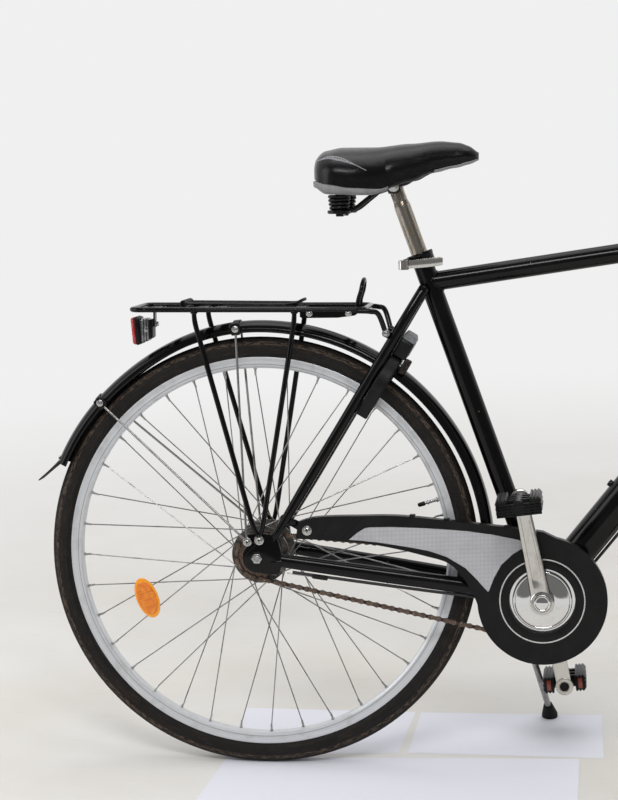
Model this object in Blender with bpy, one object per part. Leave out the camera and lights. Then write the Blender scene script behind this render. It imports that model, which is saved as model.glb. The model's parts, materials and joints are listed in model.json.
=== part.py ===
# City bicycle with rack, ring lock and side stand, standing parked and leaning on the stand.
# The bicycle's own frame: X forward, Y to its left, Z up, origin at the rear axle's centre.
# Sizes are in metres. The last step leans the whole bicycle and sets it on the ground.

import math
from math import cos, pi, radians, sin, sqrt

import bmesh
import bpy
from mathutils import Matrix, Vector

TAU = 2 * pi

# Clearances
SEAM = 0.0003          # between fixed pieces that touch
PLAY = 0.0006          # round a piece that turns or slides
AIR = 0.003            # beside a piece that passes by

# Parking
LEAN = radians(7.1)
FOOT_SPREAD = 0.220    # stand foot out from the wheel plane
FOOT_AHEAD = 0.0075    # stand foot ahead of the bottom bracket

# Wheels
WHEEL_SIDES = 40
RIM_RADIUS = 0.317
RIM_DEPTH = 0.0195
RIM_WIDTH = 0.025
RIM_WALL = 0.0018
TYRE_HEIGHT = 0.031
TYRE_RADIUS = RIM_RADIUS + TYRE_HEIGHT
TYRE_WIDTH = 0.037
SPOKES = 36
SPOKE_RADIUS = 0.0011
SPOKE_OFFSET = 0.0024  # spoke heads alternate on the two faces of a flange
SPOKE_PHASE = 22.0     # angle of the first spoke hole in the rim
REAR_LACING = 55.0     # degrees between a spoke's flange hole and its rim hole
FRONT_LACING = 60.0
VALVE_ANGLE = 17.0
VALVE_LENGTH = 0.036

# Rear hub and axle
AXLE_RADIUS = 0.0048
DROPOUT_SPACE = 0.130
DROPOUT_THICK = 0.006
NUT_RADIUS = 0.0088
NUT_LENGTH = 0.008
AXLE_TIP = 0.003
HUB_RADIUS = 0.034
HUB_FLANGE = 0.0465
HUB_FLANGE_Y = 0.034
FLANGE_THICK = 0.003
DRIVER_RADIUS = 0.019
DRIVER_Y = 0.058

# Front hub
FRONT_SPACE = 0.100
FRONT_HUB_RADIUS = 0.013
FRONT_FLANGE = 0.020
FRONT_FLANGE_Y = 0.035

# Drive
CHAIN_PITCH = 0.0127
CHAINRING_TEETH = 33
SPROCKET_TEETH = 18
CHAIN_LINE = 0.0475
CHAIN_WIDTH = 0.009
CHAIN_HEIGHT = 0.0084
TOOTH_WIDTH = 0.0032
CRANK_LENGTH = 0.170
CRANK_ANGLE = radians(101.5)
CRANK_BOSS = 0.0195
CRANK_EYE = 0.0145
CRANK_THICK = 0.014
CRANK_INNER_Y = 0.0625
CRANK_FLARE = 0.007
BB_AXLE_RADIUS = 0.0082
CRANK_SEAT = 0.010     # depth of the axle in each crank arm
COVER_RADIUS = 0.047
DUST_CAP_RADIUS = 0.0135

# Pedals
PEDAL_LENGTH = 0.070
PEDAL_WIDTH = 0.092
PEDAL_THICK = 0.027
PEDAL_BAR = 0.019
PEDAL_AXLE = 0.0048
PEDAL_BARREL = 0.0125
PEDAL_PLATE = 0.009

# Frame
STAY_ROOM = 0.1074     # from the tyre to the bottom bracket's axis
CHAIN_STAY = TYRE_RADIUS + STAY_ROOM
BB_DROP = 0.065
BB_RADIUS = 0.021
BB_WIDTH = 0.073
BB_BORE = 0.0165
SEAT_ANGLE = radians(70.2)
SEAT_TUBE_LENGTH = 0.580
SEAT_TUBE_RADIUS = 0.0162
SEAT_POST_RADIUS = 0.0132
TOP_TUBE_BELOW = 0.0487
TOP_TUBE_AT = SEAT_TUBE_LENGTH - TOP_TUBE_BELOW
POST_OUT = 0.113       # from the seat tube's end to the saddle clamp
POST_TOP = SEAT_TUBE_LENGTH + POST_OUT
POST_INSIDE = 0.150
POST_NECK = 0.0115
TOP_TUBE_UNDER = 0.02237  # from the head tube's top to the top tube's axis
TOP_TUBE_RADIUS = 0.0155
DOWN_TUBE_RADIUS = 0.0275
HEAD_ANGLE = radians(70.0)
HEAD_TUBE_LENGTH = 0.160
HEAD_TUBE_RADIUS = 0.0190
HEAD_CUP = 0.014
HEAD_CUP_RADIUS = 0.0225
DOWN_TUBE_AT = 0.062   # above the head tube's lower end
STAY_RADIUS = 0.0085
CLAMP_EAR = 0.030
LEVER_BARREL = 0.0086
CHAIN_STAY_REAR = 0.0090
CHAIN_STAY_FRONT = 0.0105
CHAIN_STAY_TALL = 1.22  # height of an oval chain stay over its width
CHAIN_STAY_LIFT = 0.002 # from the axles' line to its middle
FRONT_ROOM = 0.2691    # from the bottom bracket's axis to the front tyre
WHEELBASE = CHAIN_STAY + FRONT_ROOM + TYRE_RADIUS

# Fork and steering
FORK_RAKE = 0.050
CROWN_ROOM = 0.070     # from the front tyre to the fork's crown race
FORK_LENGTH = TYRE_RADIUS + CROWN_ROOM
STEERER_RADIUS = 0.0143
FORK_HALF = 0.046
FORK_TOP_RADIUS = 0.0140
FORK_TIP_RADIUS = 0.0085
STEM_RISE = 0.092
STEM_REACH = 0.085
STEM_LIFT = 0.045
STEM_RADIUS = 0.0150
BAR_RADIUS = 0.0111
BAR_CENTRE_RADIUS = 0.0127
GRIP_RADIUS = 0.0165
GRIP_LENGTH = 0.118
TWIST_LENGTH = 0.030
HOUSING_LENGTH = 0.024

# Mudguards
GUARD_EDGE = 0.0090    # from the tyre to the mudguard's edge
GUARD_CROWN = 0.0265   # from the tyre to its crown
GUARD_WIDTH = 0.051
GUARD_WALL = 0.0016
REAR_GUARD_FROM = -7.0
REAR_GUARD_TO = 156.7
FRONT_GUARD_FROM = 26.0
FRONT_GUARD_TO = 206.0
GUARD_SQUEEZE = 0.0085 # the rear end of the mudguard sits closer to the tyre
FLAP_RADIUS = TYRE_RADIUS + 0.038
WIRE_RADIUS = 0.0019
CLIP_ANGLES = (137.0, 96.0)

# Rack
RACK_WIDTH = 0.140
RACK_ROD = 0.0042
RACK_ROOM = 0.047      # from the tyre to the platform
RACK_HEIGHT = TYRE_RADIUS + RACK_ROOM
RACK_REAR = -0.200
RACK_FRONT = 0.172
RACK_LEG_X = (-0.098, 0.062)
STRAP_WIDTH = 0.018
STRAP_THICK = 0.003
HOOP_WIDTH = 0.042
HOOP_HEIGHT = 0.044
HOOP_ROD = 0.0035

CLIP_LENGTH = 0.190
CLIP_HALF = 0.030
CLIP_WIRE = 0.0026
CLIP_COIL = 0.0062

# Saddle
SADDLE_BACK = 0.12249    # from the saddle clamp back to the saddle's end
SADDLE_HEIGHT = 0.083
SADDLE_LENGTH = 0.2550
SADDLE_WIDTH = 0.190
RAIL_RADIUS = 0.0035
RAIL_HALF = 0.022
SPRING_RADIUS = 0.0160
SPRING_WIRE = 0.0018
SPRING_TURNS = 3.5
SPRING_SEAT = 0.0050
SPRING_Y = 0.046

# Ring lock
LOCK_ABOVE = 0.020     # from the rim's seat to the lock's centre
LOCK_CENTRE = RIM_RADIUS + LOCK_ABOVE
LOCK_INNER = 0.041
LOCK_OUTER = 0.058
LOCK_THICK = 0.020
LOCK_RING = 0.0485
LOCK_ROD = 0.0042
LOCK_GAP = 42.0        # half angle of the opening at the bottom
LOCK_REACH = 104.0     # arc that the shackle spans

# Stand
STAND_BACK = 0.0417    # pivot behind the bottom bracket
STAND_DROP = 0.040
STAND_Y = 0.028
LEG_RADIUS = 0.0052
FOOT_RADIUS = 0.0135
FOOT_HEIGHT = 0.029
FOLDED = Vector((-0.985, 0.12, 0.12)).normalized()

# Cables
CABLE_RADIUS = 0.0025

X = Vector((1, 0, 0))
Y = Vector((0, 1, 0))
Z = Vector((0, 0, 1))
RIGHT = -1
LEFT = 1

# Places worked out from the sizes
AXLE = Vector((0, 0, 0))
BB = Vector((sqrt(CHAIN_STAY**2 - BB_DROP**2), 0, -BB_DROP))
SEAT_UP = Vector((-cos(SEAT_ANGLE), 0, sin(SEAT_ANGLE)))
SEAT_OUT = Vector((sin(SEAT_ANGLE), 0, cos(SEAT_ANGLE)))
FRONT_AXLE = Vector((WHEELBASE, 0, 0))
STEER_UP = Vector((-cos(HEAD_ANGLE), 0, sin(HEAD_ANGLE)))
STEER_OUT = Vector((sin(HEAD_ANGLE), 0, cos(HEAD_ANGLE)))
STEER_BASE = FRONT_AXLE - STEER_OUT * FORK_RAKE
HEAD_LOW = FORK_LENGTH + HEAD_CUP
HEAD_HIGH = HEAD_LOW + HEAD_TUBE_LENGTH
STEERER_TOP = HEAD_HIGH + HEAD_CUP
RIM_INNER = RIM_RADIUS - RIM_DEPTH
GUARD_LOW = TYRE_RADIUS + GUARD_EDGE
GUARD_HIGH = TYRE_RADIUS + GUARD_CROWN
PLATE_Y = DROPOUT_SPACE / 2 + DROPOUT_THICK
SPROCKET_PITCH = CHAIN_PITCH / (2 * sin(pi / SPROCKET_TEETH))
CHAINRING_PITCH = CHAIN_PITCH / (2 * sin(pi / CHAINRING_TEETH))
CRANK_OUT = Vector((cos(CRANK_ANGLE), 0, sin(CRANK_ANGLE)))
UP_IN_BICYCLE = Vector((0, -sin(LEAN), cos(LEAN)))
RAIL_Y = RACK_WIDTH / 2 - RACK_ROD
STAY_TOP = BB + SEAT_UP * (TOP_TUBE_AT - 0.004) - SEAT_OUT * 0.008
STAY_FOOT = Vector((0.026, 0, 0.030))
STAY_ALONG = (STAY_TOP - STAY_FOOT).normalized()
STAY_OUT = Vector((STAY_ALONG.z, 0, -STAY_ALONG.x))
LOCK_AHEAD = STAY_FOOT.dot(STAY_OUT) + STAY_RADIUS + SEAM + LOCK_THICK / 2


def seat_point(along, y=0.0, out=0.0):
    return BB + SEAT_UP * along + SEAT_OUT * out + Y * y


SADDLE_AT = seat_point(POST_TOP)
SADDLE_REAR = SADDLE_AT.x - SADDLE_BACK


def steer_point(out, y, up):
    return STEER_BASE + STEER_OUT * out + Y * y + STEER_UP * up


def polar(centre, radius, degrees, y=0.0):
    angle = radians(degrees)
    return Vector((centre.x + radius * cos(angle), y, centre.z + radius * sin(angle)))


# Shapes. Each returns a bmesh in the bicycle's frame.


def across(axis):
    """Two directions square to an axis."""
    axis = axis.normalized()
    first = X if abs(axis.x) < 0.9 else Z
    first = (first - axis * first.dot(axis)).normalized()
    return first, axis.cross(first)


def finish(shape):
    bmesh.ops.recalc_face_normals(shape, faces=shape.faces)
    return shape


def tube(path, radius, sides=10, flat=1.0, face=None):
    """Round bar along a path. The radius may be one value or one for each point."""
    points = [Vector(p) for p in path]
    radii = list(radius) if isinstance(radius, (list, tuple)) else [radius] * len(points)
    shape = bmesh.new()
    rings = []
    normal = face
    for i, point in enumerate(points):
        before = points[max(i - 1, 0)]
        after = points[min(i + 1, len(points) - 1)]
        tangent = (after - before).normalized()
        if normal is None:
            normal = across(tangent)[0]
        normal = (normal - tangent * normal.dot(tangent)).normalized()
        side = tangent.cross(normal)
        ring = []
        for k in range(sides):
            turn = TAU * (k + 0.5) / sides
            spot = normal * cos(turn) * radii[i] + side * sin(turn) * radii[i] * flat
            ring.append(shape.verts.new(point + spot))
        rings.append(ring)
    for low, high in zip(rings, rings[1:]):
        for k in range(sides):
            shape.faces.new((low[k - 1], low[k], high[k], high[k - 1]))
    shape.faces.new(rings[0])
    shape.faces.new(rings[-1])
    return finish(shape)


def rod(start, end, radius, sides=12):
    return tube([start, end], radius, sides)


def lathe(profile, centre, axis, sides, first=None, arc=None):
    """Turned ring or disc. The profile is a closed loop of (radius, along the axis)."""
    axis = axis.normalized()
    u, v = across(axis)
    if first is not None:
        u = first
        v = axis.cross(u)
    shape = bmesh.new()
    start, sweep = arc if arc else (0.0, 360.0)
    count = sides if arc is None else sides + 1
    rings = []
    poles = {}
    for k in range(count):
        turn = radians(start + sweep * (k + (0.5 if arc is None else 0.0)) / sides)
        spoke = u * cos(turn) + v * sin(turn)
        ring = []
        for i, (r, h) in enumerate(profile):
            if r < 1e-9:
                if i not in poles:
                    poles[i] = shape.verts.new(centre + axis * h)
                ring.append(poles[i])
            else:
                ring.append(shape.verts.new(centre + axis * h + spoke * r))
        rings.append(ring)
    pairs = list(zip(rings, rings[1:]))
    if arc is None:
        pairs.append((rings[-1], rings[0]))
    for one, two in pairs:
        for i in range(len(profile)):
            corners = []
            for vert in (one[i - 1], one[i], two[i], two[i - 1]):
                if vert not in corners:
                    corners.append(vert)
            if len(corners) > 2:
                shape.faces.new(corners)
    if arc:
        shape.faces.new(rings[0])
        shape.faces.new(rings[-1])
    return finish(shape)


def ring_profile(inner, outer, low, high):
    return [(inner, low), (outer, low), (outer, high), (inner, high)]


def slab(outline, low, high):
    """Plate: an outline of (x, z) points, thick along Y from low to high."""
    shape = bmesh.new()
    base = [shape.verts.new((x, low, z)) for x, z in outline]
    face = shape.faces.new(base)
    made = bmesh.ops.extrude_face_region(shape, geom=[face])
    moved = [item for item in made["geom"] if isinstance(item, bmesh.types.BMVert)]
    bmesh.ops.translate(shape, vec=(0, high - low, 0), verts=moved)
    return finish(shape)


def hull(points):
    """Convex solid round some points."""
    shape = bmesh.new()
    for spot in points:
        shape.verts.new(spot)
    made = bmesh.ops.convex_hull(shape, input=shape.verts)
    loose = [item for item in made["geom_interior"] if isinstance(item, bmesh.types.BMVert)]
    bmesh.ops.delete(shape, geom=loose, context="VERTS")
    bmesh.ops.dissolve_limit(
        shape, angle_limit=radians(0.5), verts=shape.verts, edges=shape.edges)
    return finish(shape)


def disc_points(centre, radius, axis, sides, turn=0.0):
    u, v = across(axis)
    angles = [TAU * k / sides + turn for k in range(sides)]
    return [centre + (u * cos(a) + v * sin(a)) * radius for a in angles]


def block(centre, size, turn=None):
    shape = bmesh.new()
    bmesh.ops.create_cube(shape, size=1.0)
    bmesh.ops.scale(shape, vec=size, verts=shape.verts)
    place = Matrix.Translation(centre)
    if turn is not None:
        place = place @ turn
    bmesh.ops.transform(shape, matrix=place, verts=shape.verts)
    return finish(shape)


def to_mesh(shape):
    mesh = bpy.data.meshes.new("work")
    shape.to_mesh(mesh)
    shape.free()
    return mesh


def boolean(base, tool, operation):
    """Join or cut two bmeshes with a Boolean modifier and give back the result."""
    objects = []
    for shape in (base, tool):
        item = bpy.data.objects.new("work", to_mesh(shape))
        bpy.context.scene.collection.objects.link(item)
        objects.append(item)
    change = objects[0].modifiers.new("change", "BOOLEAN")
    change.object = objects[1]
    change.operation = operation
    change.solver = "EXACT"
    bpy.context.view_layer.update()
    graph = bpy.context.evaluated_depsgraph_get()
    made = bpy.data.meshes.new_from_object(objects[0].evaluated_get(graph))
    result = bmesh.new()
    result.from_mesh(made)
    bpy.data.meshes.remove(made)
    for item in objects:
        mesh = item.data
        bpy.data.objects.remove(item)
        bpy.data.meshes.remove(mesh)
    return result


def fuse(first, *others):
    for other in others:
        first = boolean(first, other, "UNION")
    return first


def cut(first, *tools):
    for tool in tools:
        first = boolean(first, tool, "DIFFERENCE")
    return first


def smooth_path(points, count):
    """Evenly counted points on a smooth curve through the given ones."""
    knots = [Vector(p) for p in points]
    ends = [knots[0] * 2 - knots[1]] + knots + [knots[-1] * 2 - knots[-2]]
    dense = []
    for i in range(1, len(ends) - 2):
        a, b, c, d = ends[i - 1], ends[i], ends[i + 1], ends[i + 2]
        for k in range(16):
            t = k / 16
            dense.append(0.5 * (2 * b + (c - a) * t + (2 * a - 5 * b + 4 * c - d) * t * t
                                + (3 * b - a - 3 * c + d) * t**3))
    dense.append(knots[-1])
    run = [0.0]
    for one, two in zip(dense, dense[1:]):
        run.append(run[-1] + (two - one).length)
    path = []
    spot = 0
    for k in range(count):
        goal = run[-1] * k / (count - 1)
        while spot < len(run) - 2 and run[spot + 1] < goal:
            spot += 1
        share = (goal - run[spot]) / (run[spot + 1] - run[spot])
        path.append(dense[spot].lerp(dense[spot + 1], min(max(share, 0.0), 1.0)))
    return path


# Objects, their materials and the empties that they turn about

EMPTIES = {}
PLACES = {}
MATERIALS = {}


def material(name, colour, roughness, metallic=0.0):
    if name not in MATERIALS:
        made = bpy.data.materials.new(name)
        made.use_nodes = True
        shader = made.node_tree.nodes["Principled BSDF"]
        shader.inputs["Base Color"].default_value = (*colour, 1.0)
        shader.inputs["Roughness"].default_value = roughness
        shader.inputs["Metallic"].default_value = metallic
        made.diffuse_color = (*colour, 1.0)
        MATERIALS[name] = made
    return MATERIALS[name]


FINISHES = {
    "gloss_black_paint": ((0.010, 0.010, 0.011), 0.18, 0.0),
    "satin_black_plastic": ((0.018, 0.018, 0.019), 0.45, 0.0),
    "black_rubber": ((0.014, 0.013, 0.012), 0.75, 0.0),
    "aged_tyre": ((0.020, 0.016, 0.013), 0.80, 0.0),
    "black_wire": ((0.012, 0.012, 0.012), 0.35, 0.0),
    "polished_alloy": ((0.78, 0.78, 0.78), 0.18, 1.0),
    "satin_alloy": ((0.62, 0.62, 0.63), 0.38, 1.0),
    "chrome": ((0.70, 0.70, 0.71), 0.08, 1.0),
    "steel": ((0.45, 0.45, 0.46), 0.35, 1.0),
    "rusty_steel": ((0.16, 0.075, 0.045), 0.80, 0.35),
    "black_vinyl": ((0.012, 0.012, 0.013), 0.42, 0.0),
    "grey_plastic": ((0.22, 0.22, 0.22), 0.50, 0.0),
    "red_lens": ((0.45, 0.005, 0.012), 0.12, 0.0),
    "orange_reflector": ((0.85, 0.22, 0.01), 0.20, 0.0),
}


def empty(name, place, parent=None):
    item = bpy.data.objects.new(name, None)
    item.empty_display_size = 0.05
    bpy.context.scene.collection.objects.link(item)
    item.parent = parent
    base = PLACES[parent.name] if parent else Vector((0, 0, 0))
    item.location = place - base
    EMPTIES[name] = item
    PLACES[name] = place
    return item


def piece(name, shape, finish_name, body):
    """Make one named object, with its origin on its body's axis."""
    place = PLACES[body]
    bmesh.ops.remove_doubles(shape, verts=shape.verts, dist=1e-6)
    bmesh.ops.translate(shape, vec=-place, verts=shape.verts)
    mesh = bpy.data.meshes.new(name)
    shape.to_mesh(mesh)
    shape.free()
    mesh.shade_smooth()
    mesh.set_sharp_from_angle(angle=radians(35))
    mesh.materials.append(material(finish_name, *FINISHES[finish_name]))
    item = bpy.data.objects.new(name, mesh)
    bpy.context.scene.collection.objects.link(item)
    item.parent = EMPTIES[body]
    return item


# Wheels


def tyre_shape(centre):
    low = RIM_RADIUS - 0.008
    seat = RIM_WIDTH / 2 - RIM_WALL - SEAM
    half = TYRE_WIDTH / 2
    height = TYRE_RADIUS - RIM_RADIUS
    side = [
        (low, seat),
        (RIM_RADIUS + 0.0012, seat),
        (RIM_RADIUS + 0.26 * height, half * 0.90),
        (RIM_RADIUS + 0.54 * height, half),
        (RIM_RADIUS + 0.87 * height, half * 0.66),
    ]
    profile = side + [(TYRE_RADIUS, 0.0)] + [(r, -y) for r, y in reversed(side)]
    return lathe(profile, centre, Y, WHEEL_SIDES)


def rim_shape(centre):
    half = RIM_WIDTH / 2
    bed = RIM_RADIUS - 0.0115
    side = [(RIM_INNER, half * 0.56), (bed, half), (RIM_RADIUS, half)]
    channel = [(RIM_RADIUS, half - RIM_WALL), (bed, half - RIM_WALL)]
    right = side + channel
    profile = right + [(r, -y) for r, y in reversed(right)]
    rim = lathe(profile, centre, Y, WHEEL_SIDES)
    root = polar(centre, RIM_INNER + 0.003, VALVE_ANGLE)
    neck = polar(centre, RIM_INNER - VALVE_LENGTH * 0.45, VALVE_ANGLE)
    tip = polar(centre, RIM_INNER - VALVE_LENGTH, VALVE_ANGLE)
    return fuse(rim, tube([root, neck, neck.lerp(tip, 0.05), tip],
                          [0.0030, 0.0026, 0.0038, 0.0036], 8))


def spoke_shapes(centre, flange, flange_y, lacing):
    """Crossed spokes. Each group of four has two on either flange, turned opposite ways."""
    tip = RIM_INNER * cos(pi / WHEEL_SIDES) - SEAM
    step = 360.0 / SPOKES
    roles = ((LEFT, 1), (RIGHT, 1), (LEFT, -1), (RIGHT, -1))
    spokes = []
    for k in range(SPOKES):
        side, turn = roles[k % 4]
        rim = SPOKE_PHASE + step * k
        start = polar(centre, flange - 0.003, rim + turn * lacing,
                      side * (flange_y + turn * SPOKE_OFFSET))
        end = polar(centre, tip, rim, side * RIM_WIDTH * 0.12)
        spokes.append(rod(start, end, SPOKE_RADIUS, 3))
    return spokes


def joined(shapes):
    """All the bodies in one bmesh, before a Boolean makes them one."""
    total = bmesh.new()
    for shape in shapes:
        mesh = to_mesh(shape)
        total.from_mesh(mesh)
        bpy.data.meshes.remove(mesh)
    return total


def hub_profile(bore, barrel, flange, flange_y, ends):
    thick = FLANGE_THICK / 2 + SPOKE_OFFSET
    small = min(barrel * 0.8, DRIVER_RADIUS)
    side = [
        (barrel, flange_y - thick - 0.003),
        (flange, flange_y - thick),
        (flange, flange_y + thick),
        (small, flange_y + thick + 0.0015),
        (small, ends),
        (bore, ends),
    ]
    return side + [(r, -y) for r, y in reversed(side)]


def wheel(prefix, body, centre, axle_radius, hub, lacing):
    barrel, flange, flange_y, ends = hub
    profile = hub_profile(axle_radius + PLAY, barrel, flange, flange_y, ends)
    core = lathe(profile, centre, Y, 24)
    laced = boolean(core, joined(spoke_shapes(centre, flange, flange_y, lacing)), "UNION")
    piece(prefix + "_hub_and_spokes", laced, "satin_alloy", body)
    piece(prefix + "_rim", rim_shape(centre), "polished_alloy", body)
    piece(prefix + "_tyre", tyre_shape(centre), "aged_tyre", body)


def rear_wheel():
    empty("rear_wheel", AXLE, EMPTIES["frame"])
    hub = (HUB_RADIUS, HUB_FLANGE, HUB_FLANGE_Y, DRIVER_Y)
    wheel("rear", "rear_wheel", AXLE, AXLE_RADIUS, hub, REAR_LACING)
    middle = polar(AXLE, RIM_INNER - 0.094, 202.0)
    width = Vector((cos(radians(202)), 0, sin(radians(202))))
    long = Vector((-width.z, 0, width.x))
    rim = []
    for k in range(14):
        turn = TAU * k / 14
        spot = middle + width * cos(turn) * 0.018 + long * sin(turn) * 0.034
        rim.append(spot + Y * -0.0265)
        rim.append(spot + Y * -0.0205)
    piece("spoke_reflector", hull(rim), "orange_reflector", "rear_wheel")


def front_wheel():
    empty("front_wheel", FRONT_AXLE, EMPTIES["steering"])
    ends = FRONT_SPACE / 2 - PLAY
    hub = (FRONT_HUB_RADIUS, FRONT_FLANGE, FRONT_FLANGE_Y, ends)
    wheel("front", "front_wheel", FRONT_AXLE, AXLE_RADIUS, hub, FRONT_LACING)


# Frame


def main_tubes():
    seat_bore = SEAT_POST_RADIUS + SEAM
    seat = lathe(
        ring_profile(seat_bore, SEAT_TUBE_RADIUS, 0.0, SEAT_TUBE_LENGTH), BB, SEAT_UP, 16)
    shell_cutter = rod(BB - Y * BB_WIDTH, BB + Y * BB_WIDTH, BB_RADIUS + SEAM, 24)
    seat = cut(seat, shell_cutter)
    piece("seat_tube", seat, "gloss_black_paint", "frame")

    shell = lathe(ring_profile(BB_BORE, BB_RADIUS, -BB_WIDTH / 2, BB_WIDTH / 2), BB, Y, 24)
    piece("bottom_bracket_shell", shell, "gloss_black_paint", "frame")

    low = HEAD_LOW
    high = HEAD_HIGH
    bore = STEERER_RADIUS + PLAY
    profile = [
        (bore, low - HEAD_CUP + SEAM),
        (HEAD_CUP_RADIUS, low - HEAD_CUP + SEAM),
        (HEAD_CUP_RADIUS, low - 0.003),
        (HEAD_TUBE_RADIUS, low),
        (HEAD_TUBE_RADIUS, high),
        (HEAD_CUP_RADIUS, high + 0.003),
        (HEAD_CUP_RADIUS, high + HEAD_CUP),
        (bore, high + HEAD_CUP),
    ]
    head = lathe(profile, STEER_BASE, STEER_UP, 16)
    piece("head_tube", head, "gloss_black_paint", "frame")

    seat_cutter = rod(seat_point(-0.05), seat_point(SEAT_TUBE_LENGTH + 0.05),
                      SEAT_TUBE_RADIUS + SEAM, 16)
    head_cutter = rod(steer_point(0, 0, low - 0.1), steer_point(0, 0, high + 0.1),
                      HEAD_TUBE_RADIUS + SEAM, 16)
    top_start = seat_point(TOP_TUBE_AT)
    top_end = steer_point(0, 0, HEAD_HIGH - TOP_TUBE_UNDER)
    top = cut(rod(top_start, top_end, TOP_TUBE_RADIUS, 16),
              copy_shape(seat_cutter), copy_shape(head_cutter))
    piece("top_tube", top, "gloss_black_paint", "frame")

    end = steer_point(0, 0, low + DOWN_TUBE_AT)
    along = (end - BB).normalized()
    narrow = BB_RADIUS * 0.9
    down = tube([BB + along * 0.002, BB + along * 0.080, end],
                [narrow, DOWN_TUBE_RADIUS, DOWN_TUBE_RADIUS], 16)
    over = along.cross(Y).normalized()
    if over.z < 0:
        over = -over
    bosses = []
    for at in (0.207, 0.271):
        base = BB + along * at + over * (DOWN_TUBE_RADIUS - 0.004)
        bosses.append(rod(base, base + over * 0.009, 0.0055, 12))
    guide = BB + along * 0.178 - over * (DOWN_TUBE_RADIUS - 0.001) + Y * 0.0042
    bosses.append(rod(guide - along * 0.008, guide + along * 0.008, 0.0045, 8))
    down = fuse(down, *bosses)
    down = cut(down, rod(BB - Y * BB_WIDTH, BB + Y * BB_WIDTH, BB_RADIUS + SEAM, 24),
               seat_cutter, head_cutter)
    piece("down_tube", down, "gloss_black_paint", "frame")


def copy_shape(shape):
    return shape.copy()


def dropout(side):
    """Rear plate with two eyelets on its upper edge."""
    edge = []
    for k in range(9):
        turn = radians(100 + 160 * k / 8)
        edge.append((0.024 * cos(turn), 0.024 * sin(turn)))
    edge += [(0.036, -0.026), (0.038, 0.010), (0.030, 0.034), (0.013, 0.039)]
    edge += [(-0.006, 0.039), (-0.018, 0.036), (-0.024, 0.027)]
    inner = DROPOUT_SPACE / 2
    low, high = sorted((side * inner, side * PLATE_Y))
    return slab(edge, low, high)


def chain_stay(side):
    start = Vector((0.030, side * (DROPOUT_SPACE / 2 - 0.002), CHAIN_STAY_LIFT - 0.006))
    end = Vector((BB.x - BB_RADIUS * 0.2, side * 0.0310, BB.z + CHAIN_STAY_LIFT))
    path = [start]
    for share, y in ((0.41, 0.0505), (0.745, 0.0360)):
        spot = start.lerp(end, share)
        path.append(Vector((spot.x, side * y, spot.z)))
    path.append(end)
    radii = [CHAIN_STAY_REAR, 0.0102, CHAIN_STAY_FRONT, CHAIN_STAY_FRONT]
    stay = fuse(tube(path, radii, 12, CHAIN_STAY_TALL, Y), dropout(side))
    hole = rod(Y * side * 0.02, Y * side * 0.12, AXLE_RADIUS + SEAM, 16)
    shell = rod(BB - Y * BB_WIDTH, BB + Y * BB_WIDTH, BB_RADIUS + SEAM, 24)
    return cut(stay, hole, shell)


def seat_stay(side, radius=STAY_RADIUS, foot_radius=0.0065):
    path = seat_stay_path(side)
    return tube(path, [radius, radius, radius, foot_radius], 12)


def seat_stay_path(side):
    top = STAY_TOP + Y * side * 0.0225
    foot = STAY_FOOT + Y * side * (DROPOUT_SPACE / 2 + 0.0025)
    bend = top.lerp(foot, 0.13)
    bend.y = side * 0.0385
    knee = top.lerp(foot, 0.80)
    knee.y = side * 0.0600
    return [top, bend, knee, foot]


def stay_at(height, side):
    """The middle of a seat stay at some height."""
    bend, knee = seat_stay_path(side)[1:3]
    return bend.lerp(knee, (bend.z - height) / (bend.z - knee.z))


def stays():
    piece("chain_stay_right", chain_stay(RIGHT), "gloss_black_paint", "frame")
    left = chain_stay(LEFT)
    plate_x = BB.x - STAND_BACK
    pivot = stand_pivot()
    plate = hull([
        Vector((plate_x + dx, y, z))
        for dx in (-0.022, 0.014)
        for y, z in ((-0.018, BB.z - 0.014), (0.034, BB.z - 0.014), (-0.018, BB.z - 0.009),
                     (0.034, BB.z - 0.002))
    ])
    neck = hull([
        Vector((plate_x + dx, y, BB.z - 0.012))
        for dx in (-0.010, 0.010) for y in (STAND_Y - 0.030, STAND_Y - 0.014)
    ] + disc_points(pivot - STAND_AXIS * 0.009, 0.0085, STAND_AXIS, 8))
    socket = rod(pivot - STAND_AXIS * 0.012, pivot + STAND_AXIS * 0.001, 0.0125, 16)
    piece("chain_stay_left", fuse(left, plate, neck, socket), "gloss_black_paint", "frame")

    seat_cutter = rod(seat_point(0), seat_point(SEAT_TUBE_LENGTH + 0.05),
                      SEAT_TUBE_RADIUS + SEAM, 16)
    for side, name in ((RIGHT, "right"), (LEFT, "left")):
        stay = seat_stay(side)
        if side == RIGHT:
            stay = fuse(stay, *guard_bracket())
        else:
            middle = bridge_point(BRIDGE_RADIUS)
            stay = fuse(stay, rod(middle - Y * 0.028, middle + Y * 0.044, 0.0055, 10))
        stay = cut(stay, copy_shape(seat_cutter), dropout_cutter(side))
        piece("seat_stay_" + name, stay, "gloss_black_paint", "frame")
    seat_cutter.free()


BRIDGE_RADIUS = GUARD_HIGH + 0.010


def guard_bracket():
    """Strap from the right seat stay to the chain guard's rear bolt."""
    inner = -GUARD_PLATE_Y + SEAM
    bolt = Vector((GUARD_BOLT[0], inner, GUARD_BOLT[1]))
    elbow = Vector((0.056, inner, 0.0545))
    root = Vector((STAY_FOOT.x + 0.016, -0.0655, 0.0630))
    thick = Y * 0.0025
    strap = hull(disc_points(bolt, 0.0078, Y, 12) + disc_points(bolt + thick, 0.0078, Y, 12)
                 + disc_points(elbow, 0.0065, Y, 10) + disc_points(elbow + thick, 0.0065, Y, 10))
    link = hull(disc_points(elbow, 0.0065, Y, 10) + disc_points(elbow + thick, 0.0065, Y, 10)
                + disc_points(root, 0.0062, Y, 10) + disc_points(root + thick * 2, 0.0062, Y, 10))
    return strap, link


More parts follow.
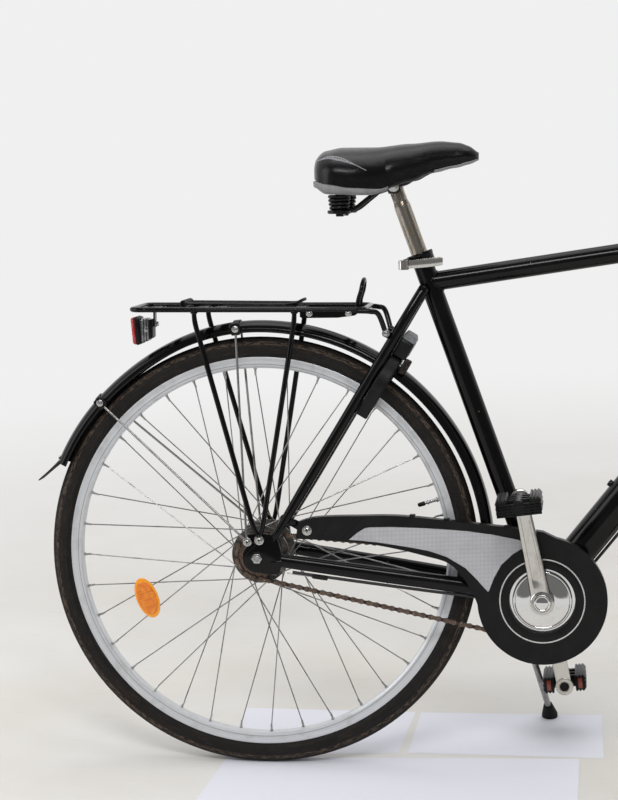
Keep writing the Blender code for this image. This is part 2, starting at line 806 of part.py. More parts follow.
def dropout_cutter(side):
    plate = dropout(side)
    middle = Vector((0.006, side * (PLATE_Y + DROPOUT_SPACE / 2) / 2, 0.006))
    bmesh.ops.translate(plate, vec=-middle, verts=plate.verts)
    grow = 1.0 + 2 * SEAM / DROPOUT_THICK
    bmesh.ops.scale(plate, vec=(1.012, grow, 1.012), verts=plate.verts)
    bmesh.ops.translate(plate, vec=middle, verts=plate.verts)
    return plate


def bridge_point(radius):
    """On the seat stays' line, at a distance from the rear axle."""
    offset = STAY_FOOT.dot(STAY_OUT)
    return STAY_OUT * offset + STAY_ALONG * sqrt(radius**2 - offset**2)


def seat_clamp():
    top = SEAT_TUBE_LENGTH
    low = top - 0.016
    ring = lathe(ring_profile(SEAT_TUBE_RADIUS + SEAM, SEAT_TUBE_RADIUS + 0.0045, low, top),
                 BB, SEAT_UP, 16)
    ear = block(seat_point(top - 0.008, 0, -SEAT_TUBE_RADIUS - 0.010), (0.020, CLAMP_EAR, 0.014),
                Matrix.Rotation(pi / 2 - SEAT_ANGLE, 4, "Y").inverted())
    ring = fuse(ring, ear)
    tube_cutter = rod(seat_point(low - 0.02), seat_point(top + 0.02),
                      SEAT_TUBE_RADIUS + SEAM, 16)
    ring = cut(ring, tube_cutter)
    skewer = rod(clamp_pivot() + Y * 0.020, clamp_pivot() + Y * 0.050, 0.0028, 8)
    ring = fuse(ring, skewer)
    piece("seat_clamp_collar", ring, "gloss_black_paint", "frame")

    empty("clamp_lever", clamp_pivot(), EMPTIES["frame"])
    base = clamp_pivot()
    lever = []
    for ahead, half, y in ((0.000, 0.0062, 0.001), (0.062, 0.0068, -0.002)):
        for up in (-half, half):
            for out in (-0.0022, 0.0022):
                lever.append(base + X * ahead + Z * (up + ahead * 0.085) + Y * (y + out))
    barrel = rod(base - Z * 0.0075, base + Z * 0.0075, LEVER_BARREL, 14)
    piece("seat_clamp_lever", fuse(hull(lever), barrel), "polished_alloy", "clamp_lever")


def clamp_pivot():
    beside = CLAMP_EAR / 2 + PLAY + LEVER_BARREL
    return seat_point(SEAT_TUBE_LENGTH - 0.0090, -beside, -SEAT_TUBE_RADIUS - 0.0115)


# Seat

def saddle_line(share):
    """Half width and the heights of the top, side edge, hollow, skirt and belly."""
    wide = SADDLE_WIDTH / 2
    if share < 0.45:
        half = wide * (1.0 - 1.15 * (share - 0.16) ** 2 / 0.33)
    else:
        t = (share - 0.45) / 0.55
        half = wide * 0.707 * (1 - t) ** 1.35 + 0.021 * t ** 0.5
    rear = max(0.0, 1 - share / 0.16)
    half *= sqrt(max(0.0, 1 - 0.42 * rear**2.2))
    tip = max(0.0, (share - 0.90) / 0.10)
    half *= sqrt(max(0.02, 1 - tip**2 * 0.96))
    top = saddle_height(share, ((0, 0.5659), (0.05, 0.6804), (0.16, 0.7406), (0.36, 0.7406),
                                (0.58, 0.7948), (0.76, 0.8370), (0.88, 0.8069), (0.95, 0.7346),
                                (1.0, 0.6020)))
    edge = saddle_height(share, ((0, 0.1081), (0.08, 0.0478), (0.25, -0.0245), (0.42, -0.0486),
                                 (0.50, 0.0599), (0.59, 0.1322), (0.72, 0.2888), (0.85, 0.3731),
                                 (0.95, 0.4514), (1.0, 0.5057)))
    hollow = saddle_height(share, ((0, 0.1081), (0.25, 0.0960), (0.38, 0.1683), (0.50, 0.2165),
                                   (0.72, 0.3129), (0.85, 0.3731), (0.95, 0.4514), (1.0, 0.5057)))
    skirt = saddle_height(share, ((0, -0.0028), (0.08, -0.1425), (0.30, -0.1630), (0.36, -0.1630),
                                  (0.43, -0.0968), (0.50, 0.0117), (0.59, 0.0840), (0.72, 0.2466),
                                  (0.85, 0.3310), (0.95, 0.4032), (1.0, 0.4816)))
    belly = saddle_height(share, ((0, -0.0028), (0.08, -0.1425), (0.25, -0.1630), (0.30, -0.1630),
                                  (0.40, 0.1442), (0.50, 0.1683), (0.72, 0.2707), (0.85, 0.3310),
                                  (0.95, 0.4032), (1.0, 0.4816)))
    return half, top, edge, hollow, skirt, belly


def saddle_height(share, table):
    return SADDLE_AT.z + SADDLE_HEIGHT * interpolate(share, table)


def interpolate(share, table):
    for (a, one), (b, two) in zip(table, table[1:]):
        if share <= b:
            t = (share - a) / (b - a)
            t = t * t * (3 - 2 * t)
            return one + (two - one) * t
    return table[-1][1]


def saddle_ring(share, kind):
    half, top, edge, hollow, skirt, belly = saddle_line(share)
    x = SADDLE_REAR + SADDLE_LENGTH * share
    under = ((-0.94, edge), (-0.60, hollow), (0.0, hollow), (0.60, hollow), (0.94, edge))
    ring = []
    if kind == "cover":
        height = top - edge
        for k in range(13):
            turn = pi * k / 12
            y = half * cos(turn)
            lift = abs(sin(turn)) ** 0.62
            dip = 0.004 * max(0.0, 1 - abs(y) / 0.02) * max(0.0, 1 - share / 0.55)
            ring.append(Vector((x, y, edge + SEAM + height * lift - dip)))
        for wide, z in under:
            ring.append(Vector((x, half * wide, z + SEAM)))
    else:
        for wide, z in under:
            ring.append(Vector((x, half * wide, z)))
        for wide, z in ((0.86, skirt), (0.56, belly), (0.0, belly), (-0.56, belly),
                        (-0.86, skirt)):
            ring.append(Vector((x, half * wide, z)))
    return ring


def loft(rings):
    shape = bmesh.new()
    made = [[shape.verts.new(v) for v in ring] for ring in rings]
    for low, high in zip(made, made[1:]):
        for k in range(len(low)):
            shape.faces.new((low[k - 1], low[k], high[k], high[k - 1]))
    shape.faces.new(made[0])
    shape.faces.new(made[-1])
    return finish(shape)


def coil(centre, height, radius, wire, turns, points=9, sides=6):
    """One spring wire. Its ends stand straight on what they meet."""
    straight = 2 * wire
    rise = height - 2 * straight
    steps = round(turns * points)
    path = [centre + X * radius]
    for k in range(steps + 1):
        turn = TAU * k / points
        up = straight + rise * k / steps
        path.append(centre + X * radius * cos(turn) + Y * radius * sin(turn) + Z * up)
    last = path[-1]
    path.append(Vector((last.x, last.y, centre.z + height)))
    print("spring: least gap between turns", round((rise / turns - 2 * wire) * 1000, 2), "mm")
    return tube(path, wire, sides, face=X)


def seat_group():
    empty("seat", seat_point(SEAT_TUBE_LENGTH), EMPTIES["frame"])
    shares = [0.0, 0.03, 0.08, 0.16, 0.25, 0.30, 0.36, 0.40, 0.45, 0.50, 0.59, 0.68, 0.77, 0.86,
              0.93, 0.975, 1.0]
    piece("saddle_cover", loft([saddle_ring(s, "cover") for s in shares]), "black_vinyl",
          "seat")
    base = loft([saddle_ring(s, "base") for s in shares])
    nose = rail_path(RIGHT)[0]
    groove = RAIL_RADIUS * 1.05 + PLAY
    base = cut(base, rod(Vector((nose.x, nose.y - groove, nose.z)),
                         Vector((nose.x, groove - nose.y, nose.z)), groove, 8),
               *[tube(rail_path(side), RAIL_RADIUS + PLAY, 8) for side in (RIGHT, LEFT)])
    piece("saddle_base", base, "grey_plastic", "seat")

    head = SADDLE_AT
    profile = [
        (0.0, SEAT_TUBE_LENGTH - POST_INSIDE),
        (SEAT_POST_RADIUS, SEAT_TUBE_LENGTH - POST_INSIDE),
        (SEAT_POST_RADIUS, POST_TOP - 0.034),
        (POST_NECK, POST_TOP - 0.026),
        (POST_NECK, POST_TOP - 0.004 - SEAM),
        (0.0, POST_TOP - 0.004 - SEAM),
    ]
    piece("seat_post", lathe(profile, BB, SEAT_UP, 16), "steel", "seat")

    jaw = rod(head + Y * 0.030, head - Y * 0.030, 0.0115, 12)
    jaw = fuse(jaw, rod(head + Y * 0.012 - Z * 0.001, head - Y * 0.012 - Z * 0.001, 0.0124, 12))
    jaw = cut(jaw, rod(seat_point(POST_TOP - 0.05), seat_point(POST_TOP - 0.004),
                       POST_NECK + SEAM, 16))
    for side in (RIGHT, LEFT):
        jaw = cut(jaw, tube(rail_path(side), RAIL_RADIUS + SEAM * 1.5, 8))
    piece("saddle_clamp", jaw, "black_wire", "seat")

    foot = spring_foot()
    nose = rail_path(RIGHT)[0]
    parts = [tube(rail_path(side), RAIL_RADIUS, 8) for side in (RIGHT, LEFT)]
    parts.append(rod(Vector((nose.x, nose.y - 0.003, nose.z)),
                     Vector((nose.x, 0.003 - nose.y, nose.z)), RAIL_RADIUS * 1.05, 8))
    parts.append(rod(Vector((foot.x, -SPRING_Y, foot.z)), Vector((foot.x, SPRING_Y, foot.z)),
                     0.0040, 8))
    for side in (RIGHT, LEFT):
        seat = Vector((foot.x, side * SPRING_Y, foot.z))
        parts.append(rod(seat, seat + Z * SPRING_SEAT, SPRING_RADIUS + SPRING_WIRE, 16))
    piece("saddle_rails", fuse(*parts), "black_wire", "seat")

    for side, name in ((RIGHT, "right"), (LEFT, "left")):
        start = Vector((foot.x, side * SPRING_Y, foot.z + SPRING_SEAT + SEAM))
        ceiling = saddle_line(0.16)[5] - SEAM
        spring = coil(start, ceiling - start.z, SPRING_RADIUS, SPRING_WIRE, SPRING_TURNS)
        piece("saddle_spring_" + name, spring, "black_wire", "seat")


def spring_foot():
    return Vector((SADDLE_REAR + 0.0385, 0, SADDLE_AT.z - SADDLE_HEIGHT * 0.5004))


def rail_path(side):
    head = SADDLE_AT
    foot = spring_foot()
    nose = SADDLE_REAR + SADDLE_LENGTH * 0.6860
    return smooth_path([
        Vector((nose, side * RAIL_HALF * 0.5, head.z + SADDLE_HEIGHT * 0.2440)),
        Vector((nose - 0.022, side * RAIL_HALF * 0.75, head.z + SADDLE_HEIGHT * 0.1500)),
        Vector((head.x + 0.014, side * RAIL_HALF, head.z + 0.0035)),
        Vector((head.x - 0.018, side * RAIL_HALF, head.z - 0.0035)),
        Vector((head.x - 0.040, side * (RAIL_HALF + 0.006), head.z - 0.0190)),
        Vector((foot.x + 0.022, side * (RAIL_HALF + 0.012), foot.z + 0.006)),
        Vector((foot.x, side * (RAIL_HALF + 0.014), foot.z)),
    ], 11)


# Rack, lamp and spring clip


def rack():
    z = RACK_HEIGHT
    parts = []
    for x in (LAMP_X, RACK_LEG_X[0], RACK_LEG_X[0] + 0.030, RACK_LEG_X[1]):
        parts.append(block(Vector((x, 0, z - 0.0015)),
                           (STRAP_WIDTH, RACK_WIDTH - RACK_ROD, STRAP_THICK)))
    base = HOOP_X
    hoop = [Vector((base, -HOOP_WIDTH / 2, z - 0.001))]
    for up, half in ((0.62, 0.5), (0.90, 0.36), (1.0, 0.14)):
        hoop.append(Vector((base + 0.008 * up, -HOOP_WIDTH * half, z + HOOP_HEIGHT * up)))
    hoop += [Vector((spot.x, -spot.y, spot.z)) for spot in reversed(hoop)]
    parts.append(tube(hoop, HOOP_ROD, 8))
    parts.append(block(Vector((base, 0, z - 0.0015)), (0.010, RACK_WIDTH - RACK_ROD, 0.003)))
    for side in (RIGHT, LEFT):
        outer = side * (RAIL_Y + 0.0010)
        edge = RACK_LEG_X[1] + 0.009
        parts.append(slab([(edge, z), (edge, z - 0.013), (edge + 0.060, z - 0.0125),
                           (RACK_FRONT - 0.012, z - 0.008), (RACK_FRONT - 0.010, z)],
                          outer - 0.0015, outer + 0.0015))
        mount = stay_at(z - 0.0460, side)
        end = mount - STAY_OUT * (STAY_RADIUS + 0.006) + Y * side * 0.004
        arm = smooth_path([
            Vector((RACK_FRONT - 0.008, side * (RAIL_Y - 0.001), z - 0.002)),
            Vector((RACK_FRONT + 0.010, side * (RAIL_Y - 0.003), z - 0.003)),
            Vector((RACK_FRONT + 0.022, side * (RAIL_Y - 0.009), z - 0.008)),
            end,
        ], 7)
        parts.append(tube(arm, 0.0042, 8))
        parts.append(rod(end - STAY_OUT * 0.004, end + STAY_OUT * 0.008, 0.0062, 10))
    parts.append(hull([Vector((LAMP_X + dx, y, up)) for dx in (-0.0012, 0.0012)
                       for y in (-0.009, 0.009) for up in (z - 0.002, LAMP_Z + 0.006)]))
    stud = Vector((LAMP_X, 0, LAMP_Z + 0.010))
    parts.append(rod(stud, stud + X * 0.0075, 0.0030, 8))
    frame = fuse(closed_tube(rack_loop(z, 0.016), RACK_ROD, 8), *parts)
    for side in (RIGHT, LEFT):
        frame = cut(frame, seat_stay(side, STAY_RADIUS + SEAM))
    piece("rack_frame", frame, "gloss_black_paint", "frame")

    for side, name in ((RIGHT, "right"), (LEFT, "left")):
        foot = Vector((RACK_EYE[0], side * (PLATE_Y + SEAM + 0.003), RACK_EYE[1]))
        legs = []
        for x in RACK_LEG_X:
            top = Vector((x, side * RAIL_Y, z - RACK_ROD - SEAM))
            ankle = foot + Vector((0.010 * (-1 if x < 0 else 0.6), side * 0.0016, 0.022))
            legs.append(tube([top, top - Z * 0.012, ankle, foot + Z * 0.002],
                             [0.0036, 0.0042, 0.0042, 0.0030], 8))
        tab = rod(foot - Y * side * 0.003, foot + Y * side * 0.0022, 0.0085, 12)
        bolt = rod(foot, foot + Y * side * 0.0060, 0.0050, 10)
        piece("rack_legs_" + name, fuse(*legs, tab, bolt), "gloss_black_paint", "frame")


RACK_EYE = (0.0040, 0.0293)
STAY_EYE = (-0.0154, 0.0262)
LAMP_X = -0.1736        # the lamp's hanger
LAMP_Z = RACK_HEIGHT - 0.0365
LAMP_TILT = 0.085
HOOP_X = 0.158


def rack_loop(z, corner):
    """Centre line of the platform's round bar."""
    path = []
    for x, y, start in ((RACK_FRONT, LEFT, 0), (RACK_REAR, LEFT, 90),
                        (RACK_REAR, RIGHT, 180), (RACK_FRONT, RIGHT, 270)):
        cx = x - corner if x > 0 else x + corner
        cy = y * (RAIL_Y - corner)
        for k in range(4):
            turn = radians(start + 30 * k)
            path.append(Vector((cx + corner * cos(turn), cy + corner * sin(turn), z)))
    return path


def closed_tube(path, radius, sides):
    shape = bmesh.new()
    rings = []
    count = len(path)
    for i, spot in enumerate(path):
        tangent = (path[(i + 1) % count] - path[i - 1]).normalized()
        side = tangent.cross(Z)
        ring = []
        for k in range(sides):
            turn = TAU * (k + 0.5) / sides
            ring.append(shape.verts.new(spot + (side * cos(turn) + Z * sin(turn)) * radius))
        rings.append(ring)
    for i in range(count):
        low = rings[i - 1]
        high = rings[i]
        for k in range(sides):
            shape.faces.new((low[k - 1], low[k], high[k], high[k - 1]))
    return finish(shape)


def spring_clip():
    z = RACK_HEIGHT + RACK_ROD + 0.0030
    pivot = Vector((RACK_LEG_X[0] - 0.023, 0, z))
    empty("rack_clip", pivot, EMPTIES["frame"])
    half = CLIP_HALF
    path = []
    for side in (RIGHT, LEFT):
        path.append([
            pivot + Vector((0.0, side * half, 0)),
            pivot + Vector((CLIP_LENGTH * 0.7895, side * half, -0.0012)),
            pivot + Vector((CLIP_LENGTH * 0.9263, side * half * 0.75, -0.0006)),
            pivot + Vector((CLIP_LENGTH, side * half * 0.2, 0.0055)),
            pivot + Vector((CLIP_LENGTH * 1.0105, -side * 0.002, 0.0060)),
        ])
    wires = [tube(p, CLIP_WIRE, 8) for p in path]
    rings = coil_bar(pivot, half)
    clip = fuse(wires[0], wires[1], rings)
    piece("rack_spring_clip", clip, "black_wire", "rack_clip")


def coil_bar(pivot, half):
    profile = []
    turns = 5
    length = 2 * half + 0.012
    for k in range(turns):
        start = -length / 2 + length * k / turns
        profile += [(CLIP_COIL - 0.0012, start + 0.0006),
                    (CLIP_COIL, start + length / turns * 0.5)]
    profile.append((CLIP_COIL - 0.0012, length / 2))
    profile = [(0.0, -length / 2 + 0.0006)] + profile + [(0.0, length / 2)]
    return lathe(profile, pivot, Y, 8)


def rear_lamp():
    x = LAMP_X - 0.0012 - SEAM
    z = LAMP_Z

    def box(spans, turn=0.0):
        spots = []
        for ahead, half, low, high in spans:
            for y in (-half, half):
                for up in (low, high):
                    spots.append(Vector((x + ahead - (up - z) * turn, y, up)))
        return hull(spots)

    back = box(((-0.0270, 0.023, z - 0.0235, z + 0.0225), (-0.0190, 0.021, z - 0.0210, z + 0.0200)),
               LAMP_TILT)
    shell = box(((-0.0205, 0.019, z - 0.0195, z + 0.0185), (0.0, 0.014, z - 0.0120, z + 0.0170)))
    piece("rear_lamp_body", fuse(back, shell), "satin_black_plastic", "frame")
    lens = box(((-0.0335, 0.021, z - 0.0215, z + 0.0205),
                (-0.0270 - SEAM, 0.023, z - 0.0235, z + 0.0225)), LAMP_TILT)
    piece("rear_lamp_lens", lens, "red_lens", "frame")


# Mudguards


def guard_shape(centre, start, end, steps, squeeze=0.0):
    """Curved mudguard. Its rear part may sit closer to the tyre by the squeeze."""
    half = GUARD_WIDTH / 2
    outer = [(GUARD_LOW, half), (GUARD_LOW + 0.45 * (GUARD_HIGH - GUARD_LOW), half * 0.92),
             (GUARD_HIGH - 0.0022, half * 0.52), (GUARD_HIGH, 0.0)]
    loop = outer + [(r, -y) for r, y in reversed(outer[:-1])]
    wall = GUARD_WALL
    inner = [(GUARD_LOW, half - wall), (outer[1][0] - wall * 0.4, outer[1][1] - wall),
             (outer[2][0] - wall, outer[2][1] - wall * 0.4)]
    inner = [(r, -y) for r, y in inner] + list(reversed(inner))
    shape = lathe(loop + inner, centre, -Y, steps, first=X, arc=(start, end - start))
    if squeeze:
        for vert in shape.verts:
            arm = vert.co - centre
            angle = math.degrees(math.atan2(arm.z, arm.x))
            share = min(max((angle - 93.0) / 42.0, 0.0), 1.0)
            change = squeeze * share * share * (3 - 2 * share)
            flat = Vector((arm.x, 0, arm.z))
            vert.co -= flat.normalized() * change
    return shape


def stay_eye(side):
    return Vector((STAY_EYE[0], side * (PLATE_Y + SEAM), STAY_EYE[1]))


def rear_mudguard():
    guard = guard_shape(AXLE, REAR_GUARD_FROM, REAR_GUARD_TO, 26, GUARD_SQUEEZE)
    crown = GUARD_HIGH - GUARD_SQUEEZE
    end = REAR_GUARD_TO
    flap = []
    for y in (-0.020, 0.020):
        flap.append(polar(AXLE, crown - 0.0040, end - 1.4, y))
        flap.append(polar(AXLE, crown - 0.0005, end - 1.0, y * 0.55))
        flap.append(polar(AXLE, crown - 0.0085, end + 0.1, y))
        flap.append(polar(AXLE, FLAP_RADIUS, end + 6.0, y))
        flap.append(polar(AXLE, FLAP_RADIUS + 0.0016, end + 5.9, y))
    guard = fuse(guard, hull(flap))
    piece("rear_mudguard", guard, "gloss_black_paint", "frame")
    for side, name in ((RIGHT, "right"), (LEFT, "left")):
        eye = stay_eye(side)
        parts = [rod(eye, eye + Y * side * 0.0052, 0.0065, 12),
                 rod(eye, eye + Y * side * 0.0075, 0.0048, 10)]
        for angle, squeeze in zip(CLIP_ANGLES, (GUARD_SQUEEZE, 0.0)):
            parts += clip_parts(AXLE, angle, side, eye, squeeze)
        piece("mudguard_stays_" + name, fuse(*parts), "steel", "frame")


def clip_parts(centre, angle, side, eye, squeeze):
    """A wire stay and the block that holds it on the mudguard's side."""
    face = GUARD_WIDTH / 2 + SEAM
    low = polar(centre, GUARD_LOW - 0.003 - squeeze, angle, side * (face + 0.0035))
    outward = polar(Vector((0, 0, 0)), 1.0, angle)
    along = Vector((-outward.z, 0, outward.x))
    holder = hull([low + outward * o + along * a + Y * side * s
                   for o in (0.0, 0.019) for a in (-0.008, 0.008) for s in (-0.0035, 0.0035)])
    start = eye + Y * side * 0.0034
    wire = tube([start, start + outward * 0.020, low + outward * 0.006], WIRE_RADIUS, 6)
    return [holder, wire]


def front_mudguard():
    parts = []
    for side in (RIGHT, LEFT):
        eye = front_eye(side)
        parts.append(rod(eye - Y * side * 0.0020, eye + Y * side * 0.0030, 0.0055, 10))
        for angle in (FRONT_GUARD_TO - 8, FRONT_GUARD_TO - 40):
            spot = polar(FRONT_AXLE, GUARD_LOW + 0.004, angle,
                         side * (GUARD_WIDTH / 2 - 0.0008))
            start = eye + Y * side * 0.0014
            flat = (spot - start).normalized()
            flat = Vector((flat.x, 0, flat.z)).normalized()
            parts.append(tube([start, start + flat * 0.040, spot], WIRE_RADIUS, 6))
    low = GUARD_HIGH - 0.002
    parts.append(hull([
        steer_point(FORK_RAKE - sqrt(low**2 - up**2), y, up)
        for y in (-0.007, 0.007) for up in (FORK_LENGTH - 0.066, FORK_LENGTH - 0.052)
    ] + [steer_point(o, y, FORK_LENGTH - 0.034) for o in (-0.006, 0.004)
         for y in (-0.007, 0.007)]))
    guard = fuse(guard_shape(FRONT_AXLE, FRONT_GUARD_FROM, FRONT_GUARD_TO, 20), *parts)
    piece("front_mudguard", guard, "gloss_black_paint", "steering")


def front_eye(side):
    return FRONT_AXLE + Vector((-0.016, side * (FRONT_SPACE / 2 + 0.0160), 0.026))


# Ring lock


def lock_axes():
    return STAY_ALONG, -STAY_OUT


def lock_centre():
    return STAY_ALONG * LOCK_CENTRE + STAY_OUT * LOCK_AHEAD


def lock_arc(inner, outer, low, high, start, end, steps):
    """Part of a ring about the lock's centre. Angles run from the top."""
    out, along = lock_axes()
    profile = ring_profile(inner, outer, low, high)
    return lathe(profile, lock_centre(), along, steps, first=out, arc=(start, end - start))


def lock_turn(degrees):
    """Sign of the arc that runs from the top towards the bicycle's right side."""
    out, along = lock_axes()
    sideways = along.cross(out)
    return degrees if sideways.y < 0 else -degrees


def ring_lock():
    out, along = lock_axes()
    centre = lock_centre()
    half = LOCK_THICK / 2
    end = 180.0 - LOCK_GAP
    body = lock_arc(LOCK_INNER, LOCK_OUTER, -half, half, -end, end, 22)
    head = hull([centre + out * o + along * a + Y * y
                 for o, wide, low, high in ((LOCK_OUTER - 0.006, 0.038, -half * 1.4, half * 0.97),
                                            (LOCK_OUTER + 0.020, 0.036, -half * 1.4, half * 0.97),
                                            (LOCK_OUTER + 0.034, 0.027, -half * 0.9, half * 0.8))
                 for a in (low, high) for y in (-wide, wide)])
    body = fuse(body, head)
    reach = end + 3.0
    body = cut(body, lock_tube(LOCK_ROD + 0.0011, -reach, reach, 24))
    start, stop = sorted((lock_turn(22.0), lock_turn(reach)))
    slot = lock_arc(LOCK_RING - 0.0036, LOCK_RING + 0.0036, -half - 0.004, 0.0009,
                    start, stop, 12)
    body = cut(body, slot)
    piece("ring_lock_body", body, "satin_black_plastic", "frame")

    empty("lock_turning", centre, EMPTIES["frame"])
    ends = sorted((lock_turn(end - 1.0), lock_turn(end - 1.0 - LOCK_REACH)))
    shackle = lock_tube(LOCK_ROD, ends[0], ends[1], 14)
    spot = centre + turned(out, along, lock_turn(34.0)) * LOCK_RING
    stem = rod(spot, spot - along * (half + 0.006), 0.0024, 10)
    cap = rod(spot - along * (half + 0.003), spot - along * (half + 0.011), 0.0072, 12)
    piece("lock_shackle", fuse(shackle, stem, cap), "steel", "lock_turning")


def turned(vector, axis, degrees):
    return Matrix.Rotation(radians(degrees), 4, axis) @ vector


def lock_tube(radius, start, end, steps):
    out, along = lock_axes()
    path = []
    for k in range(steps + 1):
        turn = start + (end - start) * k / steps
        path.append(lock_centre() + turned(out, along, turn) * LOCK_RING)
    return tube(path, radius, 8, face=along)


# Chain guard, chain, cranks and pedals

GUARD_PLATE_Y = 0.0560
GUARD_PLATE = 0.0025
GUARD_RADIUS = 0.1020
GUARD_HOLE = 0.0520
GUARD_LIP = 0.016
GUARD_BOLT = (0.0782, 0.0429)


def guard_outline():
    """Arm and disc of the chain guard, seen from the right."""
    disc_top = math.degrees(math.atan2(0.1035, 0.030))
    outline = [(0.062, 0.030), (0.083, 0.061), (0.113, 0.0655), (0.160, 0.0668),
               (0.226, 0.0675), (0.306, 0.0605), (BB.x - 0.0707, 0.0530),
               (BB.x - 0.0207, 0.0475), (BB.x + 0.0113, 0.0430)]
    for k in range(23):
        turn = radians(disc_top - (disc_top + 176.0) * k / 22)
        outline.append((BB.x + GUARD_RADIUS * cos(turn), BB.z + GUARD_RADIUS * sin(turn)))
    outline += [(BB.x - 0.1097, -0.0520), (BB.x - 0.1267, -0.0270),
                (BB.x - 0.1487, -0.0060), (BB.x - 0.1867, 0.0050), (BB.x - 0.2247, 0.0140),
                (0.1750, 0.0230), (0.1257, 0.0272)]
    return outline


def chain_guard():
    outline = guard_outline()
    low = -GUARD_PLATE_Y - GUARD_PLATE
    plate = slab(outline, low, -GUARD_PLATE_Y)
    lip = []
    thick = 0.0020
    for x, z in outline[1:25]:
        lip.append((x, z))
    inner = []
    for i, (x, z) in enumerate(lip):
        before = Vector(lip[max(i - 1, 0)])
        after = Vector(lip[min(i + 1, len(lip) - 1)])
        run = (after - before).normalized()
        inner.append((x + run.y * thick, z - run.x * thick))
    wall = slab(lip + inner[::-1], -GUARD_PLATE_Y - 0.0005, -GUARD_PLATE_Y + GUARD_LIP)
    seat_x = seat_point(0.116).x
    tab = block(Vector((seat_x, -(GUARD_PLATE_Y + SEAT_TUBE_RADIUS + 0.003) / 2, 0.0440)),
                (0.026, GUARD_PLATE_Y - SEAT_TUBE_RADIUS - 0.003, 0.004))
    hole = rod(BB - Y * 0.04, BB - Y * 0.08, GUARD_HOLE, 32)
    bolt = rod(Vector((GUARD_BOLT[0], low + 0.0005, GUARD_BOLT[1])),
               Vector((GUARD_BOLT[0], low - 0.0030, GUARD_BOLT[1])), 0.0062, 12)
    guard = fuse(plate, wall, tab, bolt)
    guard = cut(guard, hole)
    seat_cutter = rod(seat_point(0.02), seat_point(0.2), SEAT_TUBE_RADIUS + SEAM, 16)
    guard = cut(guard, seat_cutter)
    piece("chain_guard", guard, "satin_black_plastic", "frame")


def chain():
    along = (BB - AXLE).normalized()
    up = Vector((-along.z, 0, along.x))
    tilt = math.asin((CHAINRING_PITCH - SPROCKET_PITCH) / CHAIN_STAY)
    path = []
    spread = pi / 2 + tilt
    for k in range(15):
        turn = spread - 2 * spread * k / 14
        path.append(BB + (along * cos(turn) + up * sin(turn)) * CHAINRING_PITCH)
    for k in range(11):
        turn = -spread - (pi - 2 * tilt) * k / 10
        path.append(AXLE + (along * cos(turn) + up * sin(turn)) * SPROCKET_PITCH)
    shape = bmesh.new()
    rings = []
    count = len(path)
    for i, spot in enumerate(path):
        tangent = (path[(i + 1) % count] - path[i - 1]).normalized()
        out = tangent.cross(Y)
        ring = []
        for o, y in ((-1, -1), (1, -1), (1, 1), (-1, 1)):
            place = spot + out * o * CHAIN_HEIGHT / 2
            ring.append(shape.verts.new(place + Y * (-CHAIN_LINE + y * CHAIN_WIDTH / 2)))
        rings.append(ring)
    for i in range(count):
        for k in range(4):
            shape.faces.new((rings[i - 1][k - 1], rings[i - 1][k], rings[i][k],
                             rings[i][k - 1]))
    piece("chain", finish(shape), "rusty_steel", "frame")


def sprocket():
    empty("sprocket", AXLE, EMPTIES["frame"])
    outer = SPROCKET_PITCH * cos(pi / 10) - CHAIN_HEIGHT / 2 - PLAY
    bore = DRIVER_RADIUS + PLAY
    half = TOOTH_WIDTH / 2
    profile = [(bore, -half), (outer, -half), (outer, half), (bore, half)]
    disc = lathe(profile, -Y * CHAIN_LINE, Y, 18)
    piece("rear_sprocket", disc, "rusty_steel", "sprocket")


def rear_axle():
    tip = PLATE_Y + NUT_LENGTH + AXLE_TIP
    axle = rod(-Y * tip, Y * tip, AXLE_RADIUS, 16)
    nuts = []
    for side in (RIGHT, LEFT):
        face = side * (PLATE_Y + SEAM)
        nuts.append(rod(Y * face, Y * (face + side * NUT_LENGTH), NUT_RADIUS, 6))
        nuts.append(rod(Y * face, Y * (face + side * 0.0018), NUT_RADIUS + 0.0015, 14))
    piece("rear_axle", fuse(axle, *nuts), "steel", "frame")


def crank_arm(side):
    """Arm with its pedal spindle, on the given side."""
    out = CRANK_OUT if side == RIGHT else -CRANK_OUT
    inner = side * CRANK_INNER_Y
    outer = side * (CRANK_INNER_Y + CRANK_THICK)
    eye = BB + out * CRANK_LENGTH
    flare = side * CRANK_FLARE
    boss = disc_points(BB + Y * inner, CRANK_BOSS, Y, 20)
    boss += disc_points(BB + Y * outer, CRANK_BOSS * 0.9, Y, 20)
    boss += disc_points(eye + Y * (inner + flare), CRANK_EYE, Y, 16)
    boss += disc_points(eye + Y * (outer + flare), CRANK_EYE * 0.9, Y, 16)
    arm = hull(boss)
    cap = rod(BB + Y * outer, BB + Y * (outer + side * 0.003), DUST_CAP_RADIUS, 20)
    end = eye + Y * side * (CRANK_INNER_Y + CRANK_THICK + CRANK_FLARE + PEDAL_WIDTH - 0.006)
    spindle = rod(eye + Y * (outer + flare - side * 0.004), end, PEDAL_AXLE, 12)
    arm = fuse(arm, cap, spindle)
    seat = rod(BB + Y * side * 0.03, BB + Y * (inner + side * CRANK_SEAT),
               BB_AXLE_RADIUS + SEAM, 16)
    return cut(arm, seat)


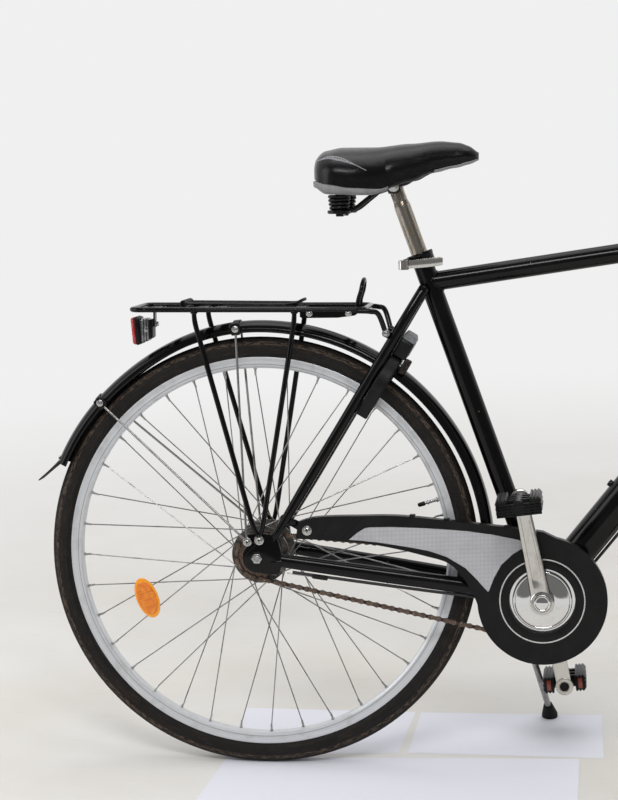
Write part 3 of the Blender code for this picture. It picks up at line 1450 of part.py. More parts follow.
def pedal(side):
    out = CRANK_OUT if side == RIGHT else -CRANK_OUT
    eye = BB + out * CRANK_LENGTH
    start = CRANK_INNER_Y + CRANK_THICK + CRANK_FLARE + AIR
    low = min(side * start, side * (start + PEDAL_WIDTH))
    middle = eye + Y * (low + PEDAL_WIDTH / 2)
    turn = Matrix.Rotation(radians(PEDAL_TILT[side]), 4, "Y")
    half = PEDAL_LENGTH / 2
    barrel = rod(eye + Y * low, eye + Y * (low + PEDAL_WIDTH), PEDAL_BARREL, 14)
    bars = []
    for ahead in (-1, 1):
        at = middle + turn @ Vector((ahead * (half - PEDAL_BAR / 2), 0, 0))
        bars.append(block(at, (PEDAL_BAR, PEDAL_WIDTH, PEDAL_THICK), turn))
    for y in (low + PEDAL_PLATE / 2 + 0.010, middle.y, low + PEDAL_WIDTH - PEDAL_PLATE / 2 - 0.010):
        at = Vector((middle.x, y, middle.z))
        bars.append(block(at, (PEDAL_LENGTH - PEDAL_BAR, PEDAL_PLATE, PEDAL_THICK * 0.72), turn))
    body = fuse(barrel, *bars)
    bore = rod(eye + Y * (low - 0.01), eye + Y * (low + PEDAL_WIDTH + 0.01),
               PEDAL_AXLE + PLAY, 12)
    return cut(body, bore)


PEDAL_TILT = {RIGHT: -7.0, LEFT: -6.0}


def drive():
    chain_guard()
    chain()
    sprocket()
    rear_axle()
    empty("crankset", BB, EMPTIES["frame"])
    tip = CRANK_INNER_Y + CRANK_SEAT - SEAM
    axle = rod(BB - Y * tip, BB + Y * tip, BB_AXLE_RADIUS, 16)
    bearing = rod(BB - Y * (BB_WIDTH / 2 - 0.004), BB + Y * (BB_WIDTH / 2 - 0.004),
                  BB_BORE - PLAY, 20)
    piece("bottom_bracket_axle", fuse(axle, bearing), "steel", "crankset")
    ring_outer = CHAINRING_PITCH - CHAIN_HEIGHT / 2 - PLAY - 0.0008
    bore = BB_AXLE_RADIUS + SEAM
    line = CHAIN_LINE
    half = TOOTH_WIDTH / 2
    front = GUARD_PLATE_Y + 0.0010
    profile = [
        (bore, line - half), (ring_outer, line - half), (ring_outer, line + half),
        (COVER_RADIUS, line + half), (COVER_RADIUS, front - 0.002),
        (COVER_RADIUS - 0.002, front), (0.030, front + 0.0012), (bore, front + 0.0012)]
    ring = lathe([(r, -h) for r, h in profile], BB, Y, 28)
    piece("chainring", ring, "chrome", "crankset")
    for side, name in ((RIGHT, "right"), (LEFT, "left")):
        piece("crank_arm_" + name, crank_arm(side), "polished_alloy", "crankset")
        out = CRANK_OUT if side == RIGHT else -CRANK_OUT
        empty("pedal_" + name + "_axis", BB + out * CRANK_LENGTH, EMPTIES["crankset"])
        piece("pedal_" + name, pedal(side), "satin_black_plastic", "pedal_" + name + "_axis")


# Stand


def ground_height():
    """Height of the ground along the true vertical, found from the tyre's lowest point."""
    shape = tyre_shape(AXLE)
    low = min(v.co.dot(UP_IN_BICYCLE) for v in shape.verts)
    shape.free()
    return low


def stand_pivot():
    return Vector((BB.x - STAND_BACK, STAND_Y, BB.z - STAND_DROP))


GROUND = ground_height()
FOOT = Vector((BB.x + FOOT_AHEAD, FOOT_SPREAD,
               (GROUND + FOOT_SPREAD * sin(LEAN)) / cos(LEAN)))
STAND_OUT = (FOOT - stand_pivot()).normalized()
STAND_AXIS = STAND_OUT.cross(FOLDED).normalized()


def stand():
    pivot = stand_pivot()
    empty("stand", pivot, EMPTIES["frame"])
    start = pivot + STAND_AXIS * 0.0095
    boss = rod(pivot + STAND_AXIS * (0.001 + PLAY), pivot + STAND_AXIS * 0.017, 0.0110, 16)
    aim = (FOOT + UP_IN_BICYCLE * 0.012 - start).normalized()
    leg_end = FOOT + UP_IN_BICYCLE * 0.012
    leg = tube([start, leg_end], LEG_RADIUS, 12)
    piece("stand_leg", fuse(boss, leg), "satin_alloy", "stand")
    u = X
    v = UP_IN_BICYCLE.cross(X).normalized()
    base = []
    for radius, up, shift in ((FOOT_RADIUS * 0.93, 0.0, 0.0), (FOOT_RADIUS, 0.004, 0.0),
                              (FOOT_RADIUS * 0.95, 0.009, 0.0)):
        for k in range(14):
            turn = TAU * k / 14
            base.append(FOOT + UP_IN_BICYCLE * up + (u * cos(turn) + v * sin(turn)) * radius)
    neck = leg_end - aim * (FOOT_HEIGHT - 0.012)
    base += disc_points(neck, LEG_RADIUS + 0.0022, aim, 12)
    foot = hull(base)
    foot = cut(foot, tube([start, leg_end + aim * SEAM], LEG_RADIUS + SEAM, 12))
    piece("stand_foot", foot, "black_rubber", "stand")


# Fork, stem, bar, brake and cables


def fork():
    crown = FORK_LENGTH - 0.017
    parts = [
        tube([steer_point(0, 0, crown), steer_point(0, 0, FORK_LENGTH)], [0.0190, 0.0190], 16),
        rod(steer_point(0, 0, crown), steer_point(0, 0, STEERER_TOP - 0.0005), STEERER_RADIUS, 16),
        rod(steer_point(0, -FORK_HALF, crown), steer_point(0, FORK_HALF, crown), 0.0150, 12),
    ]
    tip_y = FRONT_SPACE / 2 + 0.003
    for side in (RIGHT, LEFT):
        leg = smooth_path([
            steer_point(0, side * FORK_HALF, crown + 0.006),
            steer_point(0.001, side * (FORK_HALF + 0.001), 0.300),
            steer_point(0.009, side * (FORK_HALF + 0.003), 0.150),
            steer_point(0.028, side * (FORK_HALF + 0.005), 0.060),
            steer_point(FORK_RAKE - 0.004, side * (tip_y + 0.001), 0.014),
        ], 7)
        radii = [FORK_TOP_RADIUS + (FORK_TIP_RADIUS - FORK_TOP_RADIUS) * k / 6 for k in range(7)]
        parts.append(tube(leg, radii, 10))
        plate = slab([(-0.016, -0.010), (0.012, -0.012), (0.012, 0.012), (-0.002, 0.034),
                      (-0.020, 0.030)], side * tip_y - 0.003, side * tip_y + 0.003)
        bmesh.ops.translate(plate, vec=FRONT_AXLE, verts=plate.verts)
        parts.append(plate)
        nut = FRONT_AXLE + Y * side * (tip_y + 0.003)
        parts.append(rod(nut, nut + Y * side * 0.007, NUT_RADIUS, 6))
        eye = front_eye(side)
        root = Vector((eye.x, side * (tip_y - 0.001), eye.z))
        parts.append(rod(root, eye - Y * side * (0.0020 + SEAM), 0.0036, 8))
        boss = brake_pivot(side)
        parts.append(rod(boss - STEER_OUT * 0.018, boss + STEER_OUT * 0.006, 0.0042, 10))
    parts.append(rod(FRONT_AXLE - Y * (tip_y + 0.012), FRONT_AXLE + Y * (tip_y + 0.012),
                     AXLE_RADIUS, 12))
    piece("fork", fuse(*parts), "gloss_black_paint", "steering")


BRAKE_UP = RIM_RADIUS - 0.034
BRAKE_OUT = 0.026
BRAKE_ARM = 0.100
BRAKE_Y = 0.041
PAD_GAP = 0.0026


def brake_pivot(side):
    return steer_point(BRAKE_OUT, side * BRAKE_Y, BRAKE_UP)


def brake_arms():
    for side, name in ((RIGHT, "right"), (LEFT, "left")):
        pivot = brake_pivot(side)
        body = "brake_" + name
        empty(body, pivot, EMPTIES["steering"])
        top = steer_point(BRAKE_OUT, side * (BRAKE_Y + 0.010), BRAKE_UP + BRAKE_ARM)
        arm = hull(
            disc_points(pivot - STEER_OUT * 0.005, 0.0095, STEER_OUT, 10)
            + disc_points(pivot + STEER_OUT * 0.009, 0.0095, STEER_OUT, 10)
            + disc_points(top - STEER_OUT * 0.002, 0.0055, STEER_OUT, 8)
            + disc_points(top + STEER_OUT * 0.006, 0.0055, STEER_OUT, 8))
        face = side * (RIM_WIDTH / 2 + PAD_GAP)
        rim_y = BRAKE_UP + 0.0255
        reach = sqrt((RIM_RADIUS - 0.006)**2 - rim_y**2) if rim_y < RIM_RADIUS - 0.006 else 0.0
        grip = FORK_RAKE - reach
        pad = hull([steer_point(grip + o, face + side * y, rim_y + u - abs(o) * 0.08)
                    for o in (-0.020, 0.030) for y in (0.0, 0.008) for u in (-0.0045, 0.0045)])
        post = rod(steer_point(BRAKE_OUT + 0.002, face + side * 0.004, rim_y),
                   steer_point(BRAKE_OUT + 0.002, side * (BRAKE_Y + 0.004), rim_y), 0.0032, 8)
        arm = fuse(arm, pad, post)
        hole = rod(pivot - STEER_OUT * 0.02, pivot + STEER_OUT * 0.006 + STEER_OUT * SEAM * 2,
                   0.0042 + PLAY, 10)
        arm = cut(arm, hole)
        piece("brake_arm_" + name, arm, "satin_black_plastic", body)


def bar_centre():
    return steer_point(STEM_REACH, 0, STEERER_TOP + STEM_RISE + STEM_LIFT)


BAR_BEND = ((0.0, 0.034, 0.0), (0.002, 0.052, 0.002), (0.014, 0.100, 0.018),
            (0.010, 0.150, 0.036), (-0.020, 0.190, 0.043), (-0.058, 0.216, 0.042))
BAR_END = Vector((-0.84, 0.52, -0.16)).normalized()
BAR_STRAIGHT = 0.190


def bar_grip_start(side):
    x, y, z = BAR_BEND[-1]
    return bar_centre() + Vector((x, side * y, z))


def bar_grip_along(side):
    return Vector((BAR_END.x, side * BAR_END.y, BAR_END.z))


def stem_and_bar():
    low = STEERER_TOP + SEAM
    centre = bar_centre()
    neck = steer_point(0, 0, STEERER_TOP + STEM_RISE)
    post = tube([steer_point(0, 0, low), steer_point(0, 0, low + 0.016),
                 steer_point(0, 0, low + 0.018), neck - STEER_UP * 0.006],
                [0.0185, 0.0185, 0.0125, 0.0125], 16)
    joint = rod(neck - Y * 0.017, neck + Y * 0.017, 0.0165, 16)
    arm = rod(neck, centre, STEM_RADIUS, 12)
    barrel = rod(centre - Y * 0.0225, centre + Y * 0.0225, 0.0205, 16)
    stem = fuse(post, joint, arm, barrel)
    stem = cut(stem, rod(centre - Y * 0.04, centre + Y * 0.04, BAR_CENTRE_RADIUS + SEAM, 12))
    piece("stem", stem, "satin_alloy", "steering")

    halves = []
    for side in (RIGHT, LEFT):
        start = bar_grip_start(side)
        along = bar_grip_along(side)
        curve = smooth_path([centre + Vector((x, side * y, z)) for x, y, z in BAR_BEND], 9)
        halves.append([start + along * BAR_STRAIGHT, start + along * 0.005]
                      + curve[::-1][:-1])
    middle = [centre + Y * y for y in (-0.032, -0.028, 0.028, 0.032)]
    path = halves[0] + middle + halves[1][::-1]
    radii = [BAR_RADIUS] * len(path)
    radii[len(halves[0]) + 1] = BAR_CENTRE_RADIUS
    radii[len(halves[0]) + 2] = BAR_CENTRE_RADIUS
    bar = fuse(tube(path, radii, 12), *straight_bar())
    piece("handlebar", bar, "satin_alloy", "steering")


def straight_bar():
    """Fixed fittings on the bar: the shifter's housing on the right, the lever's clamp left."""
    parts = []
    start = bar_grip_start(RIGHT)
    along = bar_grip_along(RIGHT)
    parts.append(rod(start + along * 0.006, start + along * (0.006 + HOUSING_LENGTH), 0.0195, 16))
    spout = start + along * 0.012 + Vector((0.012, 0, -0.010))
    parts.append(rod(spout, spout - along * 0.034 + Vector((0.004, 0, -0.004)), 0.0045, 8))
    start = bar_grip_start(LEFT)
    along = bar_grip_along(LEFT)
    parts.append(rod(start + along * 0.020, start + along * 0.038, 0.0150, 12))
    ahead = lever_ahead()
    hinge = lever_pivot()
    flat = [hinge - ahead * 0.030 + along * a for a in (-0.009, 0.009)]
    flat += [hinge + along * a + ahead * o for a in (-0.007, 0.007) for o in (-0.006, 0.006)]
    parts.append(hull([spot + Z * z for spot in flat for z in (-0.0100, -0.0068)]))
    parts.append(rod(hinge - Z * 0.008, hinge + Z * 0.0072, LEVER_PIN, 10))
    return parts


LEVER_PIN = 0.0020


def lever_ahead():
    """Square to the left grip, pointing away from the rider."""
    along = bar_grip_along(LEFT)
    ahead = along.cross(Z)
    if ahead.x < 0:
        ahead = -ahead
    return ahead.normalized()


def lever_pivot():
    return (bar_grip_start(LEFT) + bar_grip_along(LEFT) * 0.029 + lever_ahead() * 0.036
            + Z * -0.004)


def grips():
    for side, name in ((RIGHT, "right"), (LEFT, "left")):
        start = bar_grip_start(side)
        along = bar_grip_along(side)
        extra = HOUSING_LENGTH + 0.006 + TWIST_LENGTH + 2 * PLAY
        near = BAR_STRAIGHT + 0.004 - GRIP_LENGTH
        if side == RIGHT:
            near = max(near, extra + PLAY)
        far = BAR_STRAIGHT + 0.004
        inner = BAR_RADIUS + SEAM
        profile = [(inner, near), (GRIP_RADIUS + 0.002, near), (GRIP_RADIUS, near + 0.004),
                   (GRIP_RADIUS, far - 0.004), (GRIP_RADIUS - 0.003, far), (0.0, far),
                   (0.0, far - 0.004 + SEAM), (inner, far - 0.004 + SEAM)]
        piece("grip_" + name, lathe(profile, start, along, 16), "black_rubber", "steering")
        if side == RIGHT:
            empty("twister", start + along * extra, EMPTIES["steering"])
            low = 0.006 + HOUSING_LENGTH + PLAY
            ring = [(BAR_RADIUS + PLAY, low), (0.0190, low), (0.0175, low + TWIST_LENGTH),
                    (BAR_RADIUS + PLAY, low + TWIST_LENGTH)]
            piece("shift_twister", lathe(ring, start, along, 16), "black_rubber", "twister")


def brake_lever():
    pivot = lever_pivot()
    along = bar_grip_along(LEFT)
    ahead = lever_ahead()
    empty("lever", pivot, EMPTIES["steering"])
    blade = tube(smooth_path([
        pivot - along * 0.004,
        pivot + along * 0.022 + ahead * 0.014,
        pivot + along * 0.060 + ahead * 0.024,
        pivot + along * 0.118 + ahead * 0.026,
    ], 8), [0.0062, 0.0060, 0.0054, 0.0054, 0.0056, 0.0058, 0.0060, 0.0050], 10)
    blade = cut(blade, rod(pivot - Z * 0.02, pivot + Z * 0.02, LEVER_PIN + PLAY, 10))
    piece("brake_lever", blade, "satin_black_plastic", "lever")


SHIFT_FROM_BAR = (
    (0.0287, -0.2320, -0.0062), (0.0737, -0.2050, -0.0202), (0.1107, -0.1300, -0.0702),
)
SHIFT_BY_TUBE = (
    (0.1084, -0.0700, 0.1129), (0.0684, -0.0450, 0.0329), (0.0154, -0.0330, -0.0291),
)


def cable(name, points, count, body):
    """Sheathed cable as a curve with a round section."""
    place = PLACES[body]
    data = bpy.data.curves.new(name, "CURVE")
    data.dimensions = "3D"
    data.bevel_depth = CABLE_RADIUS
    data.bevel_resolution = 2
    data.use_fill_caps = True
    spline = data.splines.new("POLY")
    path = smooth_path(points, count)
    spline.points.add(len(path) - 1)
    for spot, target in zip(spline.points, path):
        spot.co = (*(target - place), 1.0)
    data.materials.append(material("black_wire", *FINISHES["black_wire"]))
    item = bpy.data.objects.new(name, data)
    bpy.context.scene.collection.objects.link(item)
    item.parent = EMPTIES[body]
    return item


def cables():
    along = (steer_point(0, 0, HEAD_LOW + DOWN_TUBE_AT) - BB).normalized()
    over = along.cross(Y).normalized()
    if over.z < 0:
        over = -over
    below = DOWN_TUBE_RADIUS + CABLE_RADIUS + 0.0006
    points = [bar_centre() + Vector(p) for p in SHIFT_FROM_BAR]
    points += [steer_point(0, 0, HEAD_LOW + DOWN_TUBE_AT) + Vector(p) for p in SHIFT_BY_TUBE]
    for at in (0.500, 0.400, 0.300, 0.200, 0.110):
        points.append(BB + along * at - over * below - Y * 0.0040)
    shell = BB_RADIUS + CABLE_RADIUS + 0.0010
    points += [
        BB + Vector((shell * 0.80, -0.012, -shell * 0.75)),
        BB + Vector((shell * 0.05, -0.019, -shell * 1.02)),
    ]
    start = Vector((0.030, 0, -0.006))
    end = Vector((BB.x - BB_RADIUS * 0.2, 0, BB.z))
    for share, y in ((0.80, -0.0330), (0.60, -0.0415), (0.41, -0.0505), (0.22, -0.0575),
                     (0.06, -0.0615)):
        spot = start.lerp(end, share)
        drop = CHAIN_STAY_FRONT + CABLE_RADIUS + 0.0013
        points.append(Vector((spot.x, y, spot.z - drop)))
    cable("shift_cable", points, 48, "frame")
    grip = bar_grip_start(LEFT)
    bar_along = bar_grip_along(LEFT)
    start = lever_pivot() - bar_along * 0.016 - Z * 0.0020 - lever_ahead() * 0.012
    top = steer_point(BRAKE_OUT + 0.002, 0, BRAKE_UP + BRAKE_ARM)
    cable("brake_cable", [
        start,
        start - bar_along * 0.050 + Vector((0.020, 0, -0.004)),
        Vector((start.x + 0.085, grip.y * 0.45, start.z - 0.045)),
        Vector((start.x + 0.100, grip.y * 0.08, start.z - 0.130)),
        top + Vector((0.052, -0.030, 0.120)),
        top + Vector((0.030, -0.066, 0.050)),
        top + STEER_OUT * 0.004 + Vector((0.012, -0.068, 0.016)),
        top + STEER_OUT * 0.004 + Vector((0.0, -0.0580, 0.0)),
    ], 25, "steering")


def build():
    for item in list(bpy.data.objects):
        bpy.data.objects.remove(item)
    root = empty("bicycle", Vector((0, 0, 0)))
    empty("frame", Vector((0, 0, 0)), root)
    empty("steering", steer_point(0, 0, HEAD_LOW), EMPTIES["frame"])
    main_tubes()
    stays()
    seat_clamp()
    seat_group()
    rack()
    spring_clip()
    rear_lamp()
    rear_mudguard()
    ring_lock()
    drive()
    rear_wheel()
    stand()
    fork()
    stem_and_bar()
    grips()
    brake_lever()
    brake_arms()
    front_mudguard()
    front_wheel()
    cables()
    settle(root)


def settle(root):
    """Lean the bicycle on its stand and centre it over the origin."""
    root.rotation_euler = (-LEAN, 0, 0)
    bpy.context.view_layer.update()
    graph = bpy.context.evaluated_depsgraph_get()
    low = Vector((1e9, 1e9, 1e9))
    high = -low
    for item in bpy.data.objects:
        if item.type not in {"MESH", "CURVE"}:
            continue
        shown = item.evaluated_get(graph)
        mesh = shown.to_mesh()
        for vert in mesh.vertices:
            spot = item.matrix_world @ vert.co
            low = Vector([min(a, b) for a, b in zip(low, spot)])
            high = Vector([max(a, b) for a, b in zip(high, spot)])
        shown.to_mesh_clear()
    middle = (low + high) / 2
    root.location = (-middle.x, -middle.y, -low.z)
    bpy.context.view_layer.update()


build()
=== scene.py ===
"""City bicycle parked on its side stand, seen from the side of its chain."""

import json
import math
from math import cos, pi, radians, sin, sqrt

import bmesh
import bpy
import numpy as np
from mathutils import Matrix, Vector


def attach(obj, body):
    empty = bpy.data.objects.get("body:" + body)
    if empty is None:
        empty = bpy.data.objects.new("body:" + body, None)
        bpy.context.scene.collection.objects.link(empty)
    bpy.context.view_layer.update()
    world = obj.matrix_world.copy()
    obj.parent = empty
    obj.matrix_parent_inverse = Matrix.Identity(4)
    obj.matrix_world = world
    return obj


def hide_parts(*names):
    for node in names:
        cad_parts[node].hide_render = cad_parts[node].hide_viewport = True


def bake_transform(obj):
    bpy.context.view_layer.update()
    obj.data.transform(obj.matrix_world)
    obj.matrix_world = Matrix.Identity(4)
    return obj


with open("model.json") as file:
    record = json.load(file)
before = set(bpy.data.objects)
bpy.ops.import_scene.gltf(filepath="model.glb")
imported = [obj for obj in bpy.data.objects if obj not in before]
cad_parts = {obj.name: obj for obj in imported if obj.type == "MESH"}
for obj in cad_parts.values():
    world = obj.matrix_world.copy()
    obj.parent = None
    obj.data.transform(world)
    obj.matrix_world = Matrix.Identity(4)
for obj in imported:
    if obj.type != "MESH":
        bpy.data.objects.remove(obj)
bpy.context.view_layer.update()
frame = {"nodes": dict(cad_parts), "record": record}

def vec(x, y, z):
    return Vector((x, y, z))


def mm(sizes):
    """A size in millimetres, or a list of them, in metres."""
    return sizes * MM if isinstance(sizes, (int, float)) else [mm(s) for s in sizes]


MM = 0.001
X = vec(1, 0, 0)
Y = vec(0, 1, 0)
Z = vec(0, 0, 1)
TAU = 2 * pi
RIGHT, LEFT = -1, 1
SIDES = ((RIGHT, "right"), (LEFT, "left"))

# Sizes, in metres, in the bicycle's own frame: rear axle at the origin, X forward, Y left
LEAN = radians(7.1)
AXLE = vec(0, 0, 0)
CHAIN_STAY = 0.4554
BB_DROP = 0.065
BB = vec(sqrt(CHAIN_STAY**2 - BB_DROP**2), 0, -BB_DROP)
FRONT_AXLE = vec(1.0725, 0, 0)
SEAT_ANGLE = radians(70.2)
SEAT_UP = vec(-cos(SEAT_ANGLE), 0, sin(SEAT_ANGLE))
SEAT_OUT = vec(sin(SEAT_ANGLE), 0, cos(SEAT_ANGLE))
HEAD_ANGLE = radians(70.0)
STEER_UP = vec(-cos(HEAD_ANGLE), 0, sin(HEAD_ANGLE))
STEER_OUT = vec(sin(HEAD_ANGLE), 0, cos(HEAD_ANGLE))
FORK_RAKE = 0.05
STEER_BASE = FRONT_AXLE - STEER_OUT * FORK_RAKE
HEAD_LOW, HEAD_HIGH = 0.432, 0.592
SPOKES = 36
SPOKE_PHASE = 22.0
VALVE_ANGLE = 17.0
CRANK_LENGTH = 0.17
CRANK_ANGLE = radians(101.5)
CRANK_OUT = vec(cos(CRANK_ANGLE), 0, sin(CRANK_ANGLE))
CRANK_INNER_Y, CRANK_THICK, CRANK_FLARE = 0.0625, 0.014, 0.007
CHAIN_PITCH, CHAIN_LINE = 0.0127, 0.0475
SPROCKET_PITCH = CHAIN_PITCH / (2 * sin(pi / 18))
CHAINRING_PITCH = CHAIN_PITCH / (2 * sin(pi / 33))
TOP_TUBE, DOWN_TUBE, SEAT_TUBE, HEAD_TUBE, BB_SHELL = 0.0155, 0.0275, 0.0162, 0.019, 0.021
SEAT_TUBE_TOP = 0.58
GUARD_LOW, GUARD_HIGH, GUARD_WIDTH = 0.357, 0.3745, 0.051
RACK_HEIGHT = 0.395

JOINTS = {j["name"]: j for j in frame["record"]["behaviour"]["joints"]}
SETTLE = Matrix.Rotation(-LEAN, 4, "X")
SETTLE.translation = Vector(JOINTS["crank_spin"]["pos_m"]) - SETTLE @ BB


def seat_point(along, y=0.0, out=0.0):
    return BB + SEAT_UP * along + Y * y + SEAT_OUT * out


def steer_point(out, y, up):
    return STEER_BASE + STEER_OUT * out + Y * y + STEER_UP * up


def polar(centre, radius, degrees, y=0.0):
    turn = radians(degrees)
    return centre + vec(radius * cos(turn), y, radius * sin(turn))


# Shapes: a shape is a list of corners and a list of faces


def across(axis):
    """Two directions square to the axis and to each other."""
    other = Z if abs(axis.z) < 0.9 else X
    u = axis.cross(other).normalized()
    return u, axis.cross(u).normalized()


def join(*shapes):
    corners, faces = [], []
    for more, rings in shapes:
        start = len(corners)
        corners += more
        faces += [tuple(i + start for i in face) for face in rings]
    return corners, faces


def smooth_path(points, count):
    """Evenly spaced points on a smooth curve through the given ones."""
    knots = [Vector(p) for p in points]
    ends = [knots[0] * 2 - knots[1]] + knots + [knots[-1] * 2 - knots[-2]]
    dense = []
    for i in range(1, len(ends) - 2):
        a, b, c, d = ends[i - 1], ends[i], ends[i + 1], ends[i + 2]
        for k in range(16):
            t = k / 16
            dense.append(0.5 * (2 * b + (c - a) * t + (2 * a - 5 * b + 4 * c - d) * t * t
                + (3 * b - a - 3 * c + d) * t**3))
    dense.append(knots[-1])
    run = [0.0]
    for one, two in zip(dense, dense[1:]):
        run.append(run[-1] + (two - one).length)
    out, k = [], 0
    for i in range(count):
        want = run[-1] * i / (count - 1)
        while k < len(run) - 2 and run[k + 1] < want:
            k += 1
        t = (want - run[k]) / max(run[k + 1] - run[k], 1e-9)
        out.append(dense[k].lerp(dense[k + 1], t))
    return out


def tube(path, radius, sides=20, closed=False, flat=1.0, face=None, domed=False):
    """Round bar along a path. A list of radii tapers it."""
    path = [Vector(p) for p in path]
    count = len(path)
    radii = list(radius) if isinstance(radius, (list, tuple)) else [radius] * count
    if domed and not closed:
        for end, inward in ((0, 1), (-1, -1)):
            spot, run = path[end], (path[end + inward] - path[end]).normalized()
            size = radii[end]
            extra = [(spot + run * size * 0.06, size * 0.8), (spot, size * 0.45)]
            path[end] = spot + run * size * 0.3
            if end == 0:
                path = [p for p, _ in extra[::-1]] + path
                radii = [r for _, r in extra[::-1]] + radii
            else:
                path += [p for p, _ in extra]
                radii += [r for _, r in extra]
        count = len(path)
    corners, faces = [], []
    u = None
    for i, spot in enumerate(path):
        after = path[(i + 1) % count] if closed or i < count - 1 else spot
        before = path[i - 1] if closed or i > 0 else spot
        run = (after - before).normalized()
        if u is None:
            u = (face - run * face.dot(run)).normalized() if face else across(run)[0]
        else:
            u = (u - run * u.dot(run)).normalized()
        v = run.cross(u)
        for k in range(sides):
            turn = TAU * k / sides
            corners.append(spot + u * cos(turn) * radii[i] + v * sin(turn) * radii[i] * flat)
    for i in range(count if closed else count - 1):
        low, high = i * sides, ((i + 1) % count) * sides
        for k in range(sides):
            n = (k + 1) % sides
            faces.append((low + k, low + n, high + n, high + k))
    if not closed:
        faces.append(tuple(range(sides))[::-1])
        faces.append(tuple(range((count - 1) * sides, count * sides)))
    return corners, faces


def rod(start, end, radius, sides=24):
    return tube([start, end], radius, sides)


def lathe(profile, centre, axis, sides, first=None, arc=None):
    """Turns a profile of (radius, height) pairs about an axis. Angles are in degrees.
    A profile that ends on the axis is left open there."""
    axis = axis.normalized()
    loop = profile[-1][0] > 0
    u = (first - axis * first.dot(axis)).normalized() if first else across(axis)[0]
    v = axis.cross(u)
    start, sweep = arc if arc else (0.0, 360.0)
    whole = arc is None
    steps = sides if whole else sides + 1
    corners, faces = [], []
    poles = {}
    for i in range(steps):
        turn = radians(start + sweep * i / sides)
        out = u * cos(turn) + v * sin(turn)
        for k, (radius, height) in enumerate(profile):
            if radius < 1e-7:
                if k not in poles:
                    poles[k] = len(corners)
                    corners.append(centre + axis * height)
                continue
            corners.append(centre + out * radius + axis * height)
    index = {}
    at = 0
    for i in range(steps):
        for k, (radius, height) in enumerate(profile):
            if radius < 1e-7:
                index[i, k] = poles[k]
                if poles[k] == at:
                    at += 1
                continue
            index[i, k] = at
            at += 1
    count = len(profile)
    for i in range(sides):
        j = (i + 1) % steps
        for k in range(count if loop else count - 1):
            n = (k + 1) % count
            face = []
            for key in ((i, k), (j, k), (j, n), (i, n)):
                if index[key] not in face:
                    face.append(index[key])
            if len(face) > 2:
                faces.append(tuple(face))
    if not whole and loop:
        faces.append(tuple(index[0, k] for k in range(count)))
        faces.append(tuple(index[sides, k] for k in range(count))[::-1])
    return corners, faces


def both_ends(half):
    """A turned profile from its upper half: (radius, height) pairs from the middle up."""
    return [(r, -y) for r, y in reversed(half)] + half


def from_bmesh(mesh):
    mesh.verts.index_update()
    corners = [v.co.copy() for v in mesh.verts]
    faces = [tuple(v.index for v in f.verts) for f in mesh.faces]
    mesh.free()
    return corners, faces


def to_bmesh(shape):
    mesh = bmesh.new()
    made = [mesh.verts.new(c) for c in shape[0]]
    for face in shape[1]:
        if len(set(face)) > 2:
            try:
                mesh.faces.new([made[i] for i in face])
            except ValueError:
                continue
    mesh.normal_update()
    return mesh


def rounded(shape, width, segments=2, angle=24.0):
    """Rounds the edges that are sharper than the angle."""
    mesh = to_bmesh(shape)
    bmesh.ops.recalc_face_normals(mesh, faces=mesh.faces)
    sharp = [e for e in mesh.edges if len(e.link_faces) == 2 and e.calc_face_angle(0) > radians(angle)]
    bmesh.ops.bevel(mesh, geom=sharp, offset=width, segments=segments, profile=0.5, affect="EDGES",
        clamp_overlap=True)
    return from_bmesh(mesh)


def hull(points, width=0.0):
    mesh = bmesh.new()
    for p in points:
        mesh.verts.new(p)
    made = bmesh.ops.convex_hull(mesh, input=mesh.verts)
    bmesh.ops.delete(mesh, geom=[g for g in set(made["geom_interior"])
        if g.is_valid and isinstance(g, bmesh.types.BMVert)], context="VERTS")
    bmesh.ops.dissolve_limit(mesh, angle_limit=radians(1.5), verts=mesh.verts, edges=mesh.edges)
    shape = from_bmesh(mesh)
    return rounded(shape, width) if width else shape


def slab(outline, low, high, width=0.0, segments=2):
    """An outline of (x, z) pairs, thick from one y to another."""
    count = len(outline)
    corners = [vec(x, y, z) for y in (low, high) for x, z in outline]
    faces = [tuple(range(count)), tuple(range(count, 2 * count))[::-1]]
    for k in range(count):
        n = (k + 1) % count
        faces.append((k, k + count, n + count, n))
    shape = (corners, faces)
    mesh = to_bmesh(shape)
    bmesh.ops.recalc_face_normals(mesh, faces=mesh.faces)
    if width:
        rims = [e for e in mesh.edges if abs(e.verts[0].co.y - e.verts[1].co.y) < 1e-9]
        bmesh.ops.bevel(mesh, geom=rims, offset=width, segments=segments, profile=0.5, affect="EDGES",
            clamp_overlap=True)
    return from_bmesh(mesh)


def block(centre, size, turn=None, width=0.0004):
    spots = []
    for x in (-0.5, 0.5):
        for y in (-0.5, 0.5):
            for z in (-0.5, 0.5):
                spot = vec(x * size[0], y * size[1], z * size[2])
                spots.append(centre + (turn @ spot if turn else spot))
    return hull(spots, width)


def disc_points(centre, radius, axis, sides):
    u, v = across(axis.normalized())
    return [centre + u * radius * cos(TAU * k / sides) + v * radius * sin(TAU * k / sides)
        for k in range(sides)]


# Outlines of round bolt heads, as shares of their radius and height
HEADS = {"cap": ((1, 0.25), (1, 0.85), (0.9, 1), (0.52, 1), (0.46, 0.5), (0, 0.45)),
         "dome": ((1, 0.25), (0.96, 0.6), (0.72, 0.88), (0.36, 1), (0, 1))}


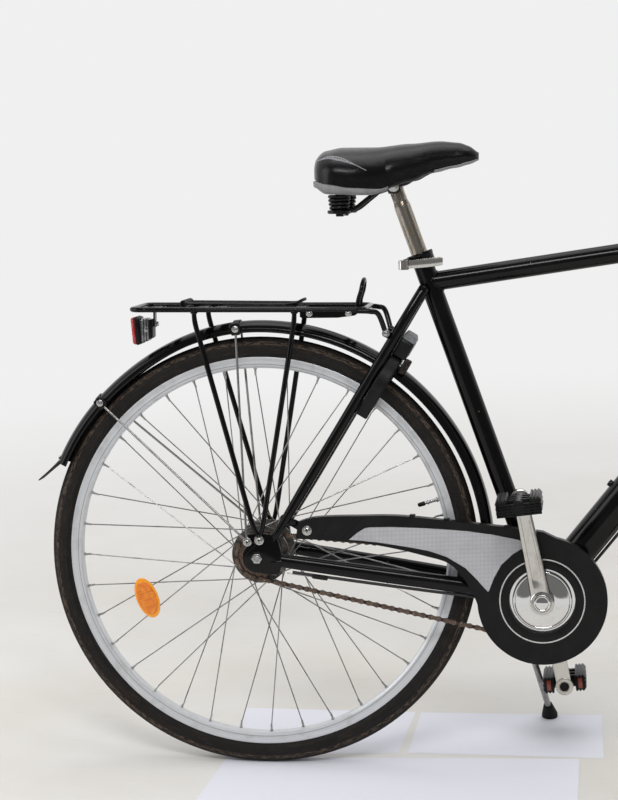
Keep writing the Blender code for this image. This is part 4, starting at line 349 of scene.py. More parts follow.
def bolt(spot, axis, radius, height, kind="hex"):
    """Head of a bolt on a washer, standing out along the axis."""
    axis = axis.normalized()
    washer = lathe([(0, 0), (radius * 1.5, 0), (radius * 1.5, height * 0.22),
        (radius * 1.42, height * 0.28), (0, height * 0.28)], spot, axis, 24)
    if kind == "hex":
        bar = tube([spot + axis * height * 0.25, spot + axis * height], radius, 6)
        return join(washer, rounded(bar, radius * 0.1, 2))
    outline = [(radius * r, height * h) for r, h in HEADS[kind]]
    return join(washer, lathe(outline, spot, axis, 24))


def slot_shade_bars(spot, axis, radius, height):
    """Two crossed slots in a screw's dome, drawn as dark bars: painted shade inside the slots."""
    bars = []
    for way in across(axis):
        side = axis.cross(way)
        bars.append(hull([spot + axis * height * a + way * radius * 0.52 * b + side * radius * 0.13 * c
            for a in (0.8, 1.03) for b in (-1, 1) for c in (-1, 1)]))
    return join(*bars)


def screw(name, slot_shade_name, spot, axis, radius, height):
    """A dome screw on the frame, with painted shade in its crossed slots."""
    solid(name, bolt(spot, axis, radius, height, "dome"), "zinc", "frame", angle=40)
    solid(slot_shade_name, slot_shade_bars(spot, axis, radius, height), "rubber", "frame")


def placed_in(name, data):
    """A new object in the scene, for a mesh, a curve, a light or a camera."""
    item = bpy.data.objects.new(name, data)
    bpy.context.scene.collection.objects.link(item)
    return item


def solid(name, shape, finish, body, replaces=None, angle=34.0, floor=False):
    """A piece from a shape in the bicycle's frame, riding on a CAD body."""
    corners, faces = shape
    mesh = bpy.data.meshes.new(name)
    placed = np.array([SETTLE @ Vector(c) for c in corners])
    if floor:
        placed[:, 2] = np.maximum(placed[:, 2], 0.0)
    mesh.from_pydata(placed.tolist(), [], [f for f in faces if len(set(f)) > 2])
    item = placed_in(name, mesh)
    tidy(mesh)
    return dress(item, finish, body, replaces, angle)


def tidy(mesh):
    work = bmesh.new()
    work.from_mesh(mesh)
    bmesh.ops.remove_doubles(work, verts=work.verts, dist=1e-6)
    bmesh.ops.recalc_face_normals(work, faces=work.faces)
    work.to_mesh(mesh)
    work.free()


def dress(item, finish, body, replaces=None, angle=34.0):
    mesh = item.data
    mesh.materials.clear()
    mesh.materials.append(FINISHES[finish])
    mesh.polygons.foreach_set("use_smooth", [True] * len(mesh.polygons))
    mesh.set_sharp_from_angle(angle=radians(angle))
    if isinstance(body, str):
        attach(item, body)
    else:
        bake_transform(item)
    if replaces:
        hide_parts(replaces)
    return item


def from_node(name, node, finish, body, width=0.0005, angle=34.0, segments=2, sharper=24.0):
    """A CAD node's own form with its edges rounded."""
    source = frame["nodes"][node].data
    work = bmesh.new()
    work.from_mesh(source)
    bmesh.ops.remove_doubles(work, verts=work.verts, dist=2e-6)
    bmesh.ops.dissolve_limit(work, angle_limit=radians(0.8), verts=work.verts, edges=work.edges)
    if width:
        sharp = [e for e in work.edges if len(e.link_faces) == 2 and e.calc_face_angle(0) > radians(
            sharper)]
        bmesh.ops.bevel(work, geom=sharp, offset=width, segments=segments, profile=0.5, affect="EDGES",
            clamp_overlap=True)
    bmesh.ops.triangulate(work, faces=[f for f in work.faces if len(f.verts) > 4])
    mesh = bpy.data.meshes.new(name)
    work.to_mesh(mesh)
    work.free()
    item = placed_in(name, mesh)
    return dress(item, finish, body, node, angle)


# Finishes: each is built from patterns whose sizes are in millimetres


def linear(colour):
    """An sRGB hex value as linear light."""
    out = []
    for k in (0, 2, 4):
        c = int(colour[k:k + 2], 16) / 255
        out.append(c / 12.92 if c <= 0.04045 else ((c + 0.055) / 1.055) ** 2.4)
    return (*out, 1.0)


def add(tree, kind, values=None, feeds=None):
    """Adds a node with its settings and its inputs' links. Shader nodes go by short names."""
    made = tree.nodes.new(kind if "Node" in kind else "ShaderNode" + kind)
    for key, value in (values or {}).items():
        if isinstance(key, int) or key in made.inputs:
            made.inputs[key].default_value = value
        else:
            setattr(made, key, value)
    for key, source in (feeds or {}).items():
        outlet = source.outputs[0] if isinstance(source, bpy.types.Node) else source
        tree.links.new(outlet, made.inputs[key])
    return made


def flat_vector(tree, centre):
    """Coordinates from a centre: forward, up in the bicycle's plane, and to its right."""
    where = add(tree, "TexCoord").outputs["Object"]
    return add(tree, "Mapping", {"vector_type": "TEXTURE", "Location": SETTLE @ centre,
        "Rotation": (pi / 2 - LEAN, 0, 0)}, {"Vector": where}).outputs["Vector"]


def wheel_vector(tree, centre):
    """Coordinates of a wheel: around its rim, across its radius, along its axle, in metres."""
    flat = flat_vector(tree, centre)
    parts = add(tree, "SeparateXYZ", feeds={"Vector": flat}).outputs
    level = add(tree, "CombineXYZ", feeds={"X": parts["X"], "Y": parts["Y"]})
    radius = add(tree, "VectorMath", {"operation": "LENGTH"}, {0: level}).outputs["Value"]
    turn = add(tree, "TexGradient", {"gradient_type": "RADIAL"}, {"Vector": level}).outputs["Fac"]
    around = add(tree, "Math", {"operation": "MULTIPLY", 1: TAU * 0.34}, {0: turn})
    return add(tree, "CombineXYZ", feeds={"X": around, "Y": radius, "Z": parts["Z"]}).outputs[0]


def times(tree, one, other):
    return add(tree, "Math", {"operation": "MULTIPLY"}, {0: one, 1: other}).outputs[0]


def ring_band(tree, ring, low, high, grain):
    """A mask between two radii in millimetres, broken up by a grain."""
    radius = add(tree, "SeparateXYZ", feeds={"Vector": ring}).outputs["Y"]
    mask = None
    for start, end in ((low - 0.4, low + 0.4), (high + 0.4, high - 0.4)):
        edge = add(tree, "MapRange", {"From Min": start * MM, "From Max": end * MM},
            {"Value": radius}).outputs["Result"]
        mask = edge if mask is None else times(tree, mask, edge)
    if grain:
        mask = times(tree, mask, pattern(tree, ring, "noise", grain, 0.42, 0.62))
    return mask


def pattern(tree, where, kind, size, low, high, turn=(0, 0, 0), detail=3.0):
    """A mask from 0 to 1 of a pattern whose grain is the given size in millimetres."""
    if kind == "band":
        return ring_band(tree, where, low, high, size)
    if kind == "printed dots":
        where = flat_vector(tree, AXLE)
    sizes = size if isinstance(size, tuple) else (size, size, size)
    scaled = add(tree, "Mapping", {"Rotation": turn, "Scale": [1000.0 / s for s in sizes]},
        {"Vector": where})
    vector = scaled.outputs["Vector"]
    if kind == "noise":
        value = add(tree, "TexNoise", {"Scale": 1.0, "Detail": detail, "Roughness": 0.6},
            {"Vector": vector})
        value = value.outputs["Fac"]
    elif kind == "cells":
        value = add(tree, "TexVoronoi", {"Scale": 1.0}, {"Vector": vector})
        value = value.outputs["Distance"]
    elif kind.endswith("dots"):
        value = add(tree, "TexVoronoi", {"Scale": 1.0, "Randomness": 0.0, "voronoi_dimensions": "2D"
            if kind == "printed dots" else "3D"}, {"Vector": vector}).outputs["Distance"]
    else:
        value = add(tree, "TexWave", {"Scale": 1.0, "bands_direction": kind[-1]},
            {"Vector": vector}).outputs["Fac"]
    return add(tree, "MapRange", {"From Min": low, "From Max": high},
        {"Value": value}).outputs["Result"]


FINISHES, SLOTS = {}, {}


def make_finish(key, slot, name, colour, rough, metal, layers=(), bumps=(), wheel=None, **sockets):
    """Layers are (kind, size, low, high, colour, share, roughness), laid over each other.
    Bumps are (kind, size, low, high, height in millimetres)."""
    skin = bpy.data.materials.new(name)
    skin.use_nodes = True
    tree = skin.node_tree
    shader = tree.nodes["Principled BSDF"]
    place = add(tree, "TexCoord").outputs["Object"]
    ring = wheel_vector(tree, wheel) if wheel is not None else place
    paint = add(tree, "RGB")
    paint.outputs[0].default_value = linear(colour)
    paint = paint.outputs[0]
    gloss = None

    def mask_of(kind, size, low, high):
        turned = kind.startswith("ring ")
        return pattern(tree, ring if turned else place, kind.replace("ring ", ""), size, low, high)

    for kind, size, low, high, over, share, matt in layers:
        mask = mask_of(kind, size, low, high)
        part = add(tree, "Math", {"operation": "MULTIPLY", 1: share}, {0: mask})
        paint = add(tree, "MixRGB", {"Color2": linear(over)},
            {"Fac": part, "Color1": paint}).outputs["Color"]
        mix = add(tree, "MapRange", {"To Min": rough, "To Max": matt}, {"Value": part})
        if gloss is None:
            gloss = mix.outputs["Result"]
        else:
            gloss = add(tree, "Math", {"operation": "MAXIMUM" if matt > rough else "MINIMUM"},
                {0: gloss, 1: mix.outputs["Result"]}).outputs[0]
    if layers:
        tree.links.new(paint, shader.inputs["Base Color"])
        tree.links.new(gloss, shader.inputs["Roughness"])
    else:
        shader.inputs["Base Color"].default_value = linear(colour)
        shader.inputs["Roughness"].default_value = rough
    shader.inputs["Metallic"].default_value = metal
    normal = None
    for kind, size, low, high, height in bumps:
        feeds = {"Height": mask_of(kind, size, low, high)}
        if normal is not None:
            feeds["Normal"] = normal
        normal = add(tree, "Bump", {"Distance": height * MM, "Strength": 1.0}, feeds).outputs["Normal"]
    if normal is not None:
        tree.links.new(normal, shader.inputs["Normal"])
    for socket, value in sockets.items():
        shader.inputs[socket.replace("_", " ")].default_value = value
    FINISHES[key], SLOTS[key] = skin, slot


# Stove enamel on steel tube: deep black, mirror-like, with dust, scuffs and a few chips
ENAMEL = [("noise", 60, 0.5, 0.8, "1b1917", 0.35, 0.26),
          ("noise", (3, 3, 40), 0.68, 0.76, "3a342e", 0.25, 0.45),
          ("cells", 26, 0.05, 0.02, "6a5a4a", 0.8, 0.6)]
# Moulded black ABS and polypropylene: an even fine grain that breaks up the shine
MOULDED = [("noise", 45, 0.4, 0.75, "1e1d1c", 0.5, 0.52),
           ("noise", 4, 0.62, 0.82, "302e2b", 0.3, 0.6)]
# Old tyre rubber: brown-black, dusty, with cracked and worn flanks
TYRE = [("noise", 35, 0.4, 0.75, "231f1c", 0.7, 0.85),
        ("ring noise", (30, 3, 3), 0.55, 0.76, "41362d", 0.45, 0.9),
        ("ring noise", (400, 0.9, 9), 0.5, 0.72, "2b2521", 0.55, 0.8),
        ("ring band", (9, 2.4, 9), 335.5, 341.5, "6b5a4c", 0.55, 0.95),
        ("noise", 5, 0.64, 0.82, "54493e", 0.35, 0.92)]
# Drawn aluminium rim: light grey, brushed round the wheel, with brake and road dirt
RIM = [("ring noise", (60, 1.2, 4), 0.4, 0.8, "a8a9ab", 0.45, 0.4),
       ("noise", 25, 0.52, 0.78, "86827c", 0.35, 0.5),
       # Painted shade: a dark grey line 303.9 to 304.9 mm from the axle, for the shade in the rim's
       # shallow groove
       ("ring band", None, 303.9, 304.9, "6d6c6a", 0.8, 0.6)]
# Old bare steel: brown rust over dark metal, rough and uneven
RUST = [("noise", 6, 0.35, 0.65, "786558", 0.8, 0.7),
        ("noise", 2.2, 0.5, 0.7, "2e231d", 0.8, 0.75),
        ("noise", 3.5, 0.56, 0.72, "b3a89f", 0.5, 0.42)]
# Buffed alloy: nearly a mirror, with fine scratches and dull spots
BUFFED = [("noise", (1.0, 1.0, 22), 0.58, 0.7, "a8a29a", 0.45, 0.3),
          ("noise", 30, 0.5, 0.75, "8f877c", 0.35, 0.32)]
# Saddle vinyl: fine leather grain with worn shiny places
VINYL = [("noise", 40, 0.45, 0.78, "120f0e", 0.6, 0.22),
         ("noise", 8, 0.62, 0.8, "231d1a", 0.3, 0.4)]

# Frame, rack and mudguards: stove enamel, deep black and mirror-like
make_finish("enamel", "gloss_black_paint", "gloss_black_stove_enamel", "060607", 0.14, 0.0, ENAMEL,
    [("noise", 30, 0.3, 0.7, 0.08)], Specular_IOR_Level=0.22)
# Guard, lock, pedals and levers: moulded black plastic with a fine even grain
make_finish("abs", "satin_black_plastic", "moulded_black_abs", "0d0d0e", 0.38, 0.0, MOULDED,
    [("noise", 0.9, 0.3, 0.7, 0.04)], Specular_IOR_Level=0.22)
# Lock's cap: grey nylon, matt, with darker handled patches
make_finish("lock_cap", "satin_black_plastic", "moulded_grey_nylon", "6e6f72", 0.48, 0.0,
    [("noise", 12, 0.4, 0.7, "4a4a4c", 0.5, 0.6)], [("noise", 1.0, 0.3, 0.7, 0.04)])
# Lock's lever: brown-black nylon, dull where a thumb pushes it
make_finish("lock_lever", "satin_black_plastic", "worn_brown_black_nylon", "17110e", 0.42, 0.0,
    [("noise", 9, 0.45, 0.7, "2e231d", 0.6, 0.6)], [("noise", 1.0, 0.3, 0.7, 0.04)],
    Specular_IOR_Level=0.3)
# Panel on the chain guard: printed film, light dots on grey, a little dusty
make_finish("panel", "satin_black_plastic", "screen_printed_dot_film", "8b8b8e", 0.42, 0.0,
    [("printed dots", 2.1, 0.46, 0.26, "cfcfd3", 0.8, 0.36),
    ("noise", 50, 0.45, 0.75, "77726e", 0.35, 0.5)])
# Ring on the chain guard: thin silver foil with dull spots
make_finish("foil", "satin_black_plastic", "hot_stamped_silver_foil", "d2d2d0", 0.24, 0.75,
    [("noise", 9, 0.5, 0.75, "a9a8a4", 0.6, 0.4)])
# Tyres and rims, once for each wheel, because their wear runs round its axle
for ahead, tail, axle in (("", "", AXLE), ("front_", "_front", FRONT_AXLE)):
    make_finish(ahead + "tyre", "aged_tyre", "aged_tyre_rubber" + tail, "131110", 0.72, 0.0, TYRE,
        [("ring noise", (2.2, 9, 9), 0.35, 0.65, 0.5), ("noise", 3, 0.3, 0.7, 0.25)], wheel=axle,
        Specular_IOR_Level=0.25)
    make_finish(ahead + "rim", "polished_alloy", "brushed_rim_aluminium" + tail, "cfd1d4", 0.3, 0.4,
        RIM, [], wheel=axle)

# Spokes and mudguard stays: drawn stainless wire with grey tarnish
make_finish("spoke", "satin_alloy", "drawn_stainless_wire", "9a9998", 0.32, 0.9,
    [("noise", 30, 0.5, 0.7, "4a4643", 0.7, 0.5)])
# Hub shells and chainring teeth: cast alloy under dark oily grime
make_finish("hub", "satin_alloy", "cast_hub_alloy", "6f6d69", 0.34, 0.9,
    [("noise", 14, 0.38, 0.62, "37312b", 0.85, 0.6), ("noise", 3, 0.55, 0.72, "1f1b18", 0.7, 0.8)],
    [("noise", 2, 0.3, 0.7, 0.06)])
# Outer links and sprocket: bare steel, rough and brown with rust
make_finish("rust", "rusty_steel", "rusty_chain_steel", "57473e", 0.55, 0.6, RUST,
    [("noise", 1.2, 0.35, 0.65, 0.15)])
# Inner links: darker steel, painted shade where they sit deep between the outer plates, with rusty
# spots
make_finish("inner_link_shade", "rusty_steel", "shaded_inner_link_steel", "3a302a", 0.45, 0.5,
    [("noise", 5, 0.4, 0.68, "1d1714", 0.8, 0.6), ("noise", 3, 0.6, 0.76, "7a6455", 0.5, 0.7)],
    [("noise", 1.2, 0.35, 0.65, 0.15)])
# Cranks and clamp lever: buffed forged alloy, nearly a mirror
make_finish("crank", "polished_alloy", "buffed_forged_alloy", "c9c6c0", 0.16, 1.0, BUFFED)
# Chainring, dust caps and lock bolt: chrome plate with a faint haze
make_finish("chrome", "chrome", "chrome_plate", "d8d8d6", 0.06, 1.0,
    [("noise", 16, 0.6, 0.78, "9b9486", 0.5, 0.22)])
# Seat post: polished steel with brown streaks along it
make_finish("post", "steel", "polished_post_steel", "a9a49c", 0.2, 1.0,
    [("noise", (4, 4, 70), 0.45, 0.68, "8a6d45", 0.8, 0.34),
    ("noise", 2.4, 0.58, 0.72, "4a3a2a", 0.6, 0.5)])
# Nuts, bolts and nipples: bright zinc plate, spotted grey
make_finish("zinc", "steel", "bright_zinc_plate", "b9b9b8", 0.26, 1.0,
    [("noise", 5, 0.5, 0.72, "7c766c", 0.6, 0.45)])
# Saddle cover: black grained vinyl, shiny where it is worn
make_finish("vinyl", "black_vinyl", "grained_saddle_vinyl", "060506", 0.24, 0.0, VINYL,
    [("cells", 1.5, 0.0, 0.6, 0.1), ("noise", 12, 0.3, 0.7, 0.25)], Specular_IOR_Level=0.26)
# Saddle base, both ends: grey polypropylene, matt and a little dirty
make_finish("trim", "grey_plastic", "moulded_grey_polypropylene", "808082", 0.5, 0.0,
    [("noise", 20, 0.42, 0.72, "5a5856", 0.5, 0.6)], [("noise", 1.1, 0.3, 0.7, 0.06)])
# Saddle's side inset: smooth grey vinyl with faint stains
make_finish("piping", "black_vinyl", "grey_vinyl_piping", "77767a", 0.42, 0.0,
    [("noise", 6, 0.45, 0.7, "59585a", 0.5, 0.5)])
# Saddle wires, springs and rack clip: glossy black dip coat
make_finish("wire", "black_wire", "black_dipped_wire", "0a0a0b", 0.26, 0.0,
    [("noise", 7, 0.55, 0.75, "2a2622", 0.5, 0.5)], Specular_IOR_Level=0.25)
# Grips, stand's boot and mud flap: matt black rubber, dusty in patches
make_finish("rubber", "black_rubber", "moulded_black_rubber", "101011", 0.66, 0.0,
    [("noise", 15, 0.42, 0.75, "242220", 0.5, 0.8)], [("noise", 1.4, 0.3, 0.7, 0.1)],
    Specular_IOR_Level=0.25)
# Stem and bar: satin anodised alloy with duller patches
make_finish("alloy", "satin_alloy", "satin_anodised_alloy", "b4b4b3", 0.34, 0.95,
    [("noise", 22, 0.45, 0.72, "8d8a85", 0.5, 0.45)])
# Side stand: cast alloy, greyer and rougher, with dirt
make_finish("stand", "satin_alloy", "cast_stand_alloy", "a5a4a1", 0.4, 0.9,
    [("noise", 9, 0.45, 0.72, "6d6860", 0.6, 0.6)], [("noise", 1.6, 0.3, 0.7, 0.05)])
# Rear lamp's lens: red acrylic over moulded prisms
make_finish("lens", "red_lens", "tail_lamp_acrylic", "b01018", 0.12, 0.0,
    [("noise", 9, 0.4, 0.7, "7a0a10", 0.5, 0.2)], [("dots", 3.2, 0.1, 0.6, 0.5)], Coat_Weight=0.7,
    Coat_Roughness=0.05, Transmission_Weight=0.15)
# Spoke reflector's lens: amber acrylic over moulded prisms
make_finish("amber", "orange_reflector", "amber_reflector_acrylic", "dc7405", 0.16, 0.0,
    [("dots", 2.6, 0.15, 0.55, "c96404", 0.6, 0.2), ("noise", 7, 0.45, 0.7, "f2a01c", 0.5, 0.2)],
    [("dots", 2.6, 0.1, 0.6, 0.5)], Coat_Weight=0.6, Coat_Roughness=0.08)
# Spoke reflector's shell: smooth, lighter amber acrylic
make_finish("amber_body", "orange_reflector", "amber_reflector_shell", "ee960f", 0.22, 0.0,
    [("noise", 5, 0.45, 0.7, "e08f10", 0.5, 0.3)], [], Coat_Weight=0.5, Coat_Roughness=0.08)
# Pedal reflectors: dark amber acrylic, dulled by dirt
make_finish("pedal_lens", "orange_reflector", "dark_amber_pedal_reflector", "8a2e06", 0.24, 0.0,
    [("dots", 2.6, 0.15, 0.55, "7a2a08", 0.6, 0.25)], [], Coat_Weight=0.5, Coat_Roughness=0.08)
# Lamp's housing: smoked acrylic with fine ribs inside
make_finish("clear", "red_lens", "smoked_lamp_acrylic", "8f9092", 0.14, 0.3,
    [("noise", 9, 0.4, 0.7, "4e4f52", 0.7, 0.25)], [("wave X", 5, 0.2, 0.8, 0.3)], Coat_Weight=0.6,
    Coat_Roughness=0.05)


# Camera, light and floor

# Where the camera stands, how it is turned and how far it sees, fitted to the photograph
CAMERA_SPOT = vec(0.521089266, -3.52574878, 0.609920204)
CAMERA_TURN = vec(0.102523507, 0.125058787, -0.00199417694)
CAMERA_LENS, SENSOR_WIDTH, FAR = 100.04, 36, 60


def make_camera():
    data = bpy.data.cameras.new("camera")
    data.sensor_width, data.lens, data.clip_end = SENSOR_WIDTH, CAMERA_LENS, FAR
    camera = placed_in("camera", data)
    facing = Matrix.Rotation(CAMERA_TURN.length, 3, CAMERA_TURN.normalized())
    rows = facing @ Matrix(((1, 0, 0), (0, 0, -1), (0, 1, 0)))
    turned = Matrix((rows[0], -rows[1], -rows[2])).transposed().to_4x4()
    turned.translation = CAMERA_SPOT
    camera.matrix_world = SETTLE @ turned
    bpy.context.scene.camera = camera


# Share of the room's light on the camera's side, where mirrors look
ROOM_DIM = 0.22


def make_world():
    """Bright behind the bicycle, dimmer where mirrors look towards the camera."""
    world = bpy.data.worlds.new("studio")
    bpy.context.scene.world = world
    world.use_nodes = True
    tree = world.node_tree
    tree.nodes.clear()
    path = add(tree, "LightPath").outputs
    fill = add(tree, "Background", {"Color": linear("ffffff"), "Strength": 0.62})
    seen = add(tree, "Background", {"Color": linear("f0f0f0"), "Strength": 1.0})
    way = add(tree, "SeparateXYZ", feeds={"Vector": add(tree,
        "TexCoord").outputs["Generated"]}).outputs["Y"]
    room = add(tree, "MapRange", {"From Min": -0.35, "From Max": 0.35, "To Min": ROOM_DIM,
        "To Max": 1.0, "interpolation_type": "SMOOTHSTEP"}, {"Value": way}).outputs["Result"]
    back = add(tree, "Background", {"Color": linear("f0f0f0")}, {"Strength": room})
    clear = add(tree, "Math", {"operation": "MAXIMUM"},
        {0: path["Is Camera Ray"], 1: path["Is Transmission Ray"]})
    mix = add(tree, "MixShader", feeds={"Fac": clear, 1: fill, 2: seen})
    mix = add(tree, "MixShader", feeds={"Fac": path["Is Glossy Ray"], 1: mix, 2: back})
    add(tree, "OutputWorld", feeds={"Surface": mix})


def make_light(name, spot, aim, size, power):
    data = bpy.data.lights.new(name, "AREA")
    data.shape = "RECTANGLE"
    data.size, data.size_y = size
    data.energy = power
    lamp = placed_in(name, data)
    lamp.location = spot
    lamp.rotation_euler = (Vector(aim) - Vector(spot)).to_track_quat("-Z", "Y").to_euler()


def stage_sheet(name, corners, material_made):
    mesh = bpy.data.meshes.new(name)
    mesh.from_pydata([tuple(c) for c in corners], [], [tuple(range(len(corners)))])
    item = placed_in(name, mesh)
    mesh.materials.append(material_made)


def make_floor():
    """A pale floor that fades into the backdrop's white with distance."""
    skin = bpy.data.materials.new("studio_floor_paint")
    skin.use_nodes = True
    tree = skin.node_tree
    shader = tree.nodes["Principled BSDF"]
    where = add(tree, "TexCoord").outputs["Object"]
    patches = pattern(tree, where, "noise", 420, 0.35, 0.7)
    scuffs = pattern(tree, where, "noise", (60, 14, 14), 0.6, 0.8)
    tone = add(tree, "MixRGB", {"Color1": linear("dddbd8"), "Color2": linear("d4d0c9")},
        {"Fac": patches}).outputs["Color"]
    part = add(tree, "Math", {"operation": "MULTIPLY", 1: 0.25}, {0: scuffs})
    tone = add(tree, "MixRGB", {"Color2": linear("b9b3a9")},
        {"Fac": part, "Color1": tone}).outputs["Color"]
    tree.links.new(tone, shader.inputs["Base Color"])
    shader.inputs["Roughness"].default_value = 0.75
    glow = add(tree, "Emission", {"Color": linear("f0f0f0"), "Strength": 1.0})
    span = add(tree, "VectorMath", {"operation": "LENGTH"}, {0: where})
    far = add(tree, "MapRange", {"From Min": 0.7, "From Max": 3.0, "interpolation_type": "SMOOTHSTEP"},
        {"Value": span.outputs["Value"]})
    mix = add(tree, "MixShader", feeds={"Fac": far.outputs["Result"], 1: shader, 2: glow})
    tree.links.new(mix.outputs[0], tree.nodes["Material Output"].inputs["Surface"])
    rim = [(9 * cos(TAU * k / 48), 9 * sin(TAU * k / 48), 0) for k in range(48)]
    stage_sheet("floor", rim, skin)
    paper = bpy.data.materials.new("plain_white_paper")
    paper.use_nodes = True
    paper.node_tree.nodes["Principled BSDF"].inputs["Base Color"].default_value = linear("dfdfe8")
    paper.node_tree.nodes["Principled BSDF"].inputs["Roughness"].default_value = 0.8
    for k, corners in enumerate(PAPERS):
        stage_sheet("paper_" + str(k + 1), [(x, y, 0.0002 + 0.0001 * k) for x, y in corners], paper)


# Sheets of white paper on the floor under the wheel and the stand, as in the photograph
PAPERS = (((-0.592, 0.09), (-0.297, 0.088), (-0.311, -0.1), (-0.59, -0.13)),
          ((-0.287, 0.086), (0.022, 0.092), (0.024, -0.102), (-0.295, -0.1)),
          ((-0.59, -0.134), (-0.015, -0.108), (-0.02, -0.56), (-0.64, -0.56)))

bpy.context.scene.view_settings.view_transform = "Standard"
make_camera()
make_world()
make_floor()
make_light("key", (-0.3, -2.6, 3.0), (0.0, 0.0, 0.4), (2.0, 0.6), 46)
make_light("top", (0.1, 0.4, 3.2), (0.0, 0.0, 0.3), (3.0, 2.0), 34)
make_light("side", (-3.0, -1.0, 1.6), (-0.3, 0.0, 0.5), (1.4, 2.2), 22)

# Geometry Nodes trees for what repeats

SPIN = Matrix(((1, 0, 0, 0), (0, 0, -1, 0), (0, 1, 0, 0), (0, 0, 0, 1)))


def new_tree(name, inputs):
    tree = bpy.data.node_groups.new(name, "GeometryNodeTree")
    tree.interface.new_socket(name="Geometry", in_out="INPUT", socket_type="NodeSocketGeometry")
    for label, kind in inputs:
        tree.interface.new_socket(name=label, in_out="INPUT", socket_type="NodeSocket" + kind)
    tree.interface.new_socket(name="Geometry", in_out="OUTPUT", socket_type="NodeSocketGeometry")
    return tree, add(tree, "NodeGroupInput").outputs


def end_tree(tree, copies, given):
    real = add(tree, "GeometryNodeRealizeInstances", feeds={"Geometry": copies})
    inked = add(tree, "GeometryNodeSetMaterial", feeds={"Geometry": real, "Material": given["Finish"]})
    add(tree, "NodeGroupOutput", feeds={"Geometry": inked})


def ring_tree():
    """Copies of an item round a circle, each with its X axis pointing outwards."""
    tree, given = new_tree("copies_round_a_wheel", (("Count", "Int"), ("Radius", "Float"),
        ("Phase", "Float"), ("Item", "Object"), ("Finish", "Material")))
    circle = add(tree, "GeometryNodeMeshCircle", feeds={"Vertices": given["Count"],
        "Radius": given["Radius"]})
    spot = add(tree, "GeometryNodeInputPosition").outputs[0]
    turn = add(tree, "FunctionNodeAlignRotationToVector", {"axis": "X", "pivot_axis": "Z"},
        {"Vector": spot}).outputs[0]
    item = add(tree, "GeometryNodeObjectInfo", feeds={"Object": given["Item"]})
    copies = add(tree, "GeometryNodeInstanceOnPoints", feeds={"Points": circle,
        "Instance": item.outputs["Geometry"], "Rotation": turn})
    phase = add(tree, "CombineXYZ", feeds={"Z": given["Phase"]})
    turned = add(tree, "GeometryNodeTransform", feeds={"Geometry": copies, "Rotation": phase})
    end_tree(tree, turned.outputs[0], given)
    return tree


def path_tree():
    """Two kinds of item in turn along a closed curve, each pointing along it."""
    tree, given = new_tree("links_along_a_loop", (("Count", "Int"), ("Even Item", "Object"),
        ("Odd Item", "Object"), ("Finish", "Material")))
    line = add(tree, "GeometryNodeMeshToCurve", feeds={"Mesh": given["Geometry"]})
    points = add(tree, "GeometryNodeCurveToPoints", {"mode": "COUNT"},
        {"Curve": line, "Count": given["Count"]})
    turn = add(tree, "FunctionNodeAlignRotationToVector", {"axis": "X", "pivot_axis": "Z"},
        {"Vector": points.outputs["Tangent"]}).outputs[0]
    index = add(tree, "GeometryNodeInputIndex").outputs[0]
    odd = add(tree, "Math", {"operation": "MODULO", 1: 2.0}, {0: index}).outputs[0]
    even = add(tree, "Math", {"operation": "SUBTRACT", 0: 1.0}, {1: odd}).outputs[0]
    whole = add(tree, "GeometryNodeJoinGeometry")
    for label, chosen in (("Even Item", even), ("Odd Item", odd)):
        item = add(tree, "GeometryNodeObjectInfo", feeds={"Object": given[label]})
        copies = add(tree, "GeometryNodeInstanceOnPoints",
            feeds={"Points": points.outputs["Points"], "Instance": item.outputs["Geometry"],
            "Rotation": turn, "Selection": chosen})
        tree.links.new(copies.outputs[0], whole.inputs[0])
    end_tree(tree, whole.outputs[0], given)
    return tree


def grow(name, tree, values, base=None):
    """Runs a tree with its inputs set and returns the plain mesh it makes."""
    carrier = placed_in(name + "_maker", base or bpy.data.meshes.new(name + "_base"))
    maker = carrier.modifiers.new("maker", "NODES")
    maker.node_group = tree
    for socket in tree.interface.items_tree:
        if socket.in_out == "INPUT" and socket.name in values:
            maker[socket.identifier] = values[socket.name]
    graph = bpy.context.evaluated_depsgraph_get()
    mesh = bpy.data.meshes.new_from_object(carrier.evaluated_get(graph))
    bpy.data.objects.remove(carrier)
    mesh.name = name
    return mesh


def item_of(name, shape):
    mesh = bpy.data.meshes.new(name)
    mesh.from_pydata([tuple(c) for c in shape[0]], [], shape[1])
    tidy(mesh)
    return bpy.data.objects.new(name, mesh)


def settle_mesh(name, mesh, centre, finish, body, replaces=None, angle=34.0):
    """Places a tree's mesh, whose Z axis is the wheel's axle, and rides it on a body."""
    mesh.transform(SETTLE @ Matrix.Translation(centre) @ SPIN)
    item = placed_in(name, mesh)
    return dress(item, finish, body, replaces, angle)


def round_wheel(name, shape, centre, count, radius, phase, finish, body, replaces=None, angle=34.0):
    """Copies of a shape round a wheel. The shape's X points outwards and Z to the right."""
    item = item_of(name + "_item", shape)
    mesh = grow(name, RING, {"Count": count, "Radius": radius, "Phase": radians(phase), "Item": item,
        "Finish": FINISHES[finish]})
    bpy.data.objects.remove(item)
    return settle_mesh(name, mesh, centre, finish, body, replaces, angle)


RING = ring_tree()
LOOP = path_tree()


# Wheels


def half_loop(side):
    return side + [(r, -y) for r, y in reversed(side) if abs(y) > 1e-9]


TYRE_SIDE = mm([(314, 10.2), (314.6, 11.8), (317.2, 13.1), (320.5, 16), (322.2, 17.1), (322.8, 17.8),
    (324, 17.8), (327.5, 18.4), (331, 18.5), (334.5, 18), (336.2, 17.4), (337, 17.7), (338.4, 17),
    (340.5, 15.8), (342.8, 13.8), (345, 11), (346.2, 8.8), (345.6, 8.2), (345.8, 7), (347, 6.2),
    (347.6, 3.6), (347, 3), (347.1, 1.9), (347.9, 1.1), (348, 0)])
RIM_SIDE = mm([(310, 0), (310.2, 8), (312, 10.6), (316, 10.8), (317.2, 11.4), (317, 12.2),
    (315.8, 12.6), (314, 12.2), (312, 12.4), (306, 12.5), (305, 12.2), (304, 12.4), (301.2, 12.1),
    (299, 10.2), (297.9, 6.2), (297.5, 0)])


